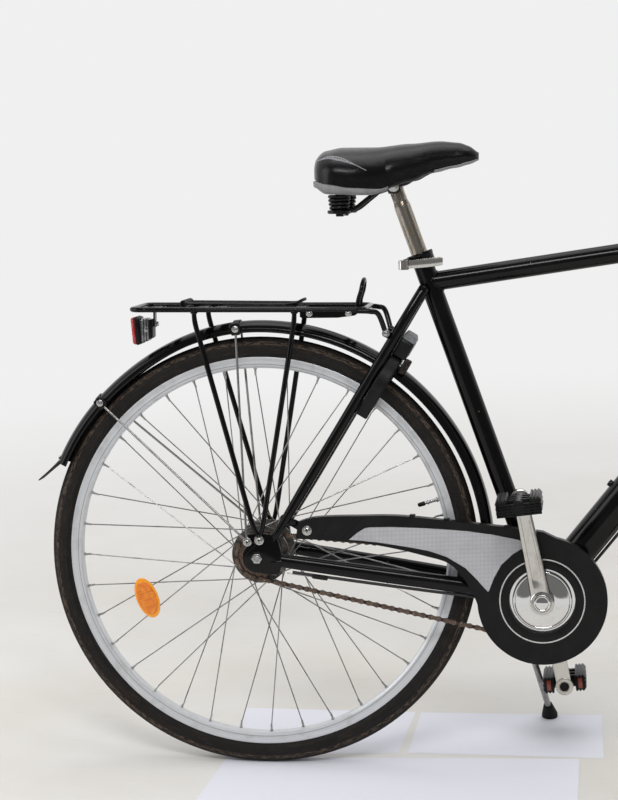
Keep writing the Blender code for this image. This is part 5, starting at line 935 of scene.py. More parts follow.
def spoke_group(flange, flange_y, lacing, reach):
    """Four crossed spokes, two on either flange, with their heads and elbows."""
    parts = []
    roles = ((LEFT, 1), (RIGHT, 1), (LEFT, -1), (RIGHT, -1))
    for k, (side, turn) in enumerate(roles):
        rim = 360.0 / SPOKES * k

        def spot(radius, degrees, y):
            a = radians(degrees)
            return vec(radius * cos(a) - reach, radius * sin(a), -y)

        at = rim + turn * lacing
        y = side * (flange_y + turn * 0.0024)
        root = spot(flange - 0.003, at, y)
        tip = spot(0.29, rim, side * 0.0031)
        out = vec(0, 0, -side * turn)
        run = (tip - root).normalized()
        parts.append(tube([root - out * 0.0042, root - out * 0.0012, root + run * 0.0014,
            root + run * 0.004, tip], 0.001, 8))
        parts.append(lathe(mm([(0, 0), (1.9, 0.2), (2, 0.8), (1.2, 1.8), (0, 2)]), root - out * 0.005,
            out, 10))
    return join(*parts)


def nipple():
    """Square-headed nipple under the rim, pointing inwards."""
    return lathe(mm([(0, -12), (1.35, -12), (1.6, -10.5), (1.9, -4.5), (2.1, -2), (3, -1.2), (3.4, 0.6),
        (0, 0.6)]), X * 0.2977, X, 10)


def wheel(prefix, body, centre, hub, lacing):
    front = "front_" if prefix == "front" else ""
    solid(prefix + "_tyre_rubber", lathe(half_loop(TYRE_SIDE), centre, Y, 216), front + "tyre", body,
        prefix + "_tyre", angle=28, floor=True)
    solid(prefix + "_rim_ring", lathe(half_loop(RIM_SIDE), centre, Y, 216), front + "rim", body,
        prefix + "_rim", angle=30)
    reach = 0.15
    flange, flange_y = hub
    round_wheel(prefix + "_spokes", spoke_group(flange, flange_y, lacing, reach), centre, SPOKES // 4,
        reach, SPOKE_PHASE, "spoke", body, prefix + "_hub_and_spokes")
    nipples = []
    for k, side in enumerate((LEFT, RIGHT, LEFT, RIGHT)):
        a = radians(360.0 / SPOKES * k)
        corners, faces = nipple()
        turned = [Matrix.Rotation(a, 3, "Z") @ c + vec(-reach, 0, -side * 0.003) for c in corners]
        nipples.append((turned, faces))
    round_wheel(prefix + "_nipples", join(*nipples), centre, SPOKES // 4, reach, SPOKE_PHASE, "zinc",
        body)
    at = VALVE_ANGLE
    stem = [polar(centre, r, at) for r in (0.3, 0.296, 0.2955, 0.2935, 0.293, 0.28, 0.2796, 0.2786,
        0.2782, 0.2735)]
    brass = tube(stem, mm([2.8, 2.8, 4.4, 4.4, 2.8, 2.7, 4.2, 4.2, 2.6, 2.6]), 16)
    solid(prefix + "_valve_stem", brass, "zinc", body)
    cap = tube([polar(centre, r, at) for r in (0.274, 0.273, 0.264, 0.2622)], mm([3, 3.6, 3.4, 2.2]),
        14)
    solid(prefix + "_valve_cap", cap, "abs", body)


def rear_hub():
    half = mm([(31, 0), (31.8, 20), (34, 23.5), (34.5, 29), (44, 30.5), (46.2, 31.2), (46.5, 32.5),
        (46.5, 35.2), (46, 36.6), (40, 37.2), (37, 38), (36, 40)])
    right = half + [(0.033, 0.042), (0.025, 0.043), (0.0215, 0.044), (0.019, 0.045), (0.019, 0.0578),
        (0.0055, 0.0578)]
    left = half + [(0.03, 0.043), (0.022, 0.0445), (0.018, 0.052), (0.015, 0.0572), (0.0055, 0.0578)]
    profile = [(r, -y) for r, y in reversed(left)] + right[1:]
    shell = lathe(profile, AXLE, -Y, 72)
    solid("rear_hub_shell", shell, "hub", "rear_wheel", angle=30)


def front_hub():
    half = mm([(11.8, 0), (12, 18), (13.5, 25), (18, 33), (20, 34), (20.1, 36.2), (19, 37.2), (14, 38),
        (12.5, 44), (12, 49.4), (5.5, 49.4)])
    solid("front_hub_shell", lathe([(r, -y) for r, y in reversed(half)] + half[1:], FRONT_AXLE, -Y, 56),
        "hub", "front_wheel", angle=30)


def reflector():
    """Prism reflector clipped between two spokes."""
    turn = radians(202)
    middle = polar(AXLE, 0.2035, 202.0)
    width = vec(cos(turn), 0, sin(turn))
    long = vec(-width.z, 0, width.x)

    def ring(scale, y):
        return [middle + width * 0.018 * scale * cos(TAU * k / 40) + long * 0.034 * scale
            * sin(TAU * k / 40) + Y * y for k in range(40)]

    body = hull(ring(1.0, -0.0262) + ring(1.0, -0.0212), 0.0011)
    lens = hull(ring(0.86, -0.0258) + ring(0.8, -0.0274))
    solid("reflector_body", body, "amber_body", "rear_wheel", "spoke_reflector", angle=30)
    solid("reflector_lens", lens, "amber", "rear_wheel", angle=30)
    ribs = []
    for k in (-1, 0, 1):
        spot = middle + long * 0.011 * k
        ribs.append(hull([spot + width * a + long * b + Y * y for a in (-0.0125, 0.0125)
            for b in (-0.0006, 0.0006) for y in (-0.0285, -0.027)], 0.0003))
    solid("reflector_ribs", join(*ribs), "amber_body", "rear_wheel")


wheel("rear", "rear_wheel", AXLE, (0.0465, 0.034), 55.0)
wheel("front", "front_wheel", FRONT_AXLE, (0.02, 0.035), 60.0)
rear_hub()
front_hub()
reflector()

# Drive: chain, sprocket, chainring, guard, cranks and pedals

GUARD_Y = 0.056
GUARD_HOLE = 0.052


def local(shape):
    """From the bicycle's axes to those of an item in a tree."""
    return [vec(c.x, c.z, -c.y) for c in shape[0]], shape[1]


def loft(rings):
    corners = [c for ring in rings for c in ring]
    size = len(rings[0])
    faces = [tuple(range(size))[::-1], tuple(range((len(rings) - 1) * size, len(rings) * size))]
    for i in range(len(rings) - 1):
        for k in range(size):
            n = (k + 1) % size
            faces.append((i * size + k, i * size + n, (i + 1) * size + n, (i + 1) * size + k))
    return corners, faces


def strip(points, width, y_low, y_high, round_edge=0.0):
    """A flat bar that follows points in the middle plane."""
    left, right = [], []
    for i, (x, z) in enumerate(points):
        before, after = points[max(i - 1, 0)], points[min(i + 1, len(points) - 1)]
        run = Vector((after[0] - before[0], after[1] - before[1])).normalized()
        left.append((x - run.y * width / 2, z + run.x * width / 2))
        right.append((x + run.y * width / 2, z - run.x * width / 2))
    return slab(left + right[::-1], y_low, y_high, round_edge, 1)


def link(inner):
    half = CHAIN_PITCH / 2
    outline = []
    for end, start in ((1, -70), (-1, 110)):
        for k in range(8):
            turn = radians(start + 20 * k)
            outline.append((end * half + 0.004 * cos(turn), 0.004 * sin(turn)))
        outline.append((0.0, end * 0.0022))
    low, high = (0.0018, 0.0028) if inner else (0.0031, 0.004)
    parts = [slab(outline, low, high, 0.0002, 1), slab(outline, -high, -low, 0.0002, 1)]
    for end in (-1, 1):
        spot = X * half * end
        reach, size = (0.0017, 0.0038) if inner else (0.0044, 0.0018)
        parts.append(rod(spot - Y * reach, spot + Y * reach, size, 12))
    return local(join(*parts))


def chain():
    tilt = math.asin((CHAINRING_PITCH - SPROCKET_PITCH) / CHAIN_STAY)
    along = BB.normalized()
    up = vec(-along.z, 0, along.x)
    spread = pi / 2 + tilt
    path = []
    for k in range(41):
        turn = spread - 2 * spread * k / 40
        path.append(BB + (along * cos(turn) + up * sin(turn)) * CHAINRING_PITCH)
    for k in range(31):
        turn = -spread - (pi - 2 * tilt) * k / 30
        path.append((along * cos(turn) + up * sin(turn)) * SPROCKET_PITCH)
    spots = [(p.x, p.z, CHAIN_LINE) for p in path]
    base = bpy.data.meshes.new("chain_run")
    base.from_pydata(spots, [(i, (i + 1) % len(spots)) for i in range(len(spots))], [])
    nothing = item_of("no_link", ([], []))
    for name, inner in (("outer", False), ("inner", True)):
        item = item_of(name + "_link", link(inner))
        chosen = {"Even Item": nothing, "Odd Item": item} if inner else {"Even Item": item,
            "Odd Item": nothing}
        # The inner links take the darker finish: painted shade between the outer plates
        finish = "inner_link_shade" if inner else "rust"
        mesh = grow("chain_" + name, LOOP, {"Count": 98, "Finish": FINISHES[finish], **chosen},
            base.copy())
        bpy.data.objects.remove(item)
        settle_mesh("chain_" + name + "_links", mesh, AXLE, finish, "frame", "chain")
    bpy.data.objects.remove(nothing)


def tooth():
    """Tooth of a chain wheel, pointing along X."""
    spots = []
    for out, half, thin in ((-0.0012, 0.0046, 0.0014), (0.0012, 0.0027, 0.0014),
            (0.003, 0.0019, 0.0012), (0.0046, 0.0008, 0.0006)):
        spots += [vec(out, y, z) for y in (-thin, thin) for z in (-half, half)]
    return local(hull(spots))


def chain_wheels():
    root = SPROCKET_PITCH - 0.004
    disc = lathe([(0.0196, -0.0015), (root, -0.0015), (root, 0.0015), (0.0196, 0.0015)],
        -Y * CHAIN_LINE, Y, 90)
    solid("sprocket_disc", disc, "rust", "sprocket", "rear_sprocket")
    turned = [(c + vec(0, 0, CHAIN_LINE)) for c in tooth()[0]]
    round_wheel("sprocket_teeth", (turned, tooth()[1]), AXLE, 18, root, 5.0, "rust", "sprocket")
    root = CHAINRING_PITCH - 0.0042
    ring = lathe([(0.009, 0.0459), (0.018, 0.0452), (0.03, 0.0459), (root - 0.005, 0.0459),
        (root, 0.0462), (root, 0.0488), (root - 0.005, 0.0491), (0.047, 0.0491), (0.047, 0.0542),
        (0.0465, 0.0553), (0.0455, 0.0558), (0.044, 0.0559), (0.043, 0.0555), (0.0422, 0.0548),
        (0.04, 0.0549), (0.033, 0.0561), (0.026, 0.0571), (0.02, 0.0575), (0.009, 0.0575)], BB, -Y, 120)
    solid("chainring_disc", ring, "chrome", "crankset", "chainring", angle=40)
    round_wheel("chainring_teeth", (turned, tooth()[1]), BB, 33, root, 2.0, "hub", "crankset")


def guard_line():
    """Outer edge of the guard: its arm along the chain and its disc."""
    top = [(0.06, 0.0295), (0.064, 0.0555), (0.083, 0.0622), (0.113, 0.0655), (0.16, 0.0668),
        (0.226, 0.0675), (0.306, 0.0605), (0.38, 0.053), (0.43, 0.0475), (0.462, 0.043)]
    start = math.degrees(math.atan2(0.1035, 0.03))
    disc = []
    for k in range(67):
        turn = radians(start + 4 - (start + 180.0) * k / 66)
        disc.append((BB.x + 0.102 * cos(turn), BB.z + 0.102 * sin(turn)))
    low = [(0.341, -0.052), (0.324, -0.027), (0.302, -0.006), (0.264, 0.005), (0.226, 0.014),
        (0.175, 0.023), (0.1257, 0.0272), (0.06, 0.0295)]
    flat = [vec(x, 0, z) for x, z in top[1:]]
    crown = [(p.x, p.z) for p in smooth_path(flat, 40)]
    belly = [(p.x, p.z) for p in smooth_path([vec(x, 0, z) for x, z in low[:-1]], 30)]
    return [top[0]] + crown[:-1] + disc + belly


def inset(line, width):
    """The same line moved inwards by a width. The line runs clockwise."""
    out = []
    count = len(line)
    for i, (x, z) in enumerate(line):
        run = Vector((line[(i + 1) % count][0] - line[i - 1][0],
            line[(i + 1) % count][1] - line[i - 1][1]))
        if run.length < 1e-9:
            continue
        run.normalize()
        out.append((x + run.y * width, z - run.x * width))
    return out


def guard_plate(low, high, margin):
    """The guard's face as a mesh with its round hole cut out."""
    line = guard_line()
    line = inset(line, margin) if margin else line
    work = bmesh.new()
    edges = []
    hole = [(BB.x + GUARD_HOLE * cos(TAU * k / 96), BB.z + GUARD_HOLE * sin(TAU * k / 96))
        for k in range(96)]
    for loop in (line, hole):
        spots = [work.verts.new((x, low, z)) for x, z in loop]
        edges += [work.edges.new((spots[i], spots[(i + 1) % len(spots)])) for i in range(len(spots))]
    bmesh.ops.triangle_fill(work, edges=edges, use_beauty=True, use_dissolve=False)
    grown = bmesh.ops.extrude_face_region(work, geom=list(work.faces))
    moved = [g for g in grown["geom"] if isinstance(g, bmesh.types.BMVert)]
    bmesh.ops.translate(work, vec=vec(0, high - low, 0), verts=moved)
    bmesh.ops.recalc_face_normals(work, faces=work.faces)
    return from_bmesh(work)


PANEL = mm([(144.3, 28.7), (157.7, 40.6), (170, 48.5), (179, 50.2), (210.8, 51), (247.8, 50.4),
    (289.9, 48.6), (332, 45.9), (373.9, 40.5), (413.1, 33), (429, 26.2), (424, 20.5), (405.3, 9.1),
    (387, -8.2), (375.4, -29.6), (368, -49), (365.5, -52), (359.2, -45.9), (347.6, -32.7),
    (329.3, -14.3), (300.3, 2.9), (274, 11.6), (247.6, 16.6), (215.9, 21.3), (194.8, 24.3),
    (168.2, 26.8)])


def chain_guard():
    face = -GUARD_Y - 0.0025
    solid("chain_guard_face", guard_plate(face, -GUARD_Y, 0.0), "abs", "frame", "chain_guard")
    rim = guard_line()
    rolled = tube([vec(x, face + 0.0016, z) for x, z in inset(rim, 0.0014)], 0.0017, 10, closed=True)
    solid("chain_guard_rolled_edge", rolled, "abs", "frame", angle=60)
    skirt = [(x, z) for x, z in inset(rim, 0.0006)[1:107]]
    solid("chain_guard_skirt", strip(skirt, 0.0018, -GUARD_Y - 0.001, -GUARD_Y + 0.0155), "abs",
        "frame")
    recess = lathe([(GUARD_HOLE + 0.0005, 0.0), (0.056, 0.0006), (0.0618, 0.001), (0.0636, 0.0006),
        (0.0636, -0.001), (GUARD_HOLE + 0.0005, -0.001)], BB + Y * face, -Y, 120)
    solid("chain_guard_inner_ring", recess, "abs", "frame")
    collar = lathe([(GUARD_HOLE - 0.0002, -0.0135), (GUARD_HOLE + 0.0016, -0.0135),
        (GUARD_HOLE + 0.0016, 0.0004), (GUARD_HOLE - 0.0002, 0.0004)], BB + Y * face, -Y, 120)
    solid("chain_guard_hole_wall", collar, "abs", "frame")
    foil = lathe(mm([(65.5, 0), (65.5, 0.6), (67.5, 0.6), (67.5, 0)]), BB + Y * (face - 0.0001), -Y,
        144)
    solid("chain_guard_silver_ring", foil, "foil", "frame")
    spots = [vec(x, 0, z) for x, z in PANEL]
    solid("chain_guard_dotted_panel", slab([(p.x, p.z) for p in spots], face - 0.0005, face + 0.0005,
        0.0), "panel", "frame")
    edge = tube([vec(p.x, face - 0.0003, p.z) for p in spots], 0.0008, 8, closed=True)
    solid("chain_guard_panel_bead", edge, "abs", "frame", angle=60)
    steps = []
    for top, low in (((0.116, 0.064), (0.096, 0.0288)), ((0.164, 0.0655), (0.127, 0.027))):
        steps.append(strip([low, ((top[0] + low[0]) / 2 + 0.001, (top[1] + low[1]) / 2), top], 0.0036,
            face - 0.0011, face + 0.0005, 0.0006))
    steps.append(strip(mm([(121.5, 31), (138, 61.5)]), 0.001, face - 0.0005, face, 0.0))
    solid("chain_guard_arm_steps", join(*steps), "abs", "frame")
    spot = vec(0.0782, face, 0.0429)
    screw("chain_guard_bolt", "chain_guard_bolt_slots", spot, -Y, 0.0052, 0.003)
    clips = []
    for x, z in ((0.3, 0.061), (0.395, 0.0505), (0.246, 0.0665)):
        clips.append(block(vec(x, -GUARD_Y + 0.004, z + 0.0022), mm((9, 12, 2.6))))
    solid("chain_guard_clips", join(*clips), "abs", "frame")


def crank_arm(side, name):
    out = CRANK_OUT if side == RIGHT else -CRANK_OUT
    wide = Y.cross(out).normalized()
    inner, outer = CRANK_INNER_Y, CRANK_INNER_Y + CRANK_THICK
    rings = []
    for k in range(25):
        s = k / 24
        half = 0.0165 - 0.0048 * s**0.7
        shift = CRANK_FLARE * (s * s * (3 - 2 * s))
        dip = 0.0011 * min(max(min((s - 0.16) / 0.05, (0.84 - s) / 0.05), 0.0), 1.0)
        low, high = inner + shift + 0.0012, outer + shift - 0.0012
        spot = BB + out * CRANK_LENGTH * s
        section = [(-1.0, low + 0.002), (-0.85, low), (0.85, low), (1.0, low + 0.002),
            (1.0, high - 0.0032), (0.92, high - 0.0012), (0.76, high), (0.56, high), (0.48, high - dip),
            (-0.48, high - dip), (-0.56, high), (-0.76, high), (-0.92, high - 0.0012),
            (-1.0, high - 0.0032)]
        rings.append([spot + wide * w * half + Y * side * y for w, y in section])
    arm = loft(rings)
    boss = lathe([(0.0, inner), (0.0185, inner), (0.0195, inner + 0.001), (0.0195, outer - 0.004),
        (0.0188, outer - 0.0014), (0.0172, outer - 0.0002), (0.015, outer), (0.014, outer - 0.0006),
        (0.0, outer - 0.0006)], BB, Y * side, 56)
    eye_at = BB + out * CRANK_LENGTH
    low, high = inner + CRANK_FLARE, outer + CRANK_FLARE
    eye = lathe([(0.0, low), (0.0136, low), (0.0145, low + 0.001), (0.0145, high - 0.003),
        (0.0136, high - 0.0008), (0.012, high), (0.0, high)], eye_at, Y * side, 44)
    solid("crank_forging_" + name, join(arm, boss, eye), "crank", "crankset", "crank_arm_" + name,
        angle=30)
    cap = lathe(mm([(0, 0), (13.4, 0), (13.4, 2.2), (12.8, 2.9), (11.2, 3), (10.4, 2.4), (9.6, 2.3),
        (8, 2.8), (0, 3)]), BB + Y * side * outer, Y * side, 48)
    solid("crank_dust_cap_" + name, cap, "chrome", "crankset")
    start = eye_at + Y * side * high
    spindle = join(rod(start - Y * side * 0.002, start + Y * side * 0.088, 0.0048, 20),
        rounded(rod(start, start + Y * side * 0.0026, 0.0088, 6), 0.0004))
    solid("pedal_spindle_" + name, spindle, "zinc", "crankset")
    inside = eye_at + Y * side * low
    rim = lathe(mm([(8.6, 0), (12.8, 0), (12.4, 0.7), (9.2, 0.7)]), inside, -Y * side, 40)
    solid("crank_eye_face_" + name, rim, "crank", "crankset", angle=40)
    solid("pedal_spindle_end_" + name, rod(inside + Y * side * 0.001, inside - Y * side * 0.0004,
        0.0078, 32), "rubber", "crankset")


def pedal(side, name):
    out = CRANK_OUT if side == RIGHT else -CRANK_OUT
    eye = BB + out * CRANK_LENGTH
    start = CRANK_INNER_Y + CRANK_THICK + CRANK_FLARE + 0.003
    turn = Matrix.Rotation(radians(-7.0 if side == RIGHT else -6.0), 3, "Y")

    def at(x, y, z):
        return vec(eye.x, 0, eye.z) + turn @ vec(x, 0, z) + Y * side * (start + y)

    def bar(x0, x1, y0, y1, z0, z1, width=0.0004):
        return hull([at(x, y, z) for x in (x0, x1) for y in (y0, y1) for z in (z0, z1)], width)

    solids = []
    for ahead in (-1, 1):
        one, two = sorted((ahead * 0.0338, ahead * 0.0175))
        solids.append(bar(one, two, 0.0015, 0.089, -0.0115, 0.0115, 0.0012))
        for k in range(3):
            ridge = ahead * (0.0197 + 0.0053 * k)
            solids.append(bar(ridge - 0.0017, ridge + 0.0017, 0.002, 0.0885, -0.0134, 0.0134, 0.0007))
            one, two = sorted((ahead * 0.033, ahead * 0.0352))
            z = 0.0072 * (k - 1)
            solids.append(bar(one, two, 0.002, 0.0885, z - 0.0018, z + 0.0018, 0.0007))
    solids.append(bar(-0.033, 0.033, 0.0872, 0.0892, -0.0125, 0.0045, 0.0004))
    for z in (-0.0134, -0.0092, -0.0048, -0.0004, 0.0038):
        solids.append(bar(-0.0345, 0.0345, 0.0885, 0.092, z, z + 0.0018, 0.0004))
    for x in (-0.0345, -0.0255, -0.0165, 0.0145, 0.0235, 0.0325):
        solids.append(bar(x, x + 0.002, 0.0885, 0.092, -0.013, 0.0052, 0.0004))
    solids.append(lathe(mm([(0, 0), (11.2, 0), (11.2, 4), (10.2, 4.8), (8.4, 4.8), (7.8, 4), (0, 4.2)]),
        at(0, 0.0872, -0.0022), Y * side, 36))
    for y in (0.022, 0.044, 0.066):
        solids.append(bar(-0.02, 0.02, y, y + 0.005, -0.0095, 0.0095, 0.0008))
    solids.append(tube([at(0, 0.001, 0), at(0, 0.01, 0), at(0, 0.082, 0), at(0, 0.089, 0)],
        mm([11.2, 10, 9.4, 10.2]), 28))
    solid("pedal_cage_" + name, join(*solids), "abs", "pedal_" + name[0], "pedal_" + name)
    lenses = []
    for ahead in (-1, 1):
        one, two = sorted((ahead * 0.0225, ahead * 0.0292))
        lenses.append(bar(one, two, 0.0002, 0.0018, -0.0085, 0.0085, 0.0003))
        one, two = sorted((ahead * 0.0335, ahead * 0.0345))
        lenses.append(bar(one, two, 0.014, 0.043, -0.0053, 0.0053, 0.0003))
        lenses.append(bar(one, two, 0.049, 0.078, -0.0053, 0.0053, 0.0003))
    solid("pedal_reflectors_" + name, join(*lenses), "pedal_lens", "pedal_" + name[0])


chain()
chain_wheels()
chain_guard()
for side, name in SIDES:
    crank_arm(side, name)
for side, name in SIDES:
    pedal(side, name)
axle_body = tube([BB - Y * 0.072, BB - Y * 0.056, BB - Y * 0.034, BB + Y * 0.034, BB + Y * 0.056,
    BB + Y * 0.072], mm([7.8, 8, 11, 11, 8, 7.8]), 28)
cups = [lathe(mm([(9, 29), (15.8, 29), (15.8, 35.5), (14, 37.2), (10, 37.5), (9, 36.5)]), BB, Y * s,
    40) for s in (RIGHT, LEFT)]
solid("bottom_bracket_spindle", join(axle_body, *cups), "zinc", "crankset", "bottom_bracket_axle")

# Saddle, post and clamp

SADDLE_REAR, SADDLE_LENGTH, SADDLE_HALF = 0.0935, 0.255, 0.095
SPRING_FOOT = vec(SADDLE_REAR + 0.0385, 0, 0.5455)
POST_TOP = 0.693
SADDLE_LINES = {
    "top": ((0, 0.634), (0.05, 0.6435), (0.16, 0.6485), (0.36, 0.6485), (0.58, 0.653),
            (0.76, 0.6565), (0.88, 0.654), (0.95, 0.648), (1.0, 0.637)),
    "edge": ((0, 0.596), (0.08, 0.591), (0.25, 0.585), (0.42, 0.583), (0.5, 0.592),
             (0.59, 0.598), (0.72, 0.611), (0.85, 0.618), (0.95, 0.6245), (1.0, 0.629)),
    "hollow": ((0, 0.596), (0.25, 0.595), (0.38, 0.601), (0.5, 0.605), (0.72, 0.613),
               (0.85, 0.618), (0.95, 0.6245), (1.0, 0.629)),
    "skirt": ((0, 0.5868), (0.08, 0.5752), (0.3, 0.5735), (0.36, 0.5735), (0.43, 0.579),
              (0.5, 0.588), (0.59, 0.594), (0.72, 0.6075), (0.85, 0.6145), (0.95, 0.6205),
              (1.0, 0.627)),
    "belly": ((0, 0.5868), (0.08, 0.5752), (0.25, 0.5735), (0.3, 0.5735), (0.4, 0.599),
              (0.5, 0.601), (0.72, 0.6095), (0.85, 0.6145), (0.95, 0.6205), (1.0, 0.627)),
}


def saddle_line(name, share):
    """Height of one of the saddle's lines at a share of its length, smoothed."""
    table = SADDLE_LINES[name]

    def plain(s):
        for (a, one), (b, two) in zip(table, table[1:]):
            if s <= b:
                t = (s - a) / (b - a)
                return one + (two - one) * t * t * (3 - 2 * t)
        return table[-1][1]

    near = [min(max(share + d, 0.0), 1.0) for d in (-0.02, -0.01, 0.0, 0.01, 0.02)]
    return sum(plain(s) for s in near) / 5


def saddle_half(share):
    if share < 0.45:
        half = SADDLE_HALF * (1.0 - 1.15 * (share - 0.16) ** 2 / 0.33)
    else:
        t = (share - 0.45) / 0.55
        half = SADDLE_HALF * 0.707 * (1 - t) ** 1.35 + 0.021 * t**0.5
    half *= sqrt(max(0.0, 1 - 0.42 * max(0.0, 1 - share / 0.16) ** 2.2))
    tip = max(0.0, (share - 0.9) / 0.1)
    return half * sqrt(max(0.02, 1 - tip**2 * 0.96))


def cover_spot(share, turn):
    """A point on the cover. The turn runs from the left edge, 0, over the top to 180."""
    half = saddle_half(share)
    top, edge = saddle_line("top", share), saddle_line("edge", share)
    c, s = cos(radians(turn)), sin(radians(turn))
    y = half * c
    lift = abs(s) ** 0.62
    tuck = 0.0026 * max(0.0, 1 - abs(s) / 0.2) * min(1.0, half / 0.03)
    y -= math.copysign(tuck, c) if abs(c) > 1e-9 else 0.0
    dip = 0.004 * max(0.0, 1 - abs(y) / 0.02) ** 1.3 * max(0.0, 1 - share / 0.55)
    dip *= min(1.0, share / 0.1)
    return vec(SADDLE_REAR + SADDLE_LENGTH * share, y, edge + 0.0003 + (top - edge) * lift - dip)


def saddle_cover():
    rings = []
    for k in range(84):
        share = k / 83
        share = share * 0.9 + 0.1 * share * share
        spots = [cover_spot(share, 180.0 * j / 52) for j in range(53)]
        edge, hollow = saddle_line("edge", share), saddle_line("hollow", share)
        half = saddle_half(share)
        for w, z in ((-0.9, edge), (-0.6, hollow), (0.0, hollow), (0.6, hollow), (0.9, edge)):
            spots.append(vec(spots[0].x, half * w, z + 0.0006))
        shrink = (0.8, 0.925, 0.975, 0.995)[k] if k < 4 else 1.0
        low = (spots[0].z + max(s.z for s in spots)) / 2
        for s in spots:
            s.y *= shrink
            s.z = low + (s.z - low) * shrink
        rings.append(spots)
    cover = solid("saddle_cover_vinyl", loft(rings), "vinyl", "seat", "saddle_cover", angle=40)


def on_cover(x, z, side, out=0.0):
    """The cover's surface at a place in the side view, moved outwards."""
    share = (x - SADDLE_REAR) / SADDLE_LENGTH
    low, high = 0.0, 90.0
    for _ in range(30):
        middle = (low + high) / 2
        if cover_spot(share, middle).z < z:
            low = middle
        else:
            high = middle
    spot = cover_spot(share, low)
    ahead = cover_spot(min(share + 0.01, 1.0), low) - cover_spot(max(share - 0.01, 0.0), low)
    rise = cover_spot(share, min(low + 1, 90)) - cover_spot(share, max(low - 1, 0))
    normal = ahead.cross(rise).normalized()
    if normal.y < 0:
        normal = -normal
    spot = spot + normal * out
    return vec(spot.x, spot.y * side, spot.z), vec(normal.x, normal.y * side, normal.z)


SEAM = mm(((99, 625.5), (115.8, 631.8), (131.5, 630.8), (147, 626.5), (163, 619.5), (178.4, 611.7)))


def saddle_inset(side, name):
    line = smooth_path([vec(x, 0, z) for x, z in SEAM], 41)
    rows = []
    for k, p in enumerate(line):
        s = k / 40
        half = 0.0007 + 0.0026 * max(0.0, 1 - abs(s - 0.42) / 0.34) ** 0.7
        rows.append([on_cover(p.x, p.z + half * w, side, h)[0] for w,
            h in ((-1.0, 0.0001), (-0.8, 0.0007), (0.0, 0.0009), (0.8, 0.0007), (1.0, 0.0001))])
        rows[-1].append(on_cover(p.x, p.z, side, -0.001)[0])
    solid("saddle_inset_" + name, loft(rows), "piping", "seat", angle=50)
    # Painted shade: dark discs on the inset for the shade inside its holes
    hole_shades = []
    for k in range(9):
        s = 0.2 + 0.055 * k
        p = line[round(s * 40)]
        spot, normal = on_cover(p.x, p.z, side, 0.0006)
        size = 0.0013 - 0.00012 * abs(k - 4)
        hole_shades.append(lathe([(0, 0), (size, 0), (size, 0.0006), (0, 0.0006)], spot, normal, 12))
    solid("saddle_inset_holes_" + name, join(*hole_shades), "rubber", "seat")


def saddle_base(name, start, end, finish, replaces=None):
    rings = []
    for k in range(31):
        share = start + (end - start) * k / 30
        half = saddle_half(share)
        x = SADDLE_REAR + SADDLE_LENGTH * share
        edge, hollow, skirt, belly = (saddle_line(n, share)
            for n in ("edge", "hollow", "skirt", "belly"))
        section = [(-0.955, edge), (-0.6, hollow), (0.0, hollow), (0.6, hollow), (0.955, edge),
            (0.965, edge * 0.75 + skirt * 0.25), (0.945, edge * 0.4 + skirt * 0.6),
            (0.9, edge * 0.12 + skirt * 0.88), (0.84, skirt), (0.56, belly), (0.0, belly),
            (-0.56, belly), (-0.84, skirt), (-0.9, edge * 0.12 + skirt * 0.88),
            (-0.945, edge * 0.4 + skirt * 0.6), (-0.965, edge * 0.75 + skirt * 0.25)]
        rings.append([vec(x, half * w, z) for w, z in section])
    solid(name, loft(rings), finish, "seat", replaces, angle=46)


def rail_path(side):
    head = seat_point(POST_TOP)
    return smooth_path([vec(0.2684, side * 0.011, head.z + 0.0203),
        vec(0.2464, side * 0.0165, head.z + 0.0125), vec(head.x + 0.014, side * 0.022, head.z + 0.0035),
        vec(head.x - 0.018, side * 0.022, head.z - 0.0035),
        vec(head.x - 0.04, side * 0.028, head.z - 0.019),
        vec(SPRING_FOOT.x + 0.022, side * 0.034, SPRING_FOOT.z + 0.006),
        vec(SPRING_FOOT.x, side * 0.036, SPRING_FOOT.z),], 44)


def saddle_springs():
    for side, name in SIDES:
        start = vec(SPRING_FOOT.x, side * 0.046, SPRING_FOOT.z + 0.005)
        height = saddle_line("belly", 0.16) - start.z - 0.0006
        path = []
        for k in range(133):
            s = k / 132
            turn = TAU * 4.0 * s
            rise = 0.0022 + (height - 0.0044) * min(max((s - 0.1) / 0.8, 0.0), 1.0)
            size = 0.013 + 0.0028 * s - 0.0008 * abs(2 * s - 1) ** 4
            path.append(start + vec(size * cos(turn), size * sin(turn), rise))
        solid("saddle_spring_wire_" + name, tube(path, 0.0027, 14, domed=True), "wire", "seat",
            "saddle_spring_" + name, angle=60)
        seat = lathe(mm([(0, -1), (17.5, -1), (18.5, 0.2), (18.5, 3.4), (17.6, 4.6), (12, 4.8),
            (0, 4.8)]), vec(SPRING_FOOT.x, side * 0.046, SPRING_FOOT.z), Z, 40)
        solid("saddle_spring_seat_" + name, seat, "wire", "seat")
        core = rod(start, start + Z * (height - 0.001), 0.0042, 16)
        solid("saddle_spring_core_" + name, core, "wire", "seat")


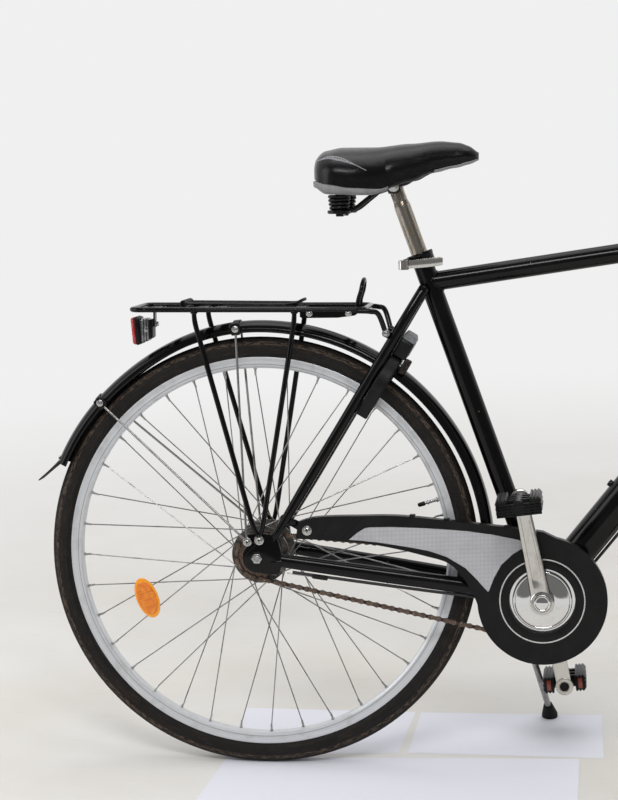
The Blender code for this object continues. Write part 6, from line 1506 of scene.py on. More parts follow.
def seat_group():
    saddle_cover()
    for side, name in SIDES:
        saddle_inset(side, name)
    saddle_base("saddle_base_rear", 0.0, 0.46, "trim", "saddle_base")
    saddle_base("saddle_base_middle", 0.461, 0.735, "abs")
    saddle_base("saddle_base_nose", 0.736, 1.0, "trim")
    saddle_springs()
    parts = [tube(rail_path(side), 0.0035, 18, domed=True) for side in (RIGHT, LEFT)]
    parts.append(rod(SPRING_FOOT - Y * 0.046, SPRING_FOOT + Y * 0.046, 0.004, 16))
    for side in (RIGHT, LEFT):
        parts.append(block(SPRING_FOOT + Y * side * 0.036, mm((12, 9, 11)), None, 0.001))
    solid("saddle_rail_wires", join(*parts), "wire", "seat", "saddle_rails", angle=50)
    head = seat_point(POST_TOP)
    jaw = lathe(both_ends(mm([(12.4, 14.5), (11.5, 15), (11.5, 28.5), (8, 30), (0, 30)])), head, Y, 36)
    cheeks = [block(head + Y * side * 0.0225 + Z * -0.0005, mm((21, 11.5, 20)),
        Matrix.Rotation(radians(-13), 3, "Y"), 0.0016) for side in (RIGHT, LEFT)]
    solid("saddle_clamp_jaws", join(jaw, *cheeks), "wire", "seat", "saddle_clamp", angle=44)
    ends = []
    for side in (RIGHT, LEFT):
        ends.append(bolt(head + Y * side * 0.029, Y * side, 0.006, 0.0052))
    solid("saddle_clamp_nuts", join(*ends), "zinc", "seat", angle=40)
    low, high = SEAT_TUBE_TOP - 0.15, POST_TOP
    post = lathe([(0.0, low), (0.0132, low), (0.0132, high - 0.036), (0.0129, high - 0.032),
        (0.0118, high - 0.0275), (0.0115, high - 0.025), (0.0115, high - 0.0045), (0.0, high - 0.0045)],
        BB, SEAT_UP, 64)
    solid("seat_post_tube", post, "post", "seat", "seat_post")


def seat_clamp():
    top, low = SEAT_TUBE_TOP, SEAT_TUBE_TOP - 0.016
    ring = lathe([(0.0166, low), (0.0197, low), (0.0206, low + 0.0008), (0.0207, low + 0.0016),
        (0.0207, top - 0.006), (0.0213, top - 0.0052), (0.0213, top - 0.001), (0.0207, top),
        (0.0166, top)], BB, SEAT_UP, 56)
    turn = Matrix.Rotation(-(pi / 2 - SEAT_ANGLE), 3, "Y")
    ears = []
    for side in (RIGHT, LEFT):
        ears.append(block(seat_point(top - 0.008, side * 0.0089, -0.0262), mm((20, 11.8, 14)), turn,
            0.0022))
    pivot = seat_point(0.571, -0.0242, -0.0277)
    skewer = rod(pivot + Y * 0.006, pivot + Y * 0.05, 0.0028, 18)
    nut = lathe(mm([(0, 39.5), (7, 39.5), (7.4, 41), (6.6, 47), (5, 48.6), (0, 48.6)]), pivot, Y, 24)
    solid("seat_clamp_ring", join(ring, *ears), "enamel", "frame", "seat_clamp_collar", angle=40)
    solid("seat_clamp_skewer", join(skewer, nut), "zinc", "frame")
    rings = []
    for k in range(21):
        s = k / 20
        ahead = 0.002 + 0.06 * s
        half = 0.0066 + 0.001 * sin(pi * s) - 0.0006 * (1 - s)
        if s > 0.97:
            half *= 1 - 3.0 * (s - 0.97)
        y = 0.0012 - 0.0032 * s - 0.003 * sin(pi * s)
        z = ahead * 0.085 + 0.0012 * s
        section = [(-1.0, -0.0004), (-0.95, -0.0015), (-0.5, -0.0022), (0.0, -0.0024), (0.5, -0.0022),
            (0.95, -0.0015), (1.0, -0.0004), (0.92, 0.0013), (0.0, 0.0016), (-0.92, 0.0013)]
        rings.append([pivot + vec(ahead, y + thick, z + half * w) for w, thick in section])
    barrel = lathe(mm([(0, -7.5), (7.4, -7.5), (8.5, -6.6), (8.5, 6.6), (7.4, 7.5), (5.2, 7.5),
        (4.6, 6.6), (0, 6.6)]), pivot, Z, 40)
    solid("seat_clamp_lever_blade", join(loft(rings), barrel), "crank", "clamp_lever",
        "seat_clamp_lever", angle=40)


seat_group()
seat_clamp()

# Frame


def weld(start, end, radius, other, along, size, bead=0.0019):
    """Bead where a tube runs into another round tube."""
    run = (end - start).normalized()
    along = along.normalized()
    u, v = across(run)
    path = []
    for k in range(40):
        turn = TAU * k / 40
        spot = start + (u * cos(turn) + v * sin(turn)) * radius
        gap = spot - other
        a = run - along * run.dot(along)
        b = gap - along * gap.dot(along)
        qa, qb, qc = a.dot(a), 2 * a.dot(b), b.dot(b) - size**2
        root = qb * qb - 4 * qa * qc
        if root < 0:
            return None
        path.append(spot + run * ((-qb - sqrt(root)) / (2 * qa)))
    return tube(path, bead, 8, closed=True)


STAY_TOP = BB + SEAT_UP * 0.5273 - SEAT_OUT * 0.008
STAY_FOOT = vec(0.026, 0, 0.03)
STAY_ALONG = (STAY_TOP - STAY_FOOT).normalized()
STAY_OUT = vec(STAY_ALONG.z, 0, -STAY_ALONG.x)


def seat_stay_path(side):
    top = STAY_TOP + Y * side * 0.0225
    foot = STAY_FOOT + Y * side * 0.0675
    bend = top.lerp(foot, 0.13)
    bend.y = side * 0.0385
    knee = top.lerp(foot, 0.8)
    knee.y = side * 0.06
    return [top, bend, knee, foot]


def fine(path, step=0.012):
    """Adds points on straight runs and rounds the corners a little."""
    out = []
    for one, two in zip(path, path[1:]):
        count = max(2, int((two - one).length / step))
        out += [one.lerp(two, k / count) for k in range(count)]
    out.append(path[-1])
    for _ in range(4):
        out = [out[0]] + [(a + b * 2 + c) / 4 for a, b, c in zip(out, out[1:], out[2:])] + [out[-1]]
    return out


def taper(path, knots):
    """Radius at each point of a path from (share, radius) pairs."""
    run = [0.0]
    for one, two in zip(path, path[1:]):
        run.append(run[-1] + (two - one).length)
    out = []
    for r in run:
        s = r / run[-1]
        for (a, one), (b, two) in zip(knots, knots[1:]):
            if s <= b + 1e-9:
                out.append(one + (two - one) * (s - a) / (b - a))
                break
    return out


def dropout(side):
    edge = []
    for k in range(17):
        turn = radians(100 + 10 * k)
        edge.append((0.024 * cos(turn), 0.024 * sin(turn)))
    edge += [(0.02, -0.0262), (0.032, -0.0262), (0.036, -0.0235), (0.0385, -0.012), (0.038, 0.01),
        (0.0345, 0.024), (0.03, 0.034), (0.024, 0.038), (0.013, 0.0392), (-0.006, 0.039),
        (-0.014, 0.0378), (-0.018, 0.036), (-0.0225, 0.031), (-0.024, 0.027)]
    low, high = sorted((side * 0.065, side * 0.071))
    plate = rounded(slab(edge, low, high), 0.0012, 2, 50)
    rings = []
    for x, z in ((0.004, 0.0293), (-0.0154, 0.0262)):
        rings.append(lathe(mm([(3, 0), (6.2, 0), (6.2, 1), (5.4, 1.4), (3, 1.4)]),
            vec(x, side * 0.071, z), Y * side, 28))
    return join(plate, *rings)


def chain_stay_path(side):
    start = vec(0.03, side * 0.063, -0.004)
    end = vec(BB.x - 0.0042, side * 0.031, BB.z + 0.002)
    spots = [start]
    for share, y in ((0.41, 0.0505), (0.745, 0.036)):
        spot = start.lerp(end, share)
        spots.append(vec(spot.x, side * y, spot.z))
    return fine(spots + [end])


STAND_PIVOT = vec(BB.x - 0.0417, 0.028, BB.z - 0.04)


def down_tube_line():
    """Upper end of the down tube, the way up along it and the way out over it."""
    joint = steer_point(0, 0, HEAD_LOW + 0.062)
    along = (joint - BB).normalized()
    over = along.cross(Y).normalized()
    return joint, along, -over if over.z < 0 else over


def frame_tubes():
    top = SEAT_TUBE_TOP
    seat = lathe([(0.0135, 0.0), (SEAT_TUBE, 0.0), (SEAT_TUBE, top - 0.0005), (0.0158, top),
        (0.0135, top)], BB, SEAT_UP, 56)
    solid("seat_tube_enamel", seat, "enamel", "frame", "seat_tube")
    shell = lathe(both_ends(mm([(21, 35.5), (20.2, 36.5), (16.6, 36.5)])), BB, Y, 56)
    solid("bottom_bracket_enamel", shell, "enamel", "frame", "bottom_bracket_shell")
    low, high = HEAD_LOW, HEAD_HIGH
    head = lathe([(0.015, low - 0.0137), (0.021, low - 0.0137), (0.0222, low - 0.0125),
        (0.0225, low - 0.004), (0.0215, low - 0.0022), (0.0198, low - 0.001), (0.0196, low + 0.006),
        (0.019, low + 0.01), (0.019, high - 0.01), (0.0196, high - 0.006), (0.0198, high + 0.001),
        (0.0215, high + 0.0022), (0.0225, high + 0.004), (0.0222, high + 0.0125),
        (0.021, high + 0.0137), (0.015, high + 0.0137)], STEER_BASE, STEER_UP, 56)
    solid("head_tube_enamel", head, "enamel", "frame", "head_tube", angle=50)
    start, end = seat_point(0.5313), steer_point(0, 0, 0.569626)
    solid("top_tube_enamel", rod(start, end, TOP_TUBE, 56), "enamel", "frame", "top_tube")
    finish, along, over = down_tube_line()
    run = [BB + along * a for a in (0.002, 0.02, 0.045, 0.062, 0.072, 0.08)] + [finish]
    down = tube(run, mm([18.9, 20.3, 23.7, 26.2, 27.1, 27.5, 27.5]), 56)
    solid("down_tube_enamel", down, "enamel", "frame", "down_tube")
    bosses, screws = [], []
    for at in (0.207, 0.271):
        base = BB + along * at + over * 0.0235
        bosses.append(lathe(mm([(0, 0), (5.6, 0), (5.6, 8), (5, 8.9), (3, 9), (3, 5), (0, 5)]), base,
            over, 28))
        screws.append(lathe(mm([(0, 6), (2.6, 6), (2.6, 8.4), (0, 8.4)]), base, over, 20))
    guide = BB + along * 0.178 - over * 0.0265 + Y * 0.0042
    bosses.append(rod(guide - along * 0.008, guide + along * 0.008, 0.0045, 18))
    solid("bottle_bosses", join(*bosses), "enamel", "frame")
    solid("bottle_boss_screws", join(*screws), "zinc", "frame")
    beads = [weld(end, start, TOP_TUBE, BB, SEAT_UP, SEAT_TUBE),
        weld(start, end, TOP_TUBE, STEER_BASE, STEER_UP, HEAD_TUBE),
        weld(BB + along * 0.3, finish, DOWN_TUBE, STEER_BASE, STEER_UP, HEAD_TUBE),
        weld(seat_point(0.2), BB, SEAT_TUBE, BB, Y, BB_SHELL),
        weld(BB + along * 0.045, BB, 0.0205, BB, Y, BB_SHELL)]
    solid("frame_weld_beads", join(*[b for b in beads if b]), "enamel", "frame", angle=70)
    for side, name in SIDES:
        path = chain_stay_path(side)
        radii = taper(path, [(0.0, 0.009), (0.41, 0.0102), (0.745, 0.0105), (1.0, 0.0105)])
        parts = [tube(path, radii, 32, flat=1.22, face=Y), dropout(side)]
        tongue = [vec(0.02, side * 0.0672, -0.0075), vec(0.036, side * 0.065, -0.0065),
            vec(0.052, side * 0.0618, -0.0085)]
        parts.append(tube(tongue, mm([5.2, 7.5, 6]), 24, flat=0.7, domed=True))
        if side == LEFT:
            x = STAND_PIVOT.x
            parts.append(hull([vec(x + dx, y, z) for dx in (-0.022, 0.014) for y,
                z in ((-0.018, BB.z - 0.014), (0.034, BB.z - 0.014), (-0.018, BB.z - 0.009),
                (0.034, BB.z - 0.002))], 0.0015))
            parts.append(hull([vec(x + dx, y, BB.z - 0.012) for dx in (-0.01, 0.01)
                for y in (-0.002, 0.014)] + disc_points(STAND_PIVOT - STAND_AXIS * 0.009, 0.0085,
                STAND_AXIS, 16), 0.001))
            parts.append(rounded(rod(STAND_PIVOT - STAND_AXIS * 0.012, STAND_PIVOT + STAND_AXIS * 0.001,
                0.0125, 36), 0.0008))
        solid("chain_stay_enamel_" + name, join(*parts), "enamel", "frame", "chain_stay_" + name,
            angle=44)
        path = fine(seat_stay_path(side))
        radii = taper(path, [(0.0, 0.0085), (0.8, 0.0085), (1.0, 0.0065)])
        parts = [tube(path, radii, 32, domed=True)]
        foot = path[-1]
        parts.append(tube([foot + (path[-4] - foot) * 0.7, foot - Z * 0.004 + X * -0.001],
            [0.0062, 0.004], 24, flat=0.8, domed=True))
        if side == RIGHT:
            parts += guard_bracket()
        else:
            middle = bridge_point(0.3845)
            parts.append(rod(middle - Y * 0.046, middle + Y * 0.046, 0.0055))
        solid("seat_stay_enamel_" + name, join(*parts), "enamel", "frame", "seat_stay_" + name,
            angle=44)


def bridge_point(radius):
    offset = STAY_FOOT.dot(STAY_OUT)
    return STAY_OUT * offset + STAY_ALONG * sqrt(radius**2 - offset**2)


def stay_at(height, side):
    bend, knee = seat_stay_path(side)[1:3]
    return bend.lerp(knee, (bend.z - height) / (bend.z - knee.z))


def guard_bracket():
    inner = -0.0557
    thick = Y * 0.0025
    spots = [(vec(0.0782, inner, 0.0429), 0.0078, 1), (vec(0.056, inner, 0.0545), 0.0065, 1),
        (vec(0.042, -0.0655, 0.063), 0.0062, 2)]
    out = []
    for one, two in zip(spots, spots[1:]):
        points = []
        for spot, size, k in (one, two):
            points += disc_points(spot, size, Y, 28) + disc_points(spot + thick * k, size, Y, 28)
        out.append(hull(points, 0.0006))
    return out


def axle_nuts():
    parts = [tube([-Y * 0.0822, -Y * 0.0815, Y * 0.0815, Y * 0.0822], mm([4.2, 4.8, 4.8, 4.2]), 24)]
    darks = []
    for side in (RIGHT, LEFT):
        face = Y * side * 0.0713
        nut = rounded(tube([face + Y * side * 0.0018, face + Y * side * 0.008], 0.0088, 6), 0.0008)
        collar = lathe(mm([(0, 7.5), (7.2, 7.5), (6.8, 8.6), (5.2, 8.8), (0, 8.8)]), face, Y * side, 28)
        parts += [nut, collar]
        darks.append(lathe(mm([(5, 0), (10.2, 0), (10.2, 1.4), (9.6, 1.8), (5, 1.8)]), face, Y * side,
            36))
    solid("rear_axle_and_nuts", join(*parts), "zinc", "frame", "rear_axle", angle=40)
    solid("rear_axle_washers", join(*darks), "rubber", "frame")


FOLDED = vec(-0.985, 0.12, 0.12).normalized()
UP_TRUE = vec(0, -sin(LEAN), cos(LEAN))
GROUND = Vector(JOINTS["crank_spin"]["pos_m"]).z
FOOT_REACH = 0.22
FOOT_Z = (FOOT_REACH * sin(LEAN) + BB.dot(UP_TRUE) - GROUND) / cos(LEAN)
FOOT = vec(BB.x + 0.0075, FOOT_REACH, FOOT_Z)
STAND_AXIS = (FOOT - STAND_PIVOT).normalized().cross(FOLDED).normalized()

frame_tubes()
axle_nuts()

# Rack, lamp and spring clip

LAMP_X, LAMP_Z = -0.1736, 0.3585
RAIL_Y = 0.0658


def rack_loop(z, corner):
    path = []
    for x, y, start in ((0.172, LEFT, 0), (-0.2, LEFT, 90), (-0.2, RIGHT, 180), (0.172, RIGHT, 270)):
        cx = x - corner if x > 0 else x + corner
        for k in range(10):
            turn = radians(start + 10 * k)
            path.append(vec(cx + corner * cos(turn), y * (RAIL_Y - corner) + corner * sin(turn), z))
    return path


def rack():
    z = RACK_HEIGHT
    parts = [tube(rack_loop(z, 0.016), 0.0042, 24, closed=True, face=Z)]
    for x in (LAMP_X, -0.098, -0.068, 0.062):
        parts.append(block(vec(x, 0, z - 0.0015), mm((18, 135, 3)), None, 0.0011))
    hoop = [vec(0.158, -0.021, z - 0.001), vec(0.1585, -0.0212, z + 0.012)]
    for up, half in ((0.62, 0.5), (0.82, 0.44), (0.93, 0.31), (1.0, 0.12)):
        hoop.append(vec(0.158 + 0.008 * up, -0.042 * half, z + 0.044 * up))
    hoop += [vec(spot.x, -spot.y, spot.z) for spot in reversed(hoop)]
    parts.append(tube(smooth_path(hoop, 60), 0.0035, 20))
    parts.append(block(vec(0.158, 0, z - 0.0015), mm((10, 135, 3)), None, 0.001))
    bolts = []
    for side in (RIGHT, LEFT):
        outer = side * (RAIL_Y + 0.001)
        parts.append(slab([(0.071, z + 0.001), (0.071, z - 0.011), (0.074, z - 0.013),
            (0.131, z - 0.0125), (0.158, z - 0.009), (0.162, z - 0.006), (0.162, z + 0.001)],
            outer - 0.0015, outer + 0.0015))
        for x in (0.086, 0.148):
            bolts.append(bolt(vec(x, outer + side * 0.0013, z - 0.0058), Y * side, 0.0034, 0.003,
                "dome"))
        end = stay_at(z - 0.046, side) - STAY_OUT * 0.0145 + Y * side * 0.004
        arm = smooth_path([vec(0.146, side * (RAIL_Y - 0.001), z - 0.002),
            vec(0.164, side * (RAIL_Y - 0.001), z - 0.002),
            vec(0.182, side * (RAIL_Y - 0.003), z - 0.003),
            vec(0.194, side * (RAIL_Y - 0.009), z - 0.008), end,], 40)
        parts.append(tube(arm, 0.0042, 20, domed=True))
        parts.append(rounded(rod(end - STAY_OUT * 0.0035, end + STAY_OUT * 0.0075, 0.006, 28), 0.0008))
        bolts.append(bolt(end + Y * side * 0.0048, Y * side, 0.004, 0.0048))
    parts.append(hull([vec(LAMP_X + dx, y, up) for dx in (-0.0012, 0.0012) for y in (-0.009, 0.009)
        for up in (z - 0.002, LAMP_Z + 0.006)], 0.0005))
    solid("rack_platform_wire", join(*parts), "enamel", "frame", "rack_frame", angle=50)
    stud = vec(LAMP_X, 0, LAMP_Z + 0.01)
    bolts.append(bolt(stud + X * 0.001, X, 0.004, 0.005))
    solid("rack_bolts", join(*bolts), "zinc", "frame", angle=40)
    for side, name in SIDES:
        foot = vec(0.004, side * 0.0743, 0.0293)
        legs = []
        for x in (-0.098, 0.062):
            top = vec(x, side * RAIL_Y, z - 0.0045)
            ankle = foot + vec(0.01 * (-1 if x < 0 else 0.6), side * 0.0016, 0.022)
            path = fine([top, top - Z * 0.012, ankle, foot + Z * 0.002], 0.006)
            radii = taper(path, [(0.0, 0.0038), (0.04, 0.0042), (0.93, 0.0042), (1.0, 0.0032)])
            legs.append(tube(path, radii, 20))
            legs.append(lathe(mm([(0, -1), (5.6, -1), (6, 0), (5.4, 3), (0, 3.4)]), top + Z * 0.0014,
                -Z, 24))
        legs.append(rounded(rod(foot - Y * side * 0.003, foot + Y * side * 0.0022, 0.0086, 32), 0.0006))
        solid("rack_leg_rods_" + name, join(*legs), "enamel", "frame", "rack_legs_" + name, angle=50)
        screw("rack_leg_bolt_" + name, "rack_leg_bolt_slots_" + name, foot + Y * side * 0.0022,
            Y * side, 0.005, 0.0042)


def spring_clip():
    pivot = vec(-0.121, 0, RACK_HEIGHT + 0.0072)
    parts = []
    for side in (RIGHT, LEFT):
        path = smooth_path([pivot + vec(0.002, side * 0.03, 0),
            pivot + vec(0.075, side * 0.03, -0.0006), pivot + vec(0.15, side * 0.03, -0.0012),
            pivot + vec(0.176, side * 0.0225, -0.0006), pivot + vec(0.188, side * 0.01, 0.0045),
            pivot + vec(0.192, -side * 0.001, 0.006),], 60)
        parts.append(tube(path, 0.0026, 16))
    coil = []
    for k in range(301):
        s = k / 300
        turn = TAU * 12 * s
        coil.append(pivot + vec(0.0043 * cos(turn), -0.035 + 0.07 * s, 0.0043 * sin(turn)))
    parts.append(tube(coil, 0.0019, 10, domed=True))
    parts.append(rod(pivot - Y * 0.0352, pivot + Y * 0.0352, 0.0024, 14))
    solid("rack_clip_wire", join(*parts), "wire", "rack_clip", "rack_spring_clip", angle=60)


def lamp():
    x, z, tilt = LAMP_X - 0.0015, LAMP_Z, 0.085

    def box(spans, turn, width, soft=3):
        spots = []
        for ahead, half, low, high in spans:
            for y in (-half, half):
                for up in (low, high):
                    spots.append(vec(x + ahead - (up - z) * turn, y, up))
        return rounded(hull(spots), width, soft)

    frame_part = box(((-0.0276, 0.023, z - 0.0238, z + 0.0228),
        (-0.019, 0.0212, z - 0.0214, z + 0.0204)), tilt, 0.003)
    neck = box(((-0.007, 0.0165, z - 0.0155, z + 0.0178), (0.0, 0.014, z - 0.012, z + 0.017)), 0.0,
        0.002)
    solid("lamp_frame", join(frame_part, neck), "abs", "frame", "rear_lamp_body", angle=44)
    shell = box(((-0.02, 0.02, z - 0.0198, z + 0.019), (-0.006, 0.0168, z - 0.0158, z + 0.018)), 0.02,
        0.0026)
    solid("lamp_shell", shell, "clear", "frame", angle=44)
    ribs = [box(((-0.0185 + 0.0042 * k, 0.0203 - 0.0009 * k, z - 0.0195 + 0.001 * k, z + 0.0188),
        (-0.0173 + 0.0042 * k, 0.0203 - 0.0009 * k, z - 0.0195 + 0.001 * k, z + 0.0188)), 0.02, 0.0004,
        1) for k in range(3)]
    solid("lamp_shell_ribs", join(*ribs), "abs", "frame")
    lens = box(((-0.0335, 0.0205, z - 0.021, z + 0.02), (-0.027, 0.0226, z - 0.0232, z + 0.0222)), tilt,
        0.0026)
    solid("lamp_lens", lens, "lens", "frame", "rear_lamp_lens", angle=44)
    bars = [hull([vec(x + a - (up - z) * tilt, y, up) for a in (-0.0343, -0.0325)
        for y in (-0.0165, 0.0165) for up in (z + h, z + h + 0.0012)], 0.0004)
        for h in (-0.014, -0.007, 0.0, 0.007, 0.014)]
    solid("lamp_lens_ribs", join(*bars), "lens", "frame")
    screw("lamp_screw", "lamp_screw_slots", vec(x - 0.011, -0.0178, z + 0.0015), -Y, 0.0026, 0.0024)


rack()
spring_clip()
lamp()

# Mudguards


def guard_off(angle):
    """How far the rear mudguard stands off a true circle: its rear part is closer to the tyre."""
    share = min(max((angle - 93.0) / 42.0, 0.0), 1.0)
    return -0.0085 * share * share * (3 - 2 * share)


def uneven(shape):
    """The rear mudguard, nearer to the tyre at its rear than in front."""
    out = []
    for c in shape[0]:
        away = vec(c.x, 0, c.z).normalized()
        out.append(c + away * guard_off(math.degrees(math.atan2(c.z, c.x))))
    return out, shape[1]


def guard_section():
    half = GUARD_WIDTH / 2
    outer, inner = [], []
    for k in range(29):
        turn = pi * k / 28
        c, s = cos(turn), sin(turn)
        outer.append((GUARD_LOW + (GUARD_HIGH - GUARD_LOW) * s**0.75, half * c))
        inner.append((GUARD_LOW + (GUARD_HIGH - GUARD_LOW - 0.0016) * s**0.75, (half - 0.0016) * c))
    return outer + inner[::-1]


def mudguard(name, node, centre, start, end, steps, body, extra=()):
    sweep = end - start
    shell = lathe(guard_section(), centre, -Y, steps, first=X, arc=(start, sweep))
    parts = [shell]
    for y in (-1, 1):
        edge = [polar(centre, GUARD_LOW + 0.0008, start + sweep * k / steps, y * 0.0246)
            for k in range(steps + 1)]
        parts.append(tube(edge, 0.0015, 10, domed=True))
    for at in (start + 0.15, end - 0.15):
        rim = [polar(centre, r - 0.0008, at, y * 0.98) for r, y in guard_section()[:29]]
        parts.append(tube(rim, 0.0012, 8, domed=True))
    shape = uneven(join(*parts)) if centre == AXLE else join(*parts)
    solid(name, join(shape, *extra), "enamel", body, node, angle=50)


def flap():
    rows = []
    for k in range(13):
        s = k / 12
        angle = 154.5 + 8.3 * s
        radius = 0.3655 - 0.0022 + 0.0222 * s**1.4
        wide = 0.0195 + 0.0016 * s - 0.005 * max(0.0, (s - 0.85) / 0.15) ** 2
        bend = 0.0065 * (1 - s) ** 1.5
        row = []
        for j in range(13):
            w = -1 + j / 6
            row.append(polar(AXLE, radius - bend * w * w, angle, wide * w))
        for j in range(13):
            w = 1 - j / 6
            row.append(polar(AXLE, radius - bend * w * w - 0.0022, angle, wide * w))
        rows.append(row)
    solid("mud_flap", loft(rows), "rubber", "frame", angle=50)
    rivets = [lathe(mm([(0, -0.5), (3.4, -0.5), (3.4, 0.6), (2.4, 1.4), (0, 1.6)]),
        polar(AXLE, 0.366, 155.6, y), polar(AXLE, 1.0, 155.6), 20) for y in (-0.009, 0.009)]
    solid("mud_flap_rivets", join(*rivets), "zinc", "frame")


def stays(name, node, centre, eye, clips, side, body):
    wires, holders, bolts = [], [], []
    for angle in clips:
        face = GUARD_WIDTH / 2 + 0.0003
        low = polar(centre, 0.354 + guard_off(angle), angle, side * (face + 0.0035))
        out = polar(vec(0, 0, 0), 1.0, angle)
        along = vec(-out.z, 0, out.x)
        holders.append(hull([low + out * o + along * a + Y * side * s for o,
            wide in ((0.0, 0.006), (0.003, 0.008), (0.016, 0.008), (0.019, 0.006))
            for a in (-wide, wide) for s in (-0.0035, 0.0028)], 0.0009))
        start = eye + Y * side * 0.0034
        path = fine([start, start + out * 0.02, low + out * 0.0062], 0.008)
        wires.append(tube(path, 0.0019, 14, domed=True))
        bolts.append(bolt(low + out * 0.0098 + Y * side * 0.0026, Y * side, 0.0036, 0.0036))
        wires.append(tube([start + along * 0.0052 * cos(TAU * k / 20) + out * 0.0052
            * sin(TAU * k / 20) for k in range(20)], 0.0018, 12, closed=True))
    screw_at = (eye + Y * side * 0.0042, Y * side, 0.0046, 0.0042)
    bolts.append(bolt(*screw_at, "dome"))
    solid(name + "_wires", join(*wires), "spoke", body, node, angle=60)
    solid(name + "_holders", join(*holders), "abs", body)
    solid(name + "_bolts", join(*bolts), "zinc", body, angle=40)
    # Dark bars over the dome screw: painted shade in its slots
    solid(name + "_bolt_slots", slot_shade_bars(*screw_at), "rubber", body)


def strap(angle):
    """Band of a stay clip over the mudguard's crown."""
    section = [(r + 0.0006, y * 1.03) for r, y in guard_section()[:29]]
    section += [(r + 0.0024, y * 1.12) for r, y in guard_section()[28::-1]]
    return lathe(section, AXLE, -Y, 3, first=X, arc=(angle - 0.75, 1.5))


def rear_guard():
    solid("mudguard_clip_straps", uneven(join(strap(137.0), strap(96.0))), "abs", "frame", angle=40)
    mudguard("rear_mudguard_shell", "rear_mudguard", AXLE, -7.0, 156.7, 150, "frame")
    flap()
    for side, name in SIDES:
        eye = vec(-0.0154, side * 0.0713, 0.0262)
        stays("mudguard_stay_" + name, "mudguard_stays_" + name, AXLE, eye, (137.0, 96.0), side,
            "frame")


def front_guard():
    extra, bolts = [], []
    for side in (RIGHT, LEFT):
        eye = FRONT_AXLE + vec(-0.016, side * 0.066, 0.026)
        for angle in (198.0, 166.0):
            spot = polar(FRONT_AXLE, GUARD_LOW + 0.004, angle, side * (GUARD_WIDTH / 2 - 0.0004))
            start = eye + Y * side * 0.0014
            flat = spot - start
            flat = vec(flat.x, 0, flat.z).normalized()
            extra.append(tube(fine([start, start + flat * 0.04, spot], 0.01), 0.0019, 14, domed=True))
            bolts.append(bolt(spot + Y * side * 0.0006, Y * side, 0.0032, 0.003))
        extra.append(rounded(rod(eye - Y * side * 0.002, eye + Y * side * 0.003, 0.0055, 24), 0.0005))
        bolts.append(bolt(eye + Y * side * 0.003, Y * side, 0.0042, 0.0034, "dome"))
    low = GUARD_HIGH - 0.002
    extra.append(hull([steer_point(FORK_RAKE - sqrt(low**2 - up**2), y, up) for y in (-0.007, 0.007)
        for up in (0.352, 0.366)] + [steer_point(o, y, 0.384) for o in (-0.006, 0.004)
        for y in (-0.007, 0.007)], 0.0008))
    mudguard("front_mudguard_shell", "front_mudguard", FRONT_AXLE, 26.0, 206.0, 150, "steering", extra)
    solid("front_mudguard_bolts", join(*bolts), "zinc", "steering", angle=40)


rear_guard()
front_guard()

# Ring lock

LOCK_OUT, LOCK_ALONG = STAY_ALONG, -STAY_OUT
LOCK_SPOT = STAY_ALONG * 0.337 + STAY_OUT * (STAY_FOOT.dot(STAY_OUT) + 0.0085 + 0.0003 + 0.01)
LOCK_SIGN = 1 if LOCK_ALONG.cross(LOCK_OUT).y < 0 else -1


def lock_at(radius, degrees, along=0.0):
    turn = Matrix.Rotation(radians(degrees), 3, LOCK_ALONG)
    return LOCK_SPOT + turn @ LOCK_OUT * radius + LOCK_ALONG * along


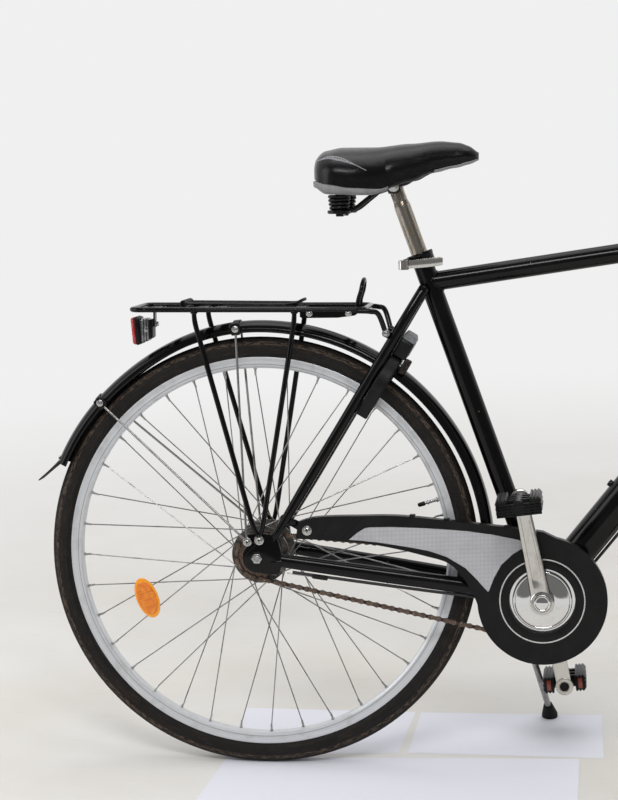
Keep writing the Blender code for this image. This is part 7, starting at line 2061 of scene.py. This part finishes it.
def ring_lock():
    end = 138.0
    section = [(0.041, -0.0082), (0.0428, -0.01), (0.056, -0.01), (0.058, -0.008), (0.058, 0.008),
        (0.056, 0.01), (0.0428, 0.01), (0.041, 0.0082)]
    arc = lathe(section, LOCK_SPOT, LOCK_ALONG, 100, first=LOCK_OUT, arc=(-end, 2 * end))
    box = [LOCK_SPOT + LOCK_OUT * o + LOCK_ALONG * a + Y * y for o, wide, low,
        high in ((0.05, 0.038, -0.014, 0.0097), (0.078, 0.036, -0.014, 0.0097),
        (0.0872, 0.0295, -0.0105, 0.0085)) for a in (low, high) for y in (-wide, wide)]
    legs = [rounded(hull([LOCK_SPOT - LOCK_OUT * o + LOCK_ALONG * a + Y * side * y for o, near,
        far in ((0.0, 0.0417, 0.0576), (0.03, 0.0367, 0.0556), (0.0555, 0.0338, 0.0505),
        (0.06, 0.035, 0.047)) for a in (-0.0095, 0.0095) for y in (near, far)]), 0.0022, 3)
        for side in (RIGHT, LEFT)]
    body = join(arc, rounded(hull(box), 0.0036, 3), *legs)
    solid("ring_lock_shell", body, "abs", "frame", "ring_lock_body", angle=40)
    cap = [LOCK_SPOT + LOCK_OUT * o + LOCK_ALONG * a + Y * y for o, wide, low,
        high in ((0.08, 0.0362, -0.0148, 0.008), (0.085, 0.033, -0.0128, 0.008),
        (0.0905, 0.0275, -0.0095, 0.008)) for a in (low, high) for y in (-wide, wide)]
    solid("ring_lock_cap", rounded(hull(cap), 0.0026, 3), "lock_cap", "frame", angle=40)
    low, high = sorted((LOCK_SIGN * 22.0, LOCK_SIGN * 140.0))
    groove = lathe(mm([(45.5, -10.4), (51.5, -10.4), (51.5, -9), (45.5, -9)]), LOCK_SPOT, LOCK_ALONG,
        60, first=LOCK_OUT, arc=(low + 2, high - low - 4))
    solid("ring_lock_groove", groove, "rubber", "frame")
    key = LOCK_SPOT + LOCK_OUT * 0.066 + Y * 0.0362
    barrel = lathe(mm([(0, -1), (7.8, -1), (7.8, 0.6), (7, 1.3), (0, 1.3)]), key, Y, 32)
    solid("lock_cylinder", barrel, "zinc", "frame", angle=40)
    # Painted shade: a dark bar on the cylinder for the shade inside its key slot
    slot = hull([key + Y * h + LOCK_OUT * a + LOCK_ALONG * b for h in (0.0009, 0.0016)
        for a in (-0.0034, 0.0034) for b in (-0.0007, 0.0007)])
    solid("lock_cylinder_slot", slot, "rubber", "frame")
    first, last = LOCK_SIGN * 137.0, LOCK_SIGN * 33.0
    path = [lock_at(0.0485, first + (last - first) * k / 60) for k in range(61)]
    spot = lock_at(0.0485, LOCK_SIGN * 34.0)
    stem = rod(spot, spot - LOCK_ALONG * 0.016, 0.0024, 16)
    solid("lock_bolt_rod", join(tube(path, 0.0042, 20, domed=True), stem), "chrome", "shackle",
        "lock_shackle", angle=50)
    knob = lathe(mm([(0, 13), (9.2, 13), (10.2, 14), (10.2, 16), (9, 17.2), (9, 19), (10.2, 20.4),
        (10.2, 23.6), (8.8, 25), (0, 25)]), spot, -LOCK_ALONG, 40)
    grip = [spot - LOCK_ALONG * a + LOCK_OUT * o + Y * y for a, o_low, o_high,
        y_far in ((0.013, -0.0125, 0.0135, 0.0095), (0.025, -0.01, 0.015, 0.0085))
        for o in (o_low, o_high) for y in (-y_far, y_far)]
    lever = join(knob, rounded(hull(grip), 0.003, 3))
    solid("lock_knob", lever, "lock_lever", "shackle", angle=40)


ring_lock()

# Stand


def stand():
    start = STAND_PIVOT + STAND_AXIS * 0.0095
    end = FOOT + UP_TRUE * 0.012
    aim = (end - start).normalized()
    boss = rounded(rod(STAND_PIVOT + STAND_AXIS * 0.0016, STAND_PIVOT + STAND_AXIS * 0.017, 0.011, 36),
        0.001)
    path = fine([start, end], 0.01)
    radii = taper(path, [(0.0, 0.0066), (0.1, 0.0058), (0.3, 0.0052), (1.0, 0.0052)])
    leg = tube(path, radii, 28)
    solid("stand_leg_cast", join(boss, leg), "stand", "stand", "stand_leg", angle=44)
    head = bolt(STAND_PIVOT + STAND_AXIS * 0.017, STAND_AXIS, 0.0052, 0.004)
    solid("stand_pivot_bolt", head, "zinc", "stand", angle=40)
    u, v = X, UP_TRUE.cross(X).normalized()
    spots = []
    for radius, up in ((0.0122, 0.0), (0.0132, 0.0016), (0.0135, 0.004), (0.013, 0.0085)):
        spots += [FOOT + UP_TRUE * up + (u * cos(TAU * k / 36) + v * sin(TAU * k / 36)) * radius
            for k in range(36)]
    spots += disc_points(end - aim * 0.017, 0.0074, aim, 36)
    solid("stand_foot_boot", hull(spots), "rubber", "stand", "stand_foot", angle=40, floor=True)
    coil = []
    for k in range(141):
        s = k / 140
        turn = TAU * 11 * s
        side = aim.cross(STAND_AXIS).normalized()
        coil.append(start + aim * (0.016 + 0.04 * s) + (STAND_AXIS * cos(turn) + side * sin(turn))
            * 0.0074)
    solid("stand_spring", tube(coil, 0.0012, 8, domed=True), "zinc", "stand", angle=60)


stand()

# Fork, bar, brake and cables

FORK_LENGTH, FORK_HALF, STEERER_TOP = 0.418, 0.046, 0.606
STEM_TOP = STEERER_TOP + 0.092
BRAKE_UP, BRAKE_OUT, BRAKE_ARM, BRAKE_Y = 0.283, 0.026, 0.1, 0.041


def fork():
    crown = FORK_LENGTH - 0.017
    parts = [lathe([(0.0, crown), (0.0188, crown), (0.019, crown + 0.002), (0.019, FORK_LENGTH - 0.001),
        (0.0184, FORK_LENGTH - 0.0002), (0.0, FORK_LENGTH - 0.0002)], STEER_BASE, STEER_UP, 40),
        rod(steer_point(0, 0, crown), steer_point(0, 0, STEERER_TOP - 0.001), 0.0142, 32),
        tube([steer_point(0, -FORK_HALF, crown), steer_point(0, FORK_HALF, crown)], 0.015, 36,
        domed=True),]
    metal = [rod(FRONT_AXLE - Y * 0.065, FRONT_AXLE + Y * 0.065, 0.0047, 24)]
    for side in (RIGHT, LEFT):
        leg = smooth_path([steer_point(0, side * FORK_HALF, crown + 0.008),
            steer_point(0.001, side * (FORK_HALF + 0.001), 0.3),
            steer_point(0.009, side * (FORK_HALF + 0.003), 0.15),
            steer_point(0.028, side * (FORK_HALF + 0.005), 0.06),
            steer_point(FORK_RAKE - 0.004, side * 0.054, 0.014),], 48)
        radii = [0.014 + (0.0085 - 0.014) * k / 47 for k in range(48)]
        parts.append(tube(leg, radii, 32, domed=True))
        plate = slab(mm([(-16, -10), (-10, -14.5), (6, -14.5), (12, -12), (12, 12), (8, 24), (-2, 34),
            (-18, 31), (-20, 26)]), side * 0.053 - 0.0029, side * 0.053 + 0.0029)
        plate = rounded(plate, 0.001, 2, 50)
        parts.append(([c + FRONT_AXLE for c in plate[0]], plate[1]))
        head = rounded(tube([FRONT_AXLE + Y * side * 0.056, FRONT_AXLE + Y * side * 0.063], 0.0088, 6),
            0.0008)
        metal.append(head)
        eye = FRONT_AXLE + vec(-0.016, side * 0.066, 0.026)
        parts.append(rod(vec(eye.x, side * 0.052, eye.z), eye - Y * side * 0.0023, 0.0036, 20))
        boss = steer_point(BRAKE_OUT, side * BRAKE_Y, BRAKE_UP)
        metal.append(rod(boss - STEER_OUT * 0.018, boss + STEER_OUT * 0.0058, 0.004, 20))
        parts.append(lathe(mm([(4.2, -18), (7.5, -18), (6.6, -5.5), (4.2, -5.5)]), boss, STEER_OUT, 24))
    solid("fork_blades", join(*parts), "enamel", "steering", "fork", angle=44)
    solid("fork_axle_and_nuts", join(*metal), "zinc", "steering", angle=40)


def bar_centre():
    return steer_point(0.085, 0, STEM_TOP + 0.045)


BAR_BEND = ((0.0, 0.034, 0.0), (0.002, 0.052, 0.002), (0.014, 0.1, 0.018),
            (0.01, 0.15, 0.036), (-0.02, 0.19, 0.043), (-0.058, 0.216, 0.042))
BAR_END = vec(-0.84, 0.52, -0.16).normalized()


def grip_start(side):
    x, y, z = BAR_BEND[-1]
    return bar_centre() + vec(x, side * y, z)


def grip_along(side):
    return vec(BAR_END.x, side * BAR_END.y, BAR_END.z)


def lever_ahead():
    ahead = grip_along(LEFT).cross(Z)
    return (-ahead if ahead.x < 0 else ahead).normalized()


def lever_pivot():
    return grip_start(LEFT) + grip_along(LEFT) * 0.029 + lever_ahead() * 0.036 + Z * -0.004


def stem_and_bar():
    low = STEERER_TOP + 0.0003
    centre = bar_centre()
    neck = steer_point(0, 0, STEM_TOP)
    top = STEM_TOP - 0.006
    quill = lathe([(0.0, low), (0.0178, low), (0.0185, low + 0.001), (0.0185, low + 0.015),
        (0.0172, low + 0.017), (0.0128, low + 0.018), (0.0125, low + 0.022), (0.0125, top), (0.0, top)],
        STEER_BASE, STEER_UP, 44)
    joint = rounded(rod(neck - Y * 0.017, neck + Y * 0.017, 0.0165, 44), 0.0012)
    arm = tube([neck, neck.lerp(centre, 0.5), centre], mm([15, 14.3, 15]), 36)
    barrel = lathe(both_ends(mm([(20.5, 21.3), (19.3, 22.5), (13, 22.5)])), centre, Y, 44)
    solid("stem_cast", join(quill, joint, arm, barrel), "alloy", "steering", "stem", angle=44)
    ahead = (centre - neck).normalized()
    bolts = [bolt(centre + ahead * 0.0195 + Y * y, ahead, 0.004, 0.0045, "cap")
        for y in (-0.0125, 0.0125)]
    bolts.append(bolt(neck + Y * 0.0168, Y, 0.005, 0.005, "cap"))
    solid("stem_bolts", join(*bolts), "zinc", "steering", angle=40)
    halves = []
    for side in (RIGHT, LEFT):
        start, along = grip_start(side), grip_along(side)
        curve = smooth_path([centre + vec(x, side * y, z) for x, y, z in BAR_BEND], 60)
        halves.append([start + along * 0.19, start + along * 0.004] + curve[::-1][:-1])
    middle = [centre + Y * y for y in (-0.032, -0.028, 0.028, 0.032)]
    path = halves[0] + middle + halves[1][::-1]
    radii = [0.0111] * len(path)
    radii[len(halves[0]) + 1] = radii[len(halves[0]) + 2] = 0.0127
    solid("handlebar_tube", tube(path, radii, 36, face=Z), "alloy", "steering", "handlebar", angle=44)
    start, along = grip_start(RIGHT), grip_along(RIGHT)
    housing = lathe(mm([(11.2, 0), (17, 0), (19.3, 2), (19.5, 4), (19.5, 22), (18.8, 24), (11.2, 24)]),
        start + along * 0.006, along, 44)
    spout = start + along * 0.012 + vec(0.012, 0, -0.01)
    tip = spout - along * 0.034 + vec(0.004, 0, -0.004)
    window = block(start + along * 0.018 + Z * 0.0185, mm((15, 15, 4)),
        Matrix.Rotation(radians(-32), 3, "Z"), 0.0015)
    solid("shifter_housing", join(housing, tube([spout, tip], [0.006, 0.0045], 24, domed=True), window),
        "abs", "steering", angle=44)
    hinge, ahead = lever_pivot(), lever_ahead()
    start, along = grip_start(LEFT), grip_along(LEFT)
    band = lathe(mm([(11.2, 0), (14.4, 0), (15, 1), (15, 17), (14.4, 18), (11.2, 18)]),
        start + along * 0.02, along, 40)
    flat = [hinge - ahead * 0.03 + along * a for a in (-0.009, 0.009)]
    flat += [hinge + along * a + ahead * o for a in (-0.007, 0.007) for o in (-0.006, 0.006)]
    bracket = hull([s + Z * z for s in flat for z in (-0.01, -0.0068)], 0.0008)
    gland = tube([hinge - along * 0.0155 - Z * 0.002 - ahead * 0.012,
        hinge - along * 0.004 - Z * 0.006 - ahead * 0.012], 0.004, 20, domed=True)
    solid("brake_lever_bracket", join(band, bracket, gland), "abs", "steering", angle=44)
    solid("brake_lever_pin", rod(hinge - Z * 0.008, hinge + Z * 0.0072, 0.002, 20), "zinc", "steering")


def grips():
    for side, name in SIDES:
        start, along = grip_start(side), grip_along(side)
        near = 0.194 - 0.118
        profile = [(0.0114, near), (0.018, near), (0.0186, near + 0.001), (0.0184, near + 0.004)]
        for k in range(17):
            at = near + 0.0055 + 0.0063 * k
            profile += [(0.0163, at), (0.0166, at + 0.0008), (0.0166, at + 0.004),
                (0.0163, at + 0.0048), (0.0157, at + 0.0052), (0.0157, at + 0.0058)]
        profile += [(0.0165, 0.19), (0.0162, 0.1915), (0.0135, 0.194), (0.0, 0.194)]
        solid("grip_rubber_" + name, lathe(profile, start, along, 48), "rubber", "steering",
            "grip_" + name, angle=40)
        if side == RIGHT:
            low = 0.0306
            section = [(0.0119, low), (0.0186, low), (0.019, low + 0.0008), (0.0176, low + 0.0294),
                (0.0172, low + 0.03), (0.0119, low + 0.03)]
            ring = lathe(section, start, along, 72)
            ribs = []
            for k in range(28):
                turn = TAU * k / 28
                u, v = across(along)
                out = u * cos(turn) + v * sin(turn)
                ribs.append(tube([start + along * (low + 0.002) + out * 0.0186,
                    start + along * (low + 0.027) + out * 0.0174], 0.0007, 6))
            solid("shift_twister_rubber", join(ring, *ribs), "rubber", "twister", "shift_twister",
                angle=44)


def brakes():
    pivot, along, ahead = lever_pivot(), grip_along(LEFT), lever_ahead()
    path = smooth_path([pivot - along * 0.004, pivot + along * 0.022 + ahead * 0.014,
        pivot + along * 0.06 + ahead * 0.024, pivot + along * 0.118 + ahead * 0.026], 40)
    radii = taper(path, [(0.0, 0.006), (0.15, 0.0062), (0.4, 0.0054), (0.8, 0.0056), (0.93, 0.0062),
        (1.0, 0.0054)])
    solid("brake_lever_blade", tube(path, radii, 24, domed=True), "abs", "lever", "brake_lever",
        angle=50)
    for side, name in SIDES:
        from_node("brake_arm_cast_" + name, "brake_arm_" + name, "abs", "brake_" + name[0], 0.0008, 50)
        spot = steer_point(BRAKE_OUT + 0.0095, side * BRAKE_Y, BRAKE_UP)
        solid("brake_arm_bolt_" + name, bolt(spot, STEER_OUT, 0.005, 0.0052, "cap"), "zinc",
            "brake_" + name[0], angle=40)


SHIFT_FROM_BAR = ((0.0287, -0.232, -0.0062), (0.0737, -0.205, -0.0202),
                  (0.1107, -0.13, -0.0702))
fork()
stem_and_bar()
grips()
brakes()


# Cables: the routes of the CAD model, in the bicycle's own frame

CABLE_RADIUS = 0.0025
SHIFT_BY_TUBE = ((0.1084, -0.07, 0.1129), (0.0684, -0.045, 0.0329),
                 (0.0154, -0.033, -0.0291))


def shift_route():
    joint, along, over = down_tube_line()
    points = [bar_centre() + Vector(p) for p in SHIFT_FROM_BAR]
    points += [joint + Vector(p) for p in SHIFT_BY_TUBE]
    for at in (0.5, 0.4, 0.3, 0.2, 0.11):
        points.append(BB + along * at - over * (DOWN_TUBE + CABLE_RADIUS + 0.0006) - Y * 0.004)
    shell = BB_SHELL + CABLE_RADIUS + 0.001
    points += [BB + vec(shell * 0.8, -0.012, -shell * 0.75),
        BB + vec(shell * 0.05, -0.019, -shell * 1.02)]
    start, end = vec(0.03, 0, -0.006), vec(BB.x - 0.0042, 0, BB.z)
    for share, y in ((0.8, -0.033), (0.6, -0.0415), (0.41, -0.0505), (0.22, -0.0575), (0.06, -0.0615)):
        spot = start.lerp(end, share)
        points.append(vec(spot.x, y, spot.z - 0.0143))
    return smooth_path(points, 48)


def brake_route():
    grip, along = grip_start(LEFT), grip_along(LEFT)
    start = lever_pivot() - along * 0.016 - Z * 0.002 - lever_ahead() * 0.012
    top = steer_point(BRAKE_OUT + 0.002, 0, BRAKE_UP + BRAKE_ARM)
    return smooth_path([start, start - along * 0.05 + vec(0.02, 0, -0.004),
        vec(start.x + 0.085, grip.y * 0.45, start.z - 0.045),
        vec(start.x + 0.1, grip.y * 0.08, start.z - 0.13), top + vec(0.052, -0.03, 0.12),
        top + vec(0.03, -0.066, 0.05), top + STEER_OUT * 0.004 + vec(0.012, -0.068, 0.016),
        top + STEER_OUT * 0.004 + vec(0.0, -0.058, 0.0),], 25)


def cable(name, node, route, body, on_it=()):
    """A sheathed cable along the given route, riding on one body."""
    path = [SETTLE @ p for p in smooth_path(route, 4 * len(route))]
    data = bpy.data.curves.new(name, "CURVE")
    data.dimensions = "3D"
    data.bevel_depth = CABLE_RADIUS
    data.bevel_resolution = 4
    data.use_fill_caps = True
    spline = data.splines.new("POLY")
    spline.points.add(len(path) - 1)
    for spot, target in zip(spline.points, path):
        spot.co = (*target, 1.0)
    data.materials.append(FINISHES["sheath"])
    item = placed_in(name, data)
    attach(item, body)
    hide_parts(node)
    return item


# Black sheath of the cables: smooth plastic, a little dusty
make_finish("sheath", "black_wire", "black_pvc_cable_sheath", "141414", 0.35, 0.0,
    [("noise", 14, 0.45, 0.7, "2e2b28", 0.5, 0.55)])


def shifter_end():
    """The cable's stretch from the twist shifter to the cable held by the frame."""
    start, along = grip_start(RIGHT), grip_along(RIGHT)
    spout = start + along * 0.03 - Z * 0.02
    end = bar_centre() + Vector(SHIFT_FROM_BAR[0])
    bridge = smooth_path([spout, spout + vec(0.03, 0.003, 0.001), spout + vec(0.062, 0.004, -0.008),
        end - vec(0.02, 0.004, -0.0062), end], 40)
    solid("shift_cable_lead", tube(bridge, CABLE_RADIUS, 20, domed=True), "sheath",
        ("steering", "frame", tuple(SETTLE @ bridge[4]), tuple(SETTLE @ end)))
    barrel = tube([spout - X * 0.006, spout + vec(0.012, 0.0012, 0)], 0.0042, 24)
    foot = block(start + along * 0.0335 - Z * 0.0178, mm((12, 9, 6)), None, 0.0008)
    solid("shifter_cable_stop", join(barrel, foot), "abs", "steering")


def hub_end():
    """Stop under the chain stay and the pull rod that goes on to the hub."""
    path = smooth_path(shift_route(), 240)
    under_stay = [p - Z * 0.0016 for p in path if 0.086 < p.x < 0.112 and p.z < 0.0]
    stop = solid("shift_cable_stop", tube(under_stay, 0.004, 24, domed=True), "rubber", "frame")
    near = under_stay[-1]
    pull = rod(near + vec(0.001, 0, -0.0012), near + vec(-0.04, -0.0006, 0.0042), 0.0011, 12)
    return stop, solid("shift_chain_rod", pull, "zinc", "frame")


shifter_end()
cable("shift_cable_housing", "shift_cable", shift_route(), "frame", hub_end())
cable("brake_cable_housing", "brake_cable", brake_route(), "steering")
